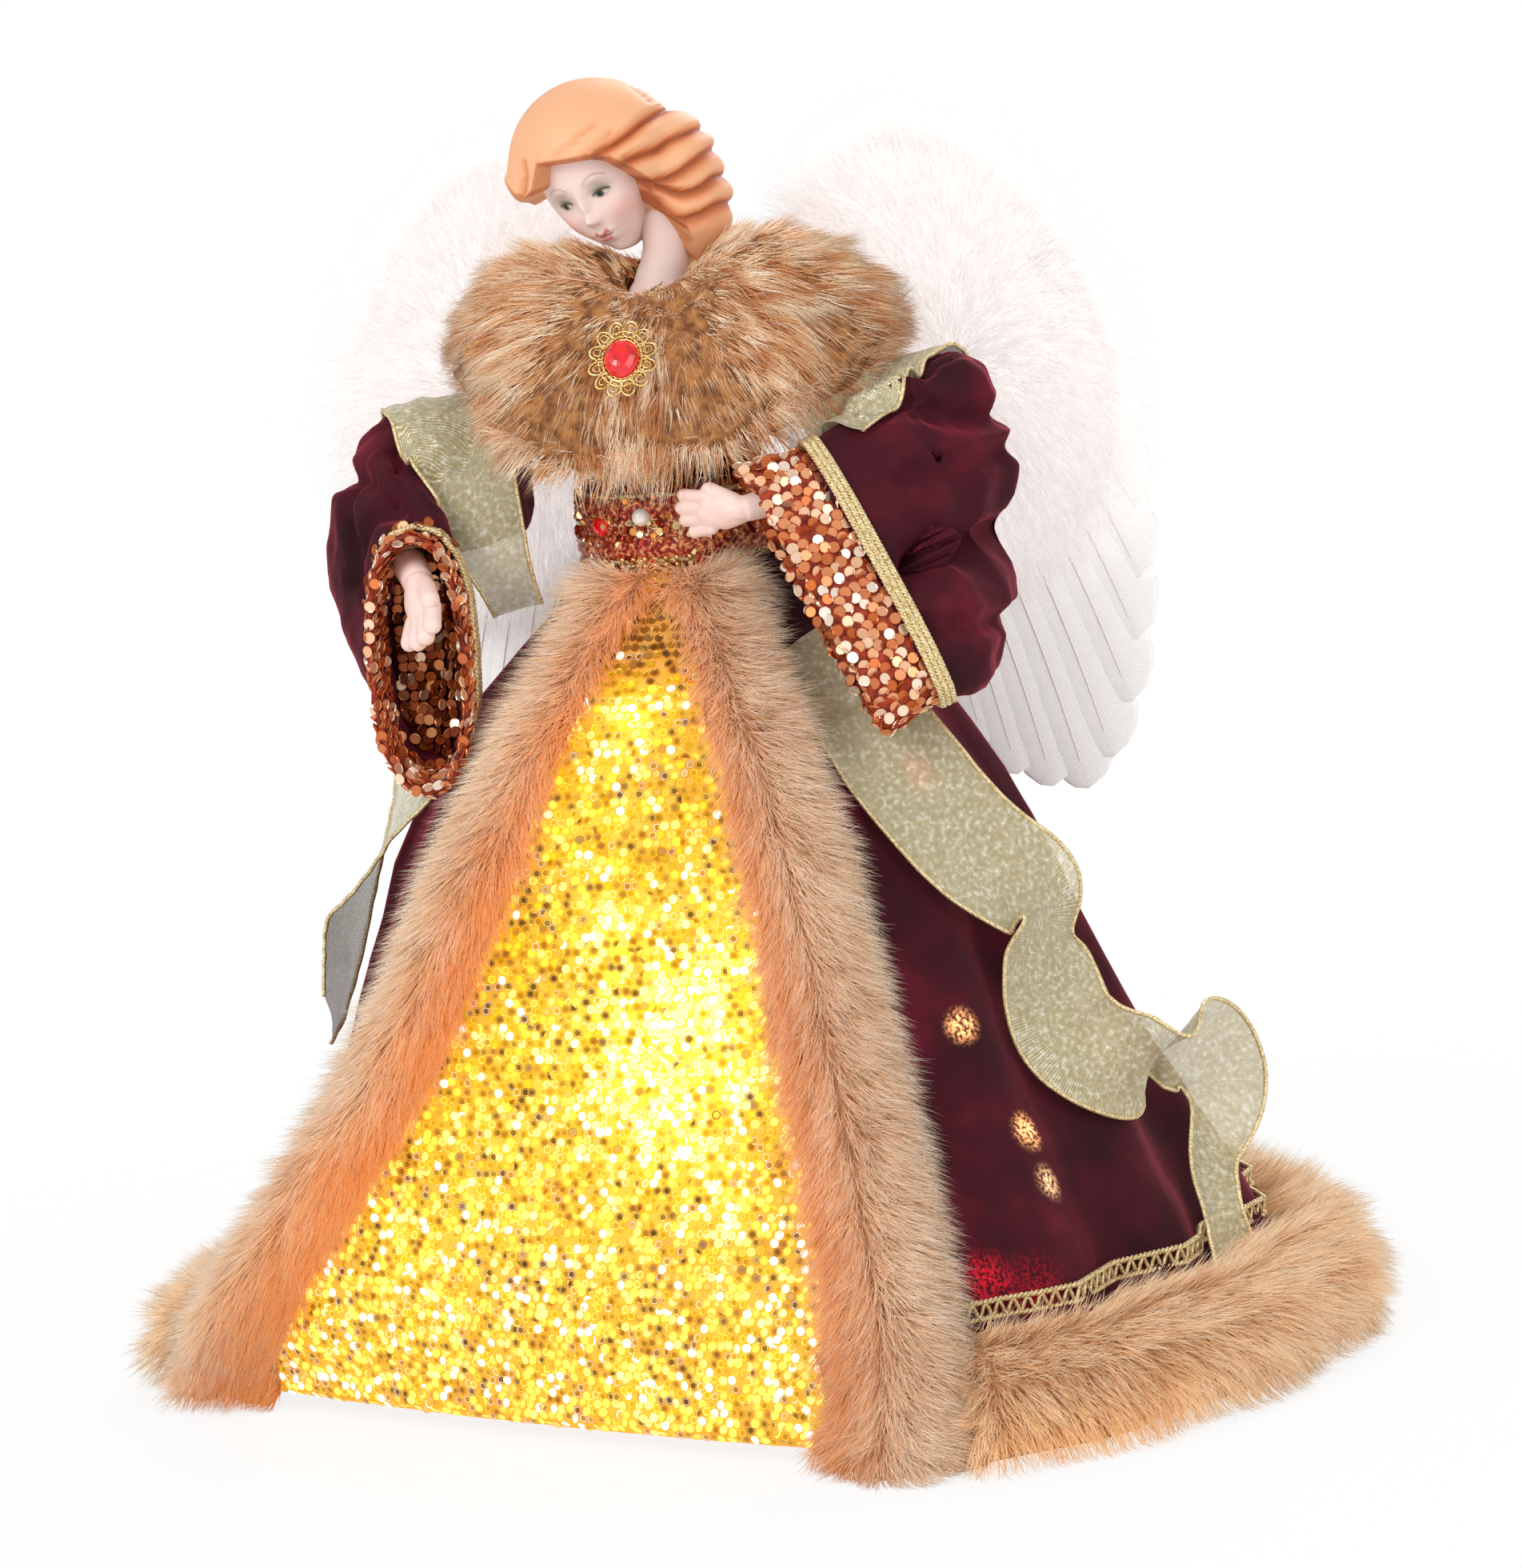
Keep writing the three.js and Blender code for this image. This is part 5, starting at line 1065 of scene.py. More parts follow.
# Valleys between the moulded locks: depth and half width in millimetres, and the places that each passes.
HAIR_VALLEYS = [
    (0.5, 1.6, [(-4.1, 4.0), (-1.5, 5.8), (0.8, 7.3)]),
    (0.4, 1.4, [(-9.0, 0.0), (-6.0, 2.2), (-3.5, 3.2)]),
    (0.7, 1.8, [(-1.5, -0.2), (2.0, 2.4), (4.8, 5.4)]),
    (1.9, 3.0, [(1.6, 0.2), (6.0, 2.6), (9.2, 5.0), (12.8, 8.6), (17.9, 12.7), (22, 16)]),
    (2.0, 3.0, [(8.6, -1.6), (13.5, 0.6), (16.3, 2.0), (19.0, 4.2), (24.5, 7.0), (30, 10)]),
    (2.0, 3.0, [(14.5, -6.6), (19.0, -5.2), (21.9, -3.7), (25.5, -0.6), (28.5, 2.2), (33, 6)]),
    (2.2, 2.8, [(15.0, -6.4), (20.0, -8.4), (22.4, -8.9), (25.2, -8.2), (27.6, -6.7), (30.1, -4.2),
                (36, -1)]),
    (1.9, 3.0, [(16.0, -11.0), (20.4, -14.6), (23.0, -15.0), (27.0, -13.5), (31.0, -10.8), (38, -8)]),
    (0.9, 2.2, [(8.0, 21.0), (11.0, 17.0), (14.0, 14.5)]),
    (0.9, 1.5, [(-17.0, -1.0), (-16.2, -4.5), (-16.6, -8.5)]),
]


def valley_depth(x, y, valleys, sharp=True):
    """How deep a set of valleys cuts at each place, in millimetres."""
    depth = np.zeros(len(x))
    for deep, half_width, places in valleys:
        ends = np.array(places)
        near = np.full(len(x), 1e9)
        for a, b in zip(ends, ends[1:]):
            share = np.clip(((x - a[0]) * (b - a)[0] + (y - a[1]) * (b - a)[1]) / ((b - a) ** 2).sum(), 0, 1)
            near = np.minimum(near, np.hypot(x - a[0] - share * (b - a)[0], y - a[1] - share * (b - a)[1]))
        share = np.clip(near / half_width, 0, 1)
        depth = np.maximum(depth, deep * ((1 - share) ** 1.5 if sharp else np.cos(share * math.pi / 2) ** 2))
    return depth


def hair_points(d):
    """A smooth cap with a full mass of deep, rounded locks at its left."""
    across, up, out = d @ HAIR_ACROSS, d @ HAIR_UP, d @ HAIR_OUT
    reach = np.full(len(d), HAIR_RADIUS / MM)
    for (x, y, z), radius in HAIR_MASSES:
        along = across * x + up * y + out * z
        inside = along ** 2 - (x * x + y * y + z * z) + radius ** 2
        far = np.where((inside > 0) & (along > 0), along + np.sqrt(np.maximum(inside, 0)), 0)
        high = np.maximum(reach, far)
        reach = high + np.log(np.exp((reach - high) * 1.2) + np.exp((far - high) * 1.2)) / 1.2
    x, y, z = across * reach, up * reach, out * reach
    low = np.interp(x, *np.array(HAIRLINE).T)
    low_behind = np.interp(x, *np.array(NAPE_LINE).T)
    low = low + (low_behind - low) * step(2.0, -5.0, z)
    above = y - low
    valley = valley_depth(x, y, HAIR_VALLEYS)
    edge = np.exp(-((above - 0.6) / 1.3) ** 2) * step(-3.0, 2.0, z)
    curl = np.exp(-((x + 18.3) / 2.4) ** 2 - ((y + 5.5) / 3.6) ** 2)
    fine = 0.1 * np.sin(2.6 * (y - 0.9 * x)) * step(0.1, 0.6, valley)
    covered = step(-0.8, 0.6, above)
    grown = (reach + 0.9 * step(2, 12, x) - valley + fine + 0.5 * edge + 0.8 * curl) * MM
    inside = np.linalg.norm(FACE_HALF * d * 0.8, axis=1)
    place = d * (inside + (grown - inside) * covered)[:, None]
    return place, np.clip(valley / 2.0, 0, 1), np.exp(-(above / 0.8) ** 2) * step(-3.0, 2.0, z)


def painted_ball(name, columns, rows, shaped, colours_of, bisque):
    mesh, d = ball(columns, rows)
    place, *rest = shaped(d)
    to_world = np.array(head_frame())
    world = place @ to_world[:3, :3].T + to_world[:3, 3]
    set_points(mesh, world)
    paint(mesh, colours_of(*rest))
    return piece(name, mesh, bisque, "figure", ["porcelain_head"])


def hair_paint(crease, fringe):
    # Painted shade: darker in the valleys between the locks and along the edge of the hairline.
    shade = np.clip(1.1 * crease + 0.6 * fringe, 0, 1)
    return blend_tones(shade, (0, "#efb58a"), (0.3, "#e8a274"), (0.65, "#cc7342"), (1, "#a85a34"))


def smooth_path(points, count):
    """Evenly spaced points on a smooth curve through a few places."""
    points = [Vector(p) for p in points]
    ends = [points[0] * 2 - points[1]] + points + [points[-1] * 2 - points[-2]]
    fine = []
    for a, b, c, d in zip(ends, ends[1:], ends[2:], ends[3:]):
        for k in range(16):
            t = k / 16
            fine.append(0.5 * (2 * b + (c - a) * t + (2 * a - 5 * b + 4 * c - d) * t ** 2
                               + (3 * b - a - 3 * c + d) * t ** 3))
    fine.append(points[-1])
    fine = np.array(fine)
    run = np.concatenate([[0], np.cumsum(np.linalg.norm(np.diff(fine, axis=0), axis=1))])
    even = np.linspace(0, run[-1], count)
    return np.stack([np.interp(even, run, fine[:, k]) for k in range(3)], 1)


def tube(path, radius, sides=8, closed=False, radii=None):
    """A round tube along a path as a mesh, made from a bevelled curve."""
    curve = bpy.data.curves.new("tube", "CURVE")
    curve.dimensions = "3D"
    curve.bevel_depth = radius
    curve.bevel_resolution = max(0, sides // 2 - 2)
    curve.use_fill_caps = not closed
    spline = curve.splines.new("POLY")
    spline.points.add(len(path) - 1)
    spline.points.foreach_set("co", np.hstack([path, np.ones((len(path), 1))]).ravel())
    if radii is not None:
        spline.points.foreach_set("radius", radii)
    spline.use_cyclic_u = closed
    return settled(bpy.data.objects.new("tube", curve))


def porcelain_head(bisque):
    painted_ball("head_face", 288, 256, face_points, face_paint, bisque)
    painted_ball("head_hair", 360, 280, hair_points, hair_paint, bisque)
    neck(bisque)


def lathed(profile, steps):
    """A bmesh of revolution about Z: its profile holds radii and heights in metres."""
    bm = bmesh.new()
    corners = [bm.verts.new((r, 0, z)) for r, z in profile]
    edges = [bm.edges.new(pair) for pair in zip(corners, corners[1:])]
    bmesh.ops.spin(bm, geom=corners + edges, cent=(0, 0, 0), axis=(0, 0, 1), angle=math.tau, steps=steps,
                   use_merge=True)
    bmesh.ops.remove_doubles(bm, verts=bm.verts, dist=0.01 * MM)
    bmesh.ops.recalc_face_normals(bm, faces=bm.faces)
    return bm


def neck(bisque):
    """Neck and shoulder plate, turned from one profile and drawn wider at the shoulders."""
    low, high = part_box("porcelain_head")
    profile = [(0, 0), (25, 0), (24, 1.6), (20, 4), (13, 6.6), (8.6, 9.5), (7.2, 14), (6.8, 20), (7.2, 26),
               (6, 30), (0, 31)]
    bm = lathed([(r * MM, z * MM) for r, z in profile], 48)
    for vertex in bm.verts:
        vertex.co.y *= 1 - 0.36 * step(0.008, 0.0, vertex.co.z)
        vertex.co.z += low.z
    finer(bm, 1)
    mesh = mesh_of(bm, "neck")
    place = points_of(mesh)
    place[:, 0] += 4 * MM * step(low.z + 0.006, low.z + 0.024, place[:, 2])
    set_points(mesh, place)
    colours = np.tile(rgb("#ecd6d0"), (len(place), 1))
    # Painted shade: the top of the neck, under the chin, is darker and pinker.
    paint(mesh, mixed(colours, "#d9a598", 0.5 * step(high.z - 0.05, high.z - 0.02, place[:, 2])))
    piece("head_neck", mesh, bisque, "figure", ["porcelain_head"])


def hands(bisque):
    """Cast hands: the CAD hand under one smooth skin, with a little blush in soft patches."""
    for side in SIDES:
        node = f"hand_{side}"
        bm = remeshed(merged_copy(node), 0.42 * MM, 5)
        mesh = mesh_of(bm, node)
        place = points_of(mesh)
        normals = normals_of(mesh)
        set_points(mesh, place + normals * (1.0 if side == "right" else 0.4) * MM)
        blush = 0.5 + 0.5 * ripple(place, 5 * MM, 1.0)
        paint(mesh, blend_tones(blush, (0, "#f6dfd9"), (1, "#efcdc4")))
        piece(f"porcelain_{node}", mesh, bisque, f"arm_{side}", [node])


# Brooch, belt and cords

def ring_mesh(radius, wire, sides=6, steps=28):
    """A round wire ring in the XY plane, made by a full spin of its section."""
    bm = bmesh.new()
    section = bmesh.ops.create_circle(bm, segments=sides, radius=wire)["verts"]
    bmesh.ops.rotate(bm, verts=section, cent=(0, 0, 0), matrix=Matrix.Rotation(math.pi / 2, 3, "X"))
    bmesh.ops.translate(bm, verts=section, vec=(radius, 0, 0))
    bmesh.ops.spin(bm, geom=section + bm.edges[:], cent=(0, 0, 0), axis=(0, 0, 1), angle=math.tau,
                   steps=steps, use_merge=True)
    bmesh.ops.remove_doubles(bm, verts=bm.verts, dist=wire * 0.05)
    bmesh.ops.recalc_face_normals(bm, faces=bm.faces)
    return mesh_of(bm, "ring")


def placed_into(bm, mesh, matrix):
    """Adds a mesh to a bmesh at a place."""
    before = len(bm.verts)
    bm.from_mesh(mesh)
    bm.verts.ensure_lookup_table()
    bmesh.ops.transform(bm, matrix=matrix, verts=bm.verts[before:])


def facet_stone(radius, height, sides):
    """A faceted cabochon of revolution that stands on the origin."""
    profile = [(0, 0), (1, 0), (1, 0.22), (0.86, 0.62), (0.6, 0.9), (0.34, 1), (0, 1)]
    return mesh_of(lathed([(r * radius, z * height) for r, z in profile], sides), "stone")


BROOCH_TILT = math.radians(28)


def brooch(gilt, ruby):
    low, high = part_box("brooch_setting")
    seat = (low + high) / 2
    base = Matrix.Translation(seat) @ Matrix.Rotation(math.pi / 2 - BROOCH_TILT, 4, "X")
    half_x, half_y = 8.3 * MM, 10 * MM
    bm = bmesh.new()
    petals = 12
    petal = ring_mesh(1.75 * MM, 0.28 * MM, 6, 20)
    bead = bpy.data.meshes.new("bead")
    grain = bmesh.new()
    bmesh.ops.create_icosphere(grain, subdivisions=2, radius=0.55 * MM)
    grain.to_mesh(bead)
    grain.free()
    for k in range(petals):
        turn = math.tau * (k + 0.5) / petals
        place = Vector((0.78 * half_x * math.cos(turn), 0.78 * half_y * math.sin(turn), 0))
        stretch = Matrix.Rotation(turn, 4, "Z") @ Matrix.Diagonal((1.25, 0.95, 1, 1))
        placed_into(bm, petal, Matrix.Translation(place) @ stretch)
        placed_into(bm, petal, Matrix.Translation(place) @ stretch @ Matrix.Diagonal((0.5, 0.5, 1.2, 1)))
        turn += math.tau / petals / 2
        rim = Vector((0.97 * half_x * math.cos(turn), 0.97 * half_y * math.sin(turn), 0.1 * MM))
        placed_into(bm, bead, Matrix.Translation(rim * 0.8))
    oval = Matrix.Diagonal((half_x / half_y, 1, 1, 1))
    for radius, wire in ((5.9, 0.5), (5.1, 0.34), (7.2, 0.25)):
        placed_into(bm, ring_mesh(radius * MM, wire * MM, 8, 48), oval)
    claws = 24
    for k in range(claws):
        turn = math.tau * k / claws
        place = Vector((5.5 * MM * math.cos(turn) * 0.9, 5.5 * MM * math.sin(turn), 0.55 * MM))
        placed_into(bm, bead, Matrix.Translation(place) @ Matrix.Scale(0.8, 4))
    bmesh.ops.transform(bm, matrix=base, verts=bm.verts)
    piece("brooch_filigree", bm, gilt, "figure", ["brooch_setting"])
    stone_low, stone_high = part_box("brooch_stone")
    bm = bmesh.new()
    placed_into(bm, facet_stone(4.7 * MM, 3.2 * MM, 14), Matrix.Diagonal((0.94, 1.05, 1, 1)))
    normal = base.to_3x3() @ Vector((0, 0, 1))
    middle = (stone_low + stone_high) / 2 - normal * 1.7 * MM
    bmesh.ops.transform(bm, matrix=Matrix.Translation(middle) @ base.to_3x3().to_4x4(), verts=bm.verts)
    piece("brooch_cabochon", bm, ruby, "figure", ["brooch_stone"], smooth=False)


def offset_strands(path, radius, strands, lay, closed):
    """Paths of strands twisted round a path: one turn in each lay length."""
    ahead = np.roll(path, -1, 0) - np.roll(path, 1, 0) if closed else np.gradient(path, axis=0)
    ahead = unit(ahead)
    run = np.concatenate([[0], np.cumsum(np.linalg.norm(np.diff(path, axis=0), axis=1))])
    total = run[-1] + (np.linalg.norm(path[0] - path[-1]) if closed else 0)
    turns = max(1, round(total / lay))
    side = unit(np.cross(ahead, [0.13, 0.09, 1.0]))
    over = np.cross(side, ahead)
    for k in range(strands):
        phase = math.tau * (run / total * turns + k / strands)
        yield path + radius * (np.cos(phase)[:, None] * side + np.sin(phase)[:, None] * over)


def resampled(path, spacing, closed):
    """Points about one spacing apart along a path."""
    full = np.vstack([path, path[:1]]) if closed else path
    run = np.concatenate([[0], np.cumsum(np.linalg.norm(np.diff(full, axis=0), axis=1))])
    count = max(4, int(run[-1] / spacing))
    even = np.linspace(0, run[-1], count, endpoint=not closed)
    return np.stack([np.interp(even, run, full[:, k]) for k in range(3)], 1)


def twisted_cord(bm, path, radius, strands, lay, closed=False):
    """Adds a cord of strands twisted round a path, one turn in each lay."""
    path = resampled(path, lay / 8, closed)
    for strand in offset_strands(path, radius * 0.5, strands, lay, closed):
        bm.from_mesh(tube(strand, radius * 0.56, 6, closed))


def loop_around(node, count=96):
    """Points round the outside of a ring-shaped CAD node, and the normal of the ring's plane."""
    tree = tree_of(node)
    place = points_of(frame["nodes"][node].data).astype(float)
    middle = (place.min(0) + place.max(0)) / 2
    _, _, axes = np.linalg.svd(place - place.mean(0), full_matrices=False)
    found = []
    for k in range(count):
        turn = math.tau * k / count
        out = Vector(math.cos(turn) * axes[0] + math.sin(turn) * axes[1])
        hit, _, _, _ = tree.ray_cast(Vector(middle) + out * 0.2, -out)
        if hit is not None and (hit - Vector(middle)).dot(out) > 0:
            found.append(hit[:])
    return np.array(found), axes[2]


def cuff_braids(gold_cord):
    """Three gold cords lie side by side over the seam between sleeve and cuff."""
    for side in SIDES:
        node = f"cuff_braid_{side}"
        path, normal = loop_around(node)
        middle = path.mean(0)
        inward = unit(middle - path)
        bm = bmesh.new()
        for shift, lay in ((-1.45, 3.2), (0, 2.6), (1.45, 3.2)):
            line = path + normal * shift * MM + inward * 1.1 * MM
            twisted_cord(bm, line, 0.85 * MM, 3, lay * MM, True)
        bmesh.ops.recalc_face_normals(bm, faces=bm.faces)
        piece(f"{node}_cords", bm, gold_cord, f"arm_{side}", [node])


def hem_braid(gold_cord):
    """Gimp braid above the hem fur: two edge cords with a third looped between them."""
    node = "hem_braid"
    low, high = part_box(node)
    tree = tree_of(node)
    bm = bmesh.new()
    hits, outs = [], []
    for k in range(721):
        out = outward(math.radians(k / 2))
        hit, _, _, _ = tree.ray_cast(out * OUTSIDE + Vector((0, 0, (low.z + high.z) / 2)), -out)
        if hit is not None and hit.dot(out) > 0.08:
            hits.append(hit[:])
            outs.append(out[:])
    path = np.array(hits) - np.array(outs) * MM
    half = (high.z - low.z) / 2
    for shift in (-half + 0.5 * MM, half - 0.5 * MM):
        twisted_cord(bm, path + np.array([0, 0, shift]), 0.75 * MM, 2, 2.6 * MM)
    even = resampled(path, 0.5 * MM, False)
    run = np.arange(len(even)) * 0.5 * MM
    wave = even + np.stack([0 * run, 0 * run, (half - 0.9 * MM) * np.sin(math.tau * run / (3.6 * MM))], 1)
    bm.from_mesh(tube(wave, 0.5 * MM, 6))
    bmesh.ops.recalc_face_normals(bm, faces=bm.faces)
    piece("hem_gimp_braid", bm, gold_cord, "figure", [node])


def belt(belt_braid, gold_cord, ruby, pearl, bead_finish):
    low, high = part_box("belt")
    radius = (high.x - low.x) / 2
    dressed("belt_band", "belt", belt_braid, "figure", 1)
    middle = (low.z + high.z) / 2
    bm = bmesh.new()
    turns = np.linspace(0, math.tau, 720, endpoint=False)
    ring = np.stack([np.sin(turns), -np.cos(turns), 0 * turns], 1)
    reach = radius - 0.1 * MM
    for shift in (low.z + 1.4 * MM, high.z - 1.4 * MM):
        twisted_cord(bm, ring * reach + np.array([0, 0, shift]), 0.8 * MM, 3, 3 * MM, True)
    loops = 30
    for k in range(2):
        wave = (3.1 * MM) * np.sin(loops / 2 * turns + k * math.pi)
        out = reach + 0.5 * MM * np.cos(loops * turns + k * math.pi)
        path = ring * out[:, None] + np.stack([0 * turns, 0 * turns, middle + wave], 1)
        bm.from_mesh(tube(path, 0.42 * MM, 6, True))
    curl = ring_mesh(1.3 * MM, 0.3 * MM, 6, 16)
    for k in range(loops):
        angle = math.tau * (k + 0.5) / loops
        out = outward(angle)
        for rise in (-4.6, 4.6):
            spot = out * (radius + 0.3 * MM) + Vector((0, 0, middle + rise * MM))
            placed_into(bm, curl, Matrix.Translation(spot) @ facing_out(out))
    bmesh.ops.recalc_face_normals(bm, faces=bm.faces)
    piece("belt_cords", bm, gold_cord, "figure")
    belt_jewel("belt_stone", ruby, "belt_gem", False, gold_cord)
    belt_jewel("belt_pearl", pearl, "belt_bead", True, gold_cord)
    bead_drop(bead_finish, radius, low.z)


def belt_jewel(node, finish, name, smooth, gold_cord):
    low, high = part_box(node)
    middle = (low + high) / 2
    out = Vector((middle.x, middle.y, 0)).normalized()
    facing = facing_out(out)
    size = (high.z - low.z) / 2
    seat = Matrix.Translation(middle - out * MM) @ facing
    bm = bmesh.new()
    if smooth:
        bmesh.ops.create_uvsphere(bm, u_segments=32, v_segments=20, radius=size * 0.95)
        bmesh.ops.transform(bm, matrix=Matrix.Translation(middle) @ facing, verts=bm.verts)
    else:
        placed_into(bm, facet_stone(size * 0.9, 2 * MM, 10), seat)
    piece(name, bm, finish, "figure", [node], smooth=smooth)
    bm = bmesh.new()
    petals = 9
    petal = ring_mesh(1.0 * MM, 0.26 * MM, 6, 16)
    for k in range(petals):
        turn = math.tau * k / petals
        spot = Matrix.Translation((size * 1.25 * math.cos(turn), size * 1.25 * math.sin(turn), 0.2 * MM))
        spot = seat @ spot @ Matrix.Rotation(turn, 4, "Z")
        placed_into(bm, petal, spot @ Matrix.Diagonal((1.7, 0.8, 1, 1)))
    piece(f"{name}_petals", bm, gold_cord, "figure")


def bead_drop(finish, radius, belt_low):
    """Strings of small beads that hang in a V from the front of the belt."""
    bm = bmesh.new()
    bead = bmesh.new()
    bmesh.ops.create_icosphere(bead, subdivisions=2, radius=0.85 * MM)
    shape = mesh_of(bead, "bead")
    for degrees, drop in ((-22, 5), (-15, 9), (-8, 13), (-2, 15), (4, 12), (10, 8), (17, 4)):
        angle = math.radians(degrees)
        out = outward(angle)
        for k in range(int(drop / 1.7) + 1):
            height = belt_low + 2 * MM - k * 1.7 * MM
            lean = 0.9 * MM + 0.25 * max(0.0, belt_low - height)
            placed_into(bm, shape, Matrix.Translation(out * (radius + lean) + Vector((0, 0, height))))
    piece("belt_beads", bm, finish, "figure")


# Sleeves, cuffs and ribbon

# Shifts that thicken the walls of a thin solid, in millimetres.
SWELL = [(0, 0, 0), (1, 0, 0), (-1, 0, 0), (0, 1, 0), (0, -1, 0)]


def skin_piece(name, nodes, grain, rounds, finish, body, wave, wave_size, seed, fold=None,
               shifts=SWELL[:1]):
    """A soft piece from its CAD solids: one even skin with shallow waves, and folds of its own."""
    bm = bmesh.new()
    for node in nodes:
        for shift in shifts:
            moved = merged_copy(node)
            bmesh.ops.translate(moved, verts=moved.verts, vec=Vector(shift) * MM)
            shape = mesh_of(moved, node)
            bm.from_mesh(shape)
    bm = remeshed(bm, grain, rounds)
    mesh = mesh_of(bm, name)
    place = points_of(mesh).astype(float)
    normals = normals_of(mesh)
    height = wave * ripple(place, wave_size, seed) + 0.4 * wave * ripple(place, wave_size * 0.45, seed + 3)
    if fold is not None:
        height = height + fold(place)
    set_points(mesh, place + turned_outwards(place, normals) * height[:, None])
    return piece(name, mesh, finish, body, nodes)


def turned_outwards(place, normals):
    """Normals turned round where they face the piece's middle, so that both faces of a wall move as one."""
    levels = np.linspace(place[:, 2].min(), place[:, 2].max(), 16)
    middles = np.array([place[np.abs(place[:, 2] - z) < 5 * MM][:, :2].mean(0) for z in levels])
    middle = np.stack([np.interp(place[:, 2], levels, middles[:, k]) for k in range(2)], 1)
    inward = ((place[:, :2] - middle) * normals[:, :2]).sum(1) < 0
    return np.where(inward[:, None], -normals, normals)


# Creases in the sleeves, as seen from the front: depth and half width in millimetres, and the places [x, z]
# that each passes.
SLEEVE_CREASES = {
    "left": [
        (2.6, 5.5, [(54.5, 237), (65.3, 241.8), (76.2, 235.3), (88, 233.8)]),
        (2.2, 5.0, [(66, 223.5), (77.5, 224), (88, 226.8)]),
        (3.2, 6.5, [(49.3, 193.6), (61.2, 198), (70, 205.3), (80, 208.5)]),
        (2.0, 4.6, [(56.6, 185.7), (68.5, 188.4), (84, 186.2)]),
    ],
    "right": [
        (2.8, 4.8, [(-90, 231.7), (-77, 232.3), (-69.5, 230.7), (-65.4, 227.2)]),
        (1.9, 3.4, [(-78, 230), (-79.9, 225.3), (-77.2, 214.6), (-73.6, 204)]),
        (1.9, 3.4, [(-62.3, 224.3), (-70.2, 222.7), (-74.9, 214.6), (-78, 207)]),
        (1.7, 3.4, [(-57.2, 222.5), (-62.9, 230.2), (-66.6, 238.8)]),
    ],
}


def sleeves(velvet):
    """Puffed velvet sleeves with the arms inside them, as one skin with deep creases."""
    made = {}
    for side, sign in SIDES.items():
        nodes = [f"sleeve_{side}", f"arm_{side}"]
        low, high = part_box(nodes[0])
        middle = (low + high) / 2

        def fold(place):
            turn = np.arctan2(place[:, 0] - middle.x, -(place[:, 1] - middle.y))
            share = (place[:, 2] - low.z) / (high.z - low.z)
            gather = np.clip(np.abs(share - 0.5) * 2, 0, 1)
            waves = np.sin(11 * turn + 3 * ripple(place, 22 * MM, 6.0 + sign)) + 0.5 * np.sin(19 * turn + 1.3)
            height = 0.3 * MM * gather * waves
            depth = valley_depth(place[:, 0] / MM, place[:, 2] / MM, SLEEVE_CREASES[side], False)
            height = height - 1.5 * depth * MM
            if sign < 0:
                return height
            outer = step(0.056, 0.074, place[:, 0])
            z = place[:, 2] / MM
            puff = 2.2 * np.exp(-((z - 226) / 9) ** 2) + 2.2 * np.exp(-((z - 188) / 8) ** 2)
            return height + (puff - 6.0 * np.exp(-((z - 206.5) / 6) ** 2)) * MM * outer

        made[side] = skin_piece(f"velvet_sleeve_{side}", nodes, 0.9 * MM, 6, velvet, f"arm_{side}",
                                1.0 * MM, 11 * MM, 5.0 + sign, fold, SWELL)
    return made


def bodice(velvet):
    skin_piece("velvet_bodice", ["body"], 1.2 * MM, 5, velvet, "figure", 0.9 * MM, 12 * MM, 9.0)


CUP_PITCH = 3.0 * MM
SPANGLE_PITCH = 1.7 * MM
# Points tried for each cuff's cups and for the belt's spangles; those too near to another are left out.
CUP_TRIES = 14000
SPANGLE_TRIES = 5000


def cuffs(net, sequin):
    """Bell cuffs of net, with cup sequins sewn in close rows all over the outside."""
    for side, sign in SIDES.items():
        node = f"cuff_{side}"
        rng = np.random.default_rng(51 + sign)
        bm = remeshed(merged_copy(node), 0.8 * MM, 4)
        mesh = bpy.data.meshes.new(node)
        bm.to_mesh(mesh)
        spread = Scatter(bm, CUP_TRIES, rng)
        bm.free()
        piece(f"cuff_net_{side}", mesh, net, f"arm_{side}", [node])
        chosen = apart(spread.place, spread.normal, CUP_PITCH * 0.72)
        places, normals = spread.place[chosen], spread.normal[chosen]
        shape = cup_shape(10, 0.7)
        count = len(places)
        tilts = rng.normal(0, 0.24, (count, 3)) + np.array([0, 0, -0.25])
        cups = laid(shape, places + normals * 0.45 * MM, normals, np.full(count, CUP_PITCH * 0.5), tilts,
                    rng.uniform(0, math.tau, count))
        # Painted highlights: each cup's brightness is drawn at random and its rim is lighter than its heart,
        # up to near white; the right cuff's cups are drawn darker, as painted shade.
        own = rng.random(count) ** (1.2 if side == "left" else 1.7)
        heart = blend_tones(own, (0, "#a8401e"), (0.35, "#d8703a"), (0.7, "#f0a070"), (1, "#ffd8b8"))
        rim = blend_tones(own, (0, "#cc6832"), (0.35, "#ec9c6c"), (0.7, "#fcd2ac"), (1, "#fff6e8"))
        middle = np.tile(step(0.75, 0.4, np.hypot(*points_of(shape).T[:2])), count)[:, None]
        paint(cups, each(heart, shape) * middle + each(rim, shape) * (1 - middle))
        piece(f"cuff_cups_{side}", cups, sequin, f"arm_{side}", [], smooth=False)


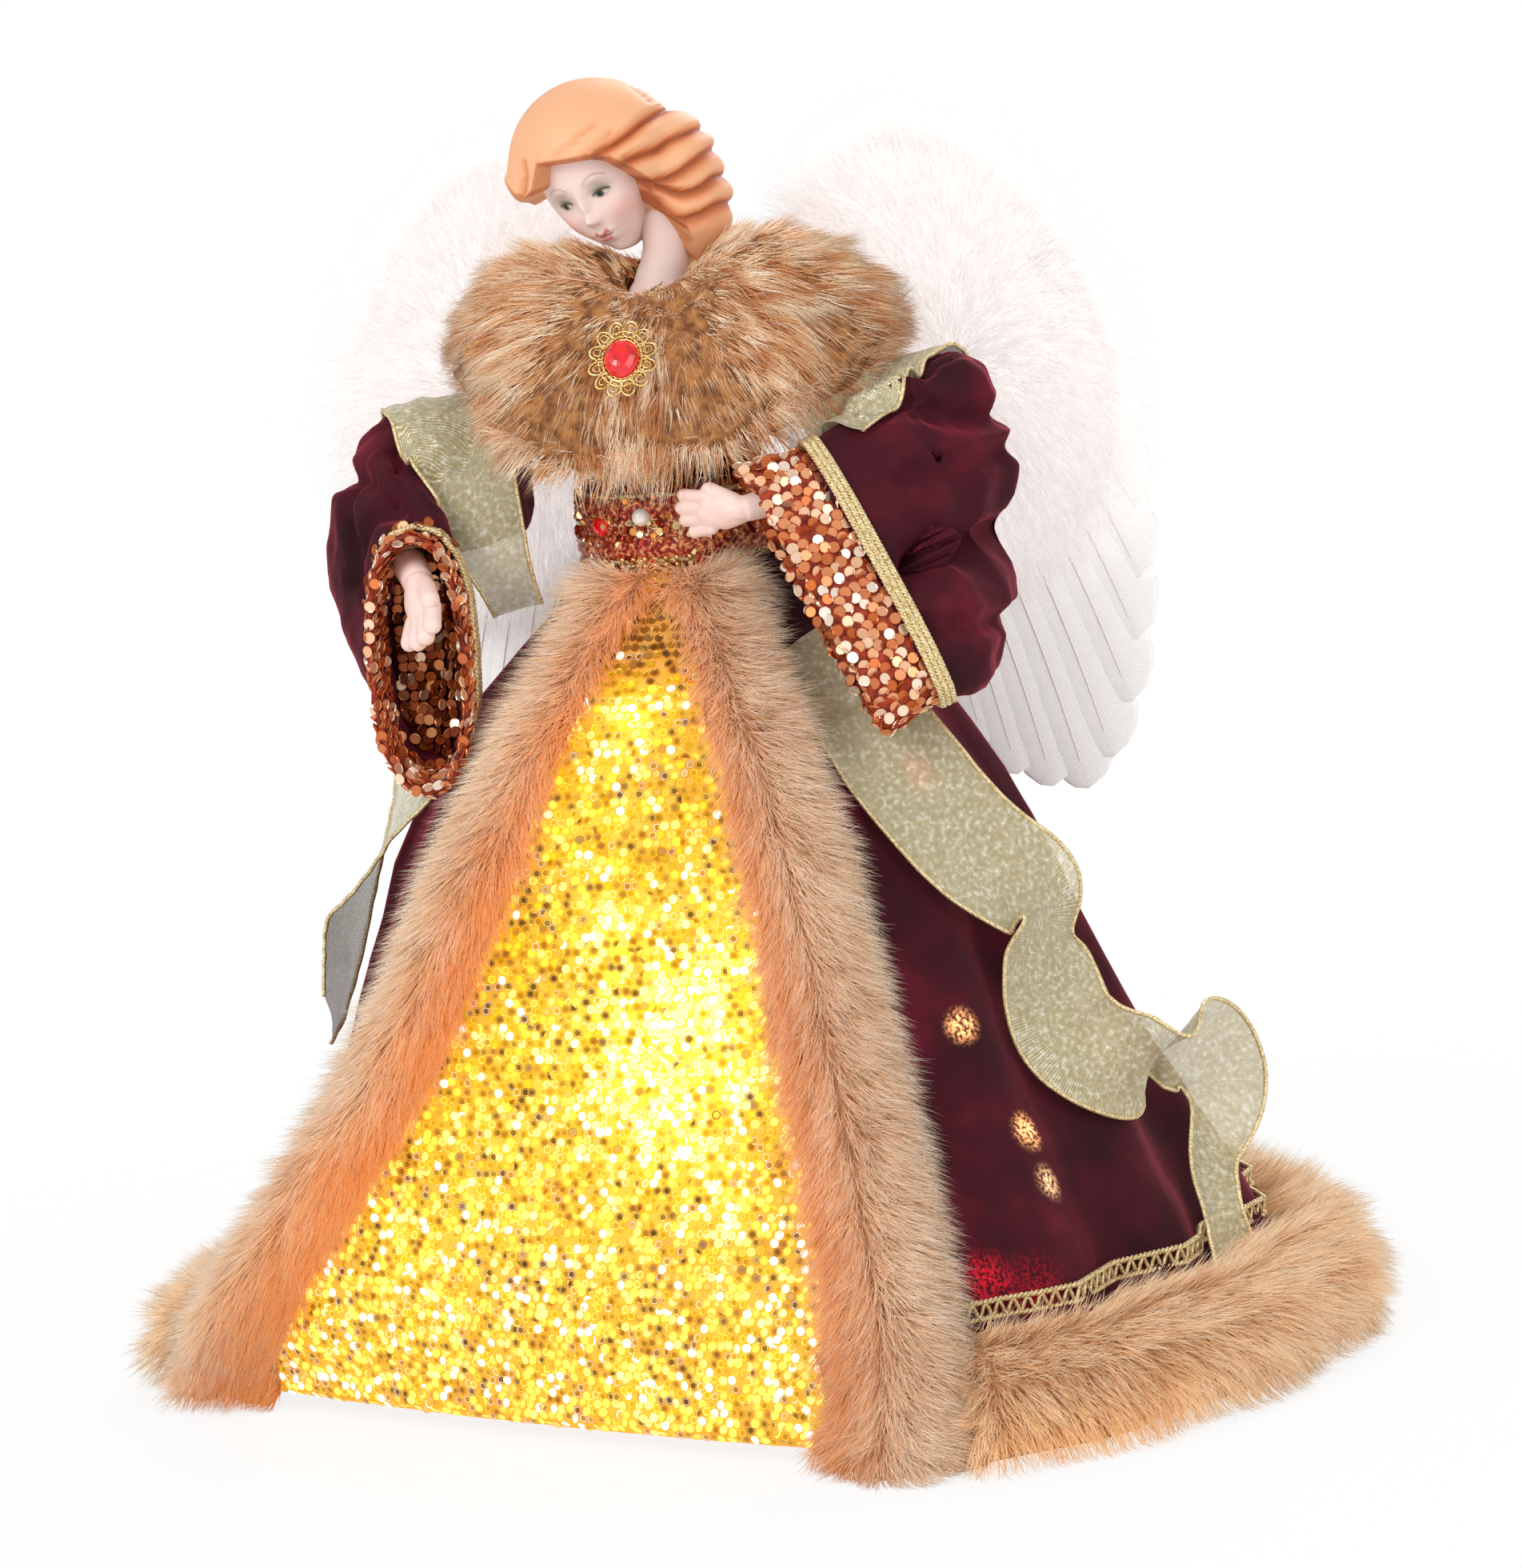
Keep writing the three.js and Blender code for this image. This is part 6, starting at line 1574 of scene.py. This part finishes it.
def mouth_seats(side, pitch):
    """Places in rows on the cloth that lies inside a cuff's mouth, with the normal at each."""
    path, normal = loop_around(f"cuff_braid_{side}")
    middle = path.mean(0)
    low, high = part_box(f"sleeve_{side}")
    into = normal * (1 if ((np.array(low + high) / 2 - middle) * normal).sum() > 0 else -1)
    right = unit(path[0] - middle)
    over = np.cross(into, right)
    across, up = (path - middle) @ right, (path - middle) @ over
    turns, reach = np.arctan2(up, across), np.hypot(across, up)
    tree = tree_of(f"sleeve_{side}", f"arm_{side}")
    steps = np.arange(-reach.max(), reach.max(), pitch)
    places, normals = [], []
    for a in steps:
        for b in steps:
            if math.hypot(a, b) > 0.97 * np.interp(math.atan2(b, a), turns, reach, period=math.tau):
                continue
            start = Vector(middle + right * a + over * b - into * 0.02)
            hit, facing, _, _ = tree.ray_cast(start, Vector(into))
            if hit is not None:
                places.append(hit[:])
                normals.append(facing[:])
    return np.array(places), np.array(normals)


def cuff_lining(sequin):
    """Sequins sewn inside the mouth of the hanging cuff, where its net lies over the sleeve."""
    rng = np.random.default_rng(57)
    places, normals = mouth_seats("right", CUP_PITCH * 0.8)
    places = places + rng.normal(0, 0.3 * MM, places.shape)
    shape = cup_shape(10, 0.7)
    count = len(places)
    cups = laid(shape, places + normals * 2.3 * MM, normals, np.full(count, CUP_PITCH * 0.5),
                rng.normal(0, 0.24, (count, 3)), rng.uniform(0, math.tau, count))
    # Painted shade: these cups are darker than the outer ones, as inside the mouth; the palest few are
    # painted highlights.
    own = rng.random(count) ** 1.6
    paint(cups, each(blend_tones(own, (0, "#7c3418"), (0.4, "#b4622e"), (0.8, "#dc9a66"), (1, "#f8dcc0")),
                     shape))
    piece("cuff_lining_right", cups, sequin, "arm_right", [], smooth=False)


def belt_spangles(sequin):
    """Small spangles worked into the belt's braid."""
    rng = np.random.default_rng(71)
    spread = Scatter(merged_copy("belt"), SPANGLE_TRIES, rng,
                     lambda middle, facing: (facing * middle).sum(1) > 0.01)
    chosen = apart(spread.place, spread.normal, SPANGLE_PITCH)
    places, normals = spread.place[chosen], spread.normal[chosen]
    shape = cup_shape(8, 0.6)
    count = len(places)
    cups = laid(shape, places + normals * 1.5 * MM, normals, rng.uniform(0.7, 1.15, count) * MM,
                rng.normal(0, 0.45, (count, 3)), rng.uniform(0, math.tau, count))
    # Colours run from red through copper and gold to near white; the near-white spangles are painted glints.
    own = rng.random(count)
    paint(cups, each(blend_tones(own, (0, "#9c1c18"), (0.35, "#c8502c"), (0.6, "#e8a050"), (0.85, "#f8dc9c"),
                                 (1, "#fffaf0")), shape))
    piece("belt_spangles", cups, sequin, "figure", [], smooth=False)


def apart(places, normals, least):
    """Indices of places, taken in order, at least a given distance apart on the same side of the cloth."""
    cells = {}
    kept = []
    for i, p in enumerate(places):
        key = tuple(int(c // least) for c in p)
        near = (cells.get((key[0] + a, key[1] + b, key[2] + c), []) for a in (-1, 0, 1) for b in (-1, 0, 1)
                for c in (-1, 0, 1))
        others = [j for group in near for j in group if (normals[i] * normals[j]).sum() > 0]
        if all(np.linalg.norm(p - places[j]) >= least for j in others):
            kept.append(i)
            cells.setdefault(key, []).append(i)
    return np.array(kept)


def strip_grid(rows, across):
    """A flat grid of quads, its points row by row, and the row and column of each point."""
    bm = bmesh.new()
    bmesh.ops.create_grid(bm, x_segments=across - 1, y_segments=rows - 1, size=0.5)
    mesh = mesh_of(bm, "strip")
    flat = points_of(mesh)
    column = np.rint((flat[:, 0] + 0.5) * (across - 1)).astype(int)
    row = np.rint((flat[:, 1] + 0.5) * (rows - 1)).astype(int)
    return mesh, row, column


def bent_strip(name, centre, sideways, width, finish, edge_finish, body, nodes, flat, curl,
               swing=0.0, seed=0.0, press=None, clear=None):
    """A ribbon along centre points: sideways gives its width direction at each, curl lifts its middle."""
    rows, across = len(centre), RIBBON_COLUMNS
    mesh, row, column = strip_grid(rows, across)
    u = column / (across - 1) - 0.5
    ahead = unit(np.gradient(centre, axis=0))
    sideways = unit(sideways - (sideways * ahead).sum(1, keepdims=True) * ahead)
    facing = np.cross(sideways, ahead)
    lift = curl * (1 - (2 * u) ** 2)
    run = np.concatenate([[0], np.cumsum(np.linalg.norm(np.diff(centre, axis=0), axis=1))])
    crinkle = swing * np.sin(run[row] / (7 * MM) * math.tau + seed) * (2 * np.abs(u)) ** 1.5 * np.sign(u)
    place = centre[row] + sideways[row] * (u * width[row])[:, None] + facing[row] * (lift + crinkle)[:, None]
    order = np.lexsort((column, row)).reshape(rows, across)
    if press is not None:
        place = press(place)
        grid = place[order]
        for _ in range(5):
            grid[1:-1] = (grid[:-2] + 2 * grid[1:-1] + grid[2:]) / 4
            grid[:, 1:-1] = (grid[:, :-2] + 2 * grid[:, 1:-1] + grid[:, 2:]) / 4
        place[order] = grid
    place = place + 0.35 * MM * ripple(place, 6 * MM, seed)[:, None] * facing[row]
    if clear is not None:
        place = clear(place)
    set_points(mesh, place)
    lay_flat(mesh, "cloth", np.stack([u * flat[0], run[row]], 1))
    made = piece(name, mesh, finish, body, nodes)
    bm = bmesh.new()
    for edge in (0, across - 1):
        bm.from_mesh(tube(place[order[:, edge]], RIBBON_WIRE))
    bmesh.ops.recalc_face_normals(bm, faces=bm.faces)
    wires = piece(f"{name}_edges", bm, edge_finish, body)
    return made


# Ribbons over the arms: where the middle of each runs, in millimetres, from behind the shoulder to the front,
# and the way its width lies. The cloth is then pressed onto the sleeve that carries it.
ARM_RIBBONS = {
    "right": (
        [(-58, 24, 222), (-60, 12, 238), (-57, -4, 243), (-52, -18, 238), (-46, -27, 224), (-41, -27, 208),
         (-38, -24, 196)],
        [(1, 0, 0.3), (1, 0, 0.3), (1, 0, 0.35), (1, -0.1, 0.5), (1, -0.1, 0.5), (0.9, -0.1, 0.4),
         (0.8, -0.1, 0.3)],
    ),
    "left": (
        [(63, 25, 236), (62, 14, 248), (58, 0, 255), (53, -12, 252), (48, -21, 245), (43, -28, 237)],
        [(1, 0, -0.3), (1, 0, -0.4), (1, 0, -0.5), (0.9, -0.2, -0.6), (0.8, -0.3, -0.7), (0.7, -0.3, -0.7)],
    ),
}
RIBBON_WIDTH = 36 * MM
RIBBON_COLUMNS = 25
RIBBON_WIRE = 0.55 * MM
RIBBON_GAP = 2.0 * MM


def arm_ribbons(organza, gold_cord, carriers):
    for side, (places, sides) in ARM_RIBBONS.items():
        rows = 90
        centre = smooth_path([Vector(p) * MM for p in places], rows)
        even = np.linspace(0, 1, rows)
        own = np.linspace(0, 1, len(sides))
        ways = np.stack([np.interp(even, own, [s[k] for s in sides]) for k in range(3)], 1)
        length = np.linalg.norm(np.diff(centre, axis=0), axis=1).sum()
        narrow = 0.55 * step(0.5, 1.0, even) if side == "right" else 0 * even
        bent_strip(f"arm_ribbon_{side}", centre, ways, RIBBON_WIDTH * (0.92 - narrow), organza, gold_cord,
                   f"arm_{side}", [f"ribbon_band_{side}"], (RIBBON_WIDTH, length),
                   1.0 * MM, 0.2 * MM, 2.0,
                   lambda p: pressed(p, carriers[side], False),
                   lambda p: pressed(p, carriers[side], True))


def pressed(place, carrier, lift_only, reach=0.014):
    """Cloth points moved onto the outside of what carries them. With lift_only no point moves inwards."""
    bm = bmesh.new()
    bm.from_mesh(carrier.data)
    tree = BVHTree.FromBMesh(bm)
    bm.free()
    low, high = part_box(carrier.name.replace("velvet_", ""))
    middle = (low + high) / 2
    moved = []
    for p in place.tolist():
        out = (Vector(p) - middle).normalized()
        hit, _, _, _ = tree.ray_cast(Vector(p) + out * 0.03, -out)
        near = hit is not None and (hit - Vector(p)).length < reach
        stays = near and lift_only and (hit - Vector(p)).dot(out) < -RIBBON_GAP
        moved.append((hit + out * RIBBON_GAP)[:] if near and not stays else p)
    return np.array(moved)


# Falls of ribbon down the robe: degrees round from the front, height, stand off and width in millimetres,
# and the way its width lies: round the robe, up and outwards.
RIBBON_FALLS = {
    "left": [
        (50, 186, 4, 20, (0.8, 0.6, 0)), (52, 172, 5, 27, (0.8, 0.6, 0)),
        (55, 152, 7, 30, (0.8, 0.6, 0)), (60, 134, 10, 31, (0.78, 0.62, 0)),
        (68, 119, 14, 29, (0.72, 0.7, 0)), (67, 109, 10, 27, (0.72, 0.7, 0)),
        (66, 98, 7, 28, (0.74, 0.66, 0.1)), (66, 87, 6, 28, (0.75, 0.6, 0.25)),
        (69, 79, 9, 26, (0.7, 0.55, 0.4)), (74, 75, 14, 26, (0.6, 0.56, 0.5)),
        (79, 79, 19, 27, (0.5, 0.6, 0.6)), (84, 73, 20, 25, (0.5, 0.5, 0.65)),
        (83, 62, 17, 19, (0.6, 0.3, 0.7)), (79, 50, 10, 12, (0.8, 0.1, 0.6)),
        (76, 39, 7, 12, (0.95, 0.1, 0.3)), (75, 28, 6, 18, (1, 0.1, 0.1)),
        (74, 17, 6, 23, (1, 0.1, 0)),
    ],
    "right": [
        (-72, 172, 5, 22, (0.3, -0.95, 0)), (-78, 155, 7, 27, (0.5, -0.86, 0.1)),
        (-84, 138, 9, 29, (0.75, -0.6, 0.2)), (-88, 122, 11, 30, (0.95, -0.2, 0.2)),
        (-86, 106, 9, 28, (1, 0.1, 0.1)), (-80, 94, 6, 24, (1, 0.2, 0)),
    ],
}


def off_skirt(place):
    """Cloth points moved outwards where they would lie inside the skirt."""
    moved = place.copy()
    for i, (x, y, z) in enumerate(place.tolist()):
        level = min(max(z, ROBE_FOOT + 2 * MM), WAIST - 4 * MM)
        hit = on_skirt(math.atan2(x, -y), level)
        reach = math.hypot(hit.x, hit.y) + 1.8 * MM
        moved[i, :2] *= max(1.0, reach / math.hypot(x, y))
    return moved


def ribbon_falls(organza, gold_cord):
    for side, stations in RIBBON_FALLS.items():
        rows = 170
        spots, ways, widths = [], [], []
        for degrees, height, off, width, way in stations:
            angle = math.radians(degrees)
            out = outward(angle)
            around = Vector((math.cos(angle), math.sin(angle), 0))
            spots.append((skirt_crest(angle, height * MM) + off * MM) * out + Vector((0, 0, height * MM)))
            ways.append(around * way[0] + Vector((0, 0, 1)) * way[1] + out * way[2])
            widths.append(width * MM)
        centre = smooth_path(spots, rows)
        own = np.concatenate([[0], np.cumsum([(b - a).length for a, b in zip(spots, spots[1:])])])
        even = np.linspace(0, own[-1], rows)
        ways = np.stack([np.interp(even, own, [w[k] for w in ways]) for k in range(3)], 1)
        width = np.interp(even, own, widths)
        length = np.linalg.norm(np.diff(centre, axis=0), axis=1).sum()
        bent_strip(f"ribbon_fall_cloth_{side}", centre, ways, width, organza, gold_cord, "figure",
                   [f"ribbon_fall_{side}"], (RIBBON_WIDTH, length), 1.2 * MM, 0.15 * MM,
                   5.0, off_skirt)


def skirt_crest(angle, height):
    """How far out the robe's fold crests stand near an angle."""
    reach = 0
    for shift in (-0.12, -0.06, 0, 0.06, 0.12):
        spot = on_skirt(angle + shift, height)
        reach = max(reach, math.hypot(spot.x, spot.y))
    return reach


# Wings. Each is laid out flat: x out along the wing, y through it towards the back, in millimetres.
WING_HINGE = Vector((9, 40, 0)) * MM
WING_SWEEP = math.radians(12)
WING_FLIGHTS = [
    ((20, 236), (37, 163), 15), ((24, 232), (45, 152), 16), ((30, 229), (53, 145), 17),
    ((36, 228), (61, 136), 18), ((42, 229), (70, 132), 18), ((47, 232), (79, 130.5), 18),
    ((51, 237), (86, 138), 18), ((54, 243), (92, 152), 17), ((56, 249), (95, 168), 17),
    ((57, 254), (97, 184), 16), ((58, 259), (97, 202), 16), ((58, 264), (95, 222), 15),
]
WING_COVERTS = [
    ((18, 250), (34, 202), 15), ((26, 250), (46, 196), 16), ((34, 251), (58, 192), 17),
    ((42, 254), (68, 194), 17), ((49, 260), (78, 202), 17), ((54, 267), (86, 214), 16),
    ((57, 275), (90, 230), 16), ((58, 284), (90, 248), 15),
]


def wing_matrix(sign):
    flat = Matrix.Translation(WING_HINGE) @ Matrix.Rotation(WING_SWEEP, 4, "Z")
    return Matrix.Diagonal((sign, 1, 1, 1)) @ flat


def vane_shape(rows, across):
    """A thin flat blade: x across it from -0.5 to 0.5, y along it and z through it from 0 to 1."""
    bm = bmesh.new()
    bmesh.ops.create_grid(bm, x_segments=across - 1, y_segments=rows - 1, size=0.5)
    bmesh.ops.solidify(bm, geom=bm.faces[:], thickness=0.01)
    mesh = mesh_of(bm, "vane")
    place = points_of(mesh)
    place[:, 2] = (place[:, 2] - place[:, 2].min()) / np.ptp(place[:, 2])
    place[:, 1] = place[:, 1] + 0.5
    set_points(mesh, place)
    return mesh


VANE_THICKNESS = 0.25 * MM
VANE_CAMBER = 0.07
VANE_TILT = math.radians(5)
VANE_FULLNESS = 1.15


def vane_points(unit_points, root, tip, width, depth, bow, rng):
    """The points of one feather's vane in the flat wing's frame, its shades, and its places for the barbs."""
    u, share, through = unit_points.T
    root, tip = np.array([root[0], 0, root[1]]) * MM, np.array([tip[0], 0, tip[1]]) * MM
    length = np.linalg.norm(tip - root)
    ahead = (tip - root) / length
    side = np.array([-ahead[2], 0, ahead[0]])
    share = share ** 0.9
    rounding = np.clip(1 - (np.maximum(share - 0.80, 0) / 0.2) ** 2.2, 0, 1)
    profile = step(-0.04, 0.22, share) * np.sqrt(rounding)
    hand = np.where(u > 0, 0.60, 0.40)
    notch = np.zeros(len(u))
    for _ in range(3):
        at = rng.uniform(0.35, 0.9)
        on = rng.choice([-1, 1])
        notch = np.maximum(notch, 0.3 * np.clip(1 - np.abs(share - at - 0.05 * np.abs(u)) / 0.014, 0, 1)
                           * (np.sign(u) == on) * step(0.15, 0.5, np.abs(u)))
    edge = 1 + 0.03 * np.sin(share * 60 + rng.uniform(0, 6)) + 0.02 * np.sin(share * 145 + rng.uniform(0, 6))
    off = 2 * u * hand * width * MM * profile * (1 - notch) * edge
    arch = bow * np.sin(share * math.pi)
    camber = VANE_CAMBER * width * MM * (2 * u) ** 2 + off * math.sin(VANE_TILT)
    place = root + (share * length)[:, None] * ahead + (off + arch)[:, None] * side
    place[:, 1] += depth + 2.5 * MM * (share - 0.3) ** 2 + camber * profile + through * VANE_THICKNESS
    shade = 0.55 + 0.45 * step(0.0, 0.5, share) - 0.25 * np.exp(-(np.abs(u) / 0.05) ** 2)
    return place, shade, np.stack([np.abs(off), share * length], 1)


def shaft_line(root, tip, depth, bow):
    """The middle line of a feather's shaft, in the flat wing's frame."""
    root, tip = np.array([root[0], 0, root[1]]) * MM, np.array([tip[0], 0, tip[1]]) * MM
    length = np.linalg.norm(tip - root)
    ahead = (tip - root) / length
    side = np.array([-ahead[2], 0, ahead[0]])
    share = np.linspace(0, 0.93, 26)
    line = root + (share * length)[:, None] * ahead + (bow * np.sin(share * math.pi))[:, None] * side
    line[:, 1] += depth + 2.5 * MM * (share - 0.3) ** 2 - 0.1 * MM
    return line


def in_world(points, matrix):
    m = np.array(matrix)
    return points @ m[:3, :3].T + m[:3, 3]


def wings(feather, fluff):
    for side, sign in SIDES.items():
        matrix = wing_matrix(sign)
        rng = np.random.default_rng(71 + sign)
        flights(side, matrix, rng, feather, WING_FLIGHTS, "flight", 1.2 * MM, [f"wing_flights_{side}"])
        flights(side, matrix, rng, feather, WING_COVERTS, "covert", -2.6 * MM, [])
        down(side, rng, fluff)


def flights(side, matrix, rng, feather, table, name, depth, nodes):
    """Overlapping broad feathers: a cambered vane and a fine shaft each."""
    shape = vane_shape(64, 13)
    unit_points = points_of(shape)
    mesh = copies(shape, len(table))
    places, shades, barbs, shafts = [], [], [], bmesh.new()
    for i, (root, tip, width) in enumerate(table):
        own_depth = depth + 0.45 * MM * i * (1 if depth > 0 else -1)
        bow = (1.5 + 0.25 * i) * MM
        place, shade, barb = vane_points(unit_points, root, tip, width * VANE_FULLNESS, own_depth, bow, rng)
        places.append(in_world(place, matrix))
        shades.append(shade)
        barbs.append(barb)
        line = in_world(shaft_line(root, tip, own_depth, bow), matrix)
        shafts.from_mesh(tube(line, 0.36 * MM, 6, radii=np.linspace(1, 0.2, len(line))))
    set_points(mesh, np.concatenate(places))
    lay_flat(mesh, "barbs", np.concatenate(barbs))
    paint(mesh, blend_tones(np.concatenate(shades), (0, "#e2d6d4"), (0.6, "#f7f1f0"), (1, "#ffffff")))
    bm = bmesh.new()
    bm.from_mesh(mesh)
    bmesh.ops.recalc_face_normals(bm, faces=bm.faces)
    bm.to_mesh(mesh)
    bm.free()
    piece(f"{name}_vanes_{side}", mesh, feather, f"wing_{side}", nodes)
    bmesh.ops.recalc_face_normals(shafts, faces=shafts.faces)
    mesh = mesh_of(shafts, "shafts")
    paint(mesh, np.tile(rgb("#cfc4bd"), (len(mesh.vertices), 1)))
    piece(f"{name}_shafts_{side}", mesh, feather, f"wing_{side}")


def down(side, rng, feather):
    """Marabou down over the front and edge of the wing: an inset pillow and long soft strands."""
    node = f"wing_down_{side}"
    core = fur_core(f"down_pillow_{side}", node, feather, 1.2 * MM, f"wing_{side}")
    pillow = bpy.data.objects[f"down_pillow_{side}"].data
    paint(pillow, np.tile(rgb("#fdf9f8"), (len(pillow.vertices), 1)))
    low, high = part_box(node)
    centre = np.array([(low.x + high.x) / 2, 0, (low.z + high.z) / 2 - 0.01])

    def front(middle, facing):
        return (facing[:, 1] < 0.35) * 1.0

    scatter = Scatter(core, DOWN_STRANDS, rng, front)
    core.free()
    away = unit((scatter.place - centre) * [1, 0, 1])
    way = away * 0.75 + np.array([0, -0.2, -0.35])
    ways, reach, bends = comb(scatter, rng, way, 0.5, np.full(len(way), 0.014), 0.3, 1500, 0.2)
    reach = reach * rng.uniform(0.6, 1.3, len(reach))
    shape = strand_shape()
    mesh, _ = planted(shape, scatter.place, ways, reach, 0.12 * MM * rng.uniform(0.7, 1.3, len(reach)), bends)
    own = blend_tones(rng.random(len(reach)), (0, "#f2eae8"), (0.5, "#fbf8f7"), (1, "#ffffff"))
    paint(mesh, each(own, shape))
    piece(f"down_strands_{side}", mesh, feather, f"wing_{side}")


# Build

camera()
stage()
scene = bpy.context.scene
scene.view_settings.view_transform = "Standard"

velvet = material("burgundy_velvet", velvet_shader)
CAD_FINISHES = {
    "card": card, "lamp_holder": plastic, "bulb": bulb, "velvet": velvet, "sequin": lit_net,
    "fur": fur_backing, "gold_braid": gold_cord, "gilt_metal": gilt, "cloth": cotton,
    "belt_braid": belt_braid, "stone": ruby, "pearl": pearl, "porcelain": bisque,
    "copper_sequin": copper_sequin, "organza": organza, "wire": wire_metal, "feather": feather,
}
for part in frame["record"]["subparts"]:
    data = frame["nodes"][part["node"]].data
    data.materials.clear()
    data.materials.append(CAD_FINISHES[part["material_slot"]])

robe(velvet)
sequin_panel(lit_net, gold_sequin)
fur_cape(fur, cape_backing)
front_furs(fur, fur_backing)
hem_fur(fur, fur_backing)
porcelain_head(bisque)
hands(bisque)
brooch(gilt, ruby)
belt(belt_braid, gold_cord, ruby, pearl, gilt)
cuff_braids(gold_cord)
hem_braid(gold_cord)
covered_arms = sleeves(velvet)
bodice(velvet)
cuffs(cuff_net, copper_sequin)
cuff_lining(copper_sequin)
belt_spangles(copper_sequin)
arm_ribbons(organza, gold_cord, covered_arms)
ribbon_falls(organza, gold_cord)
wings(feather, fluff)
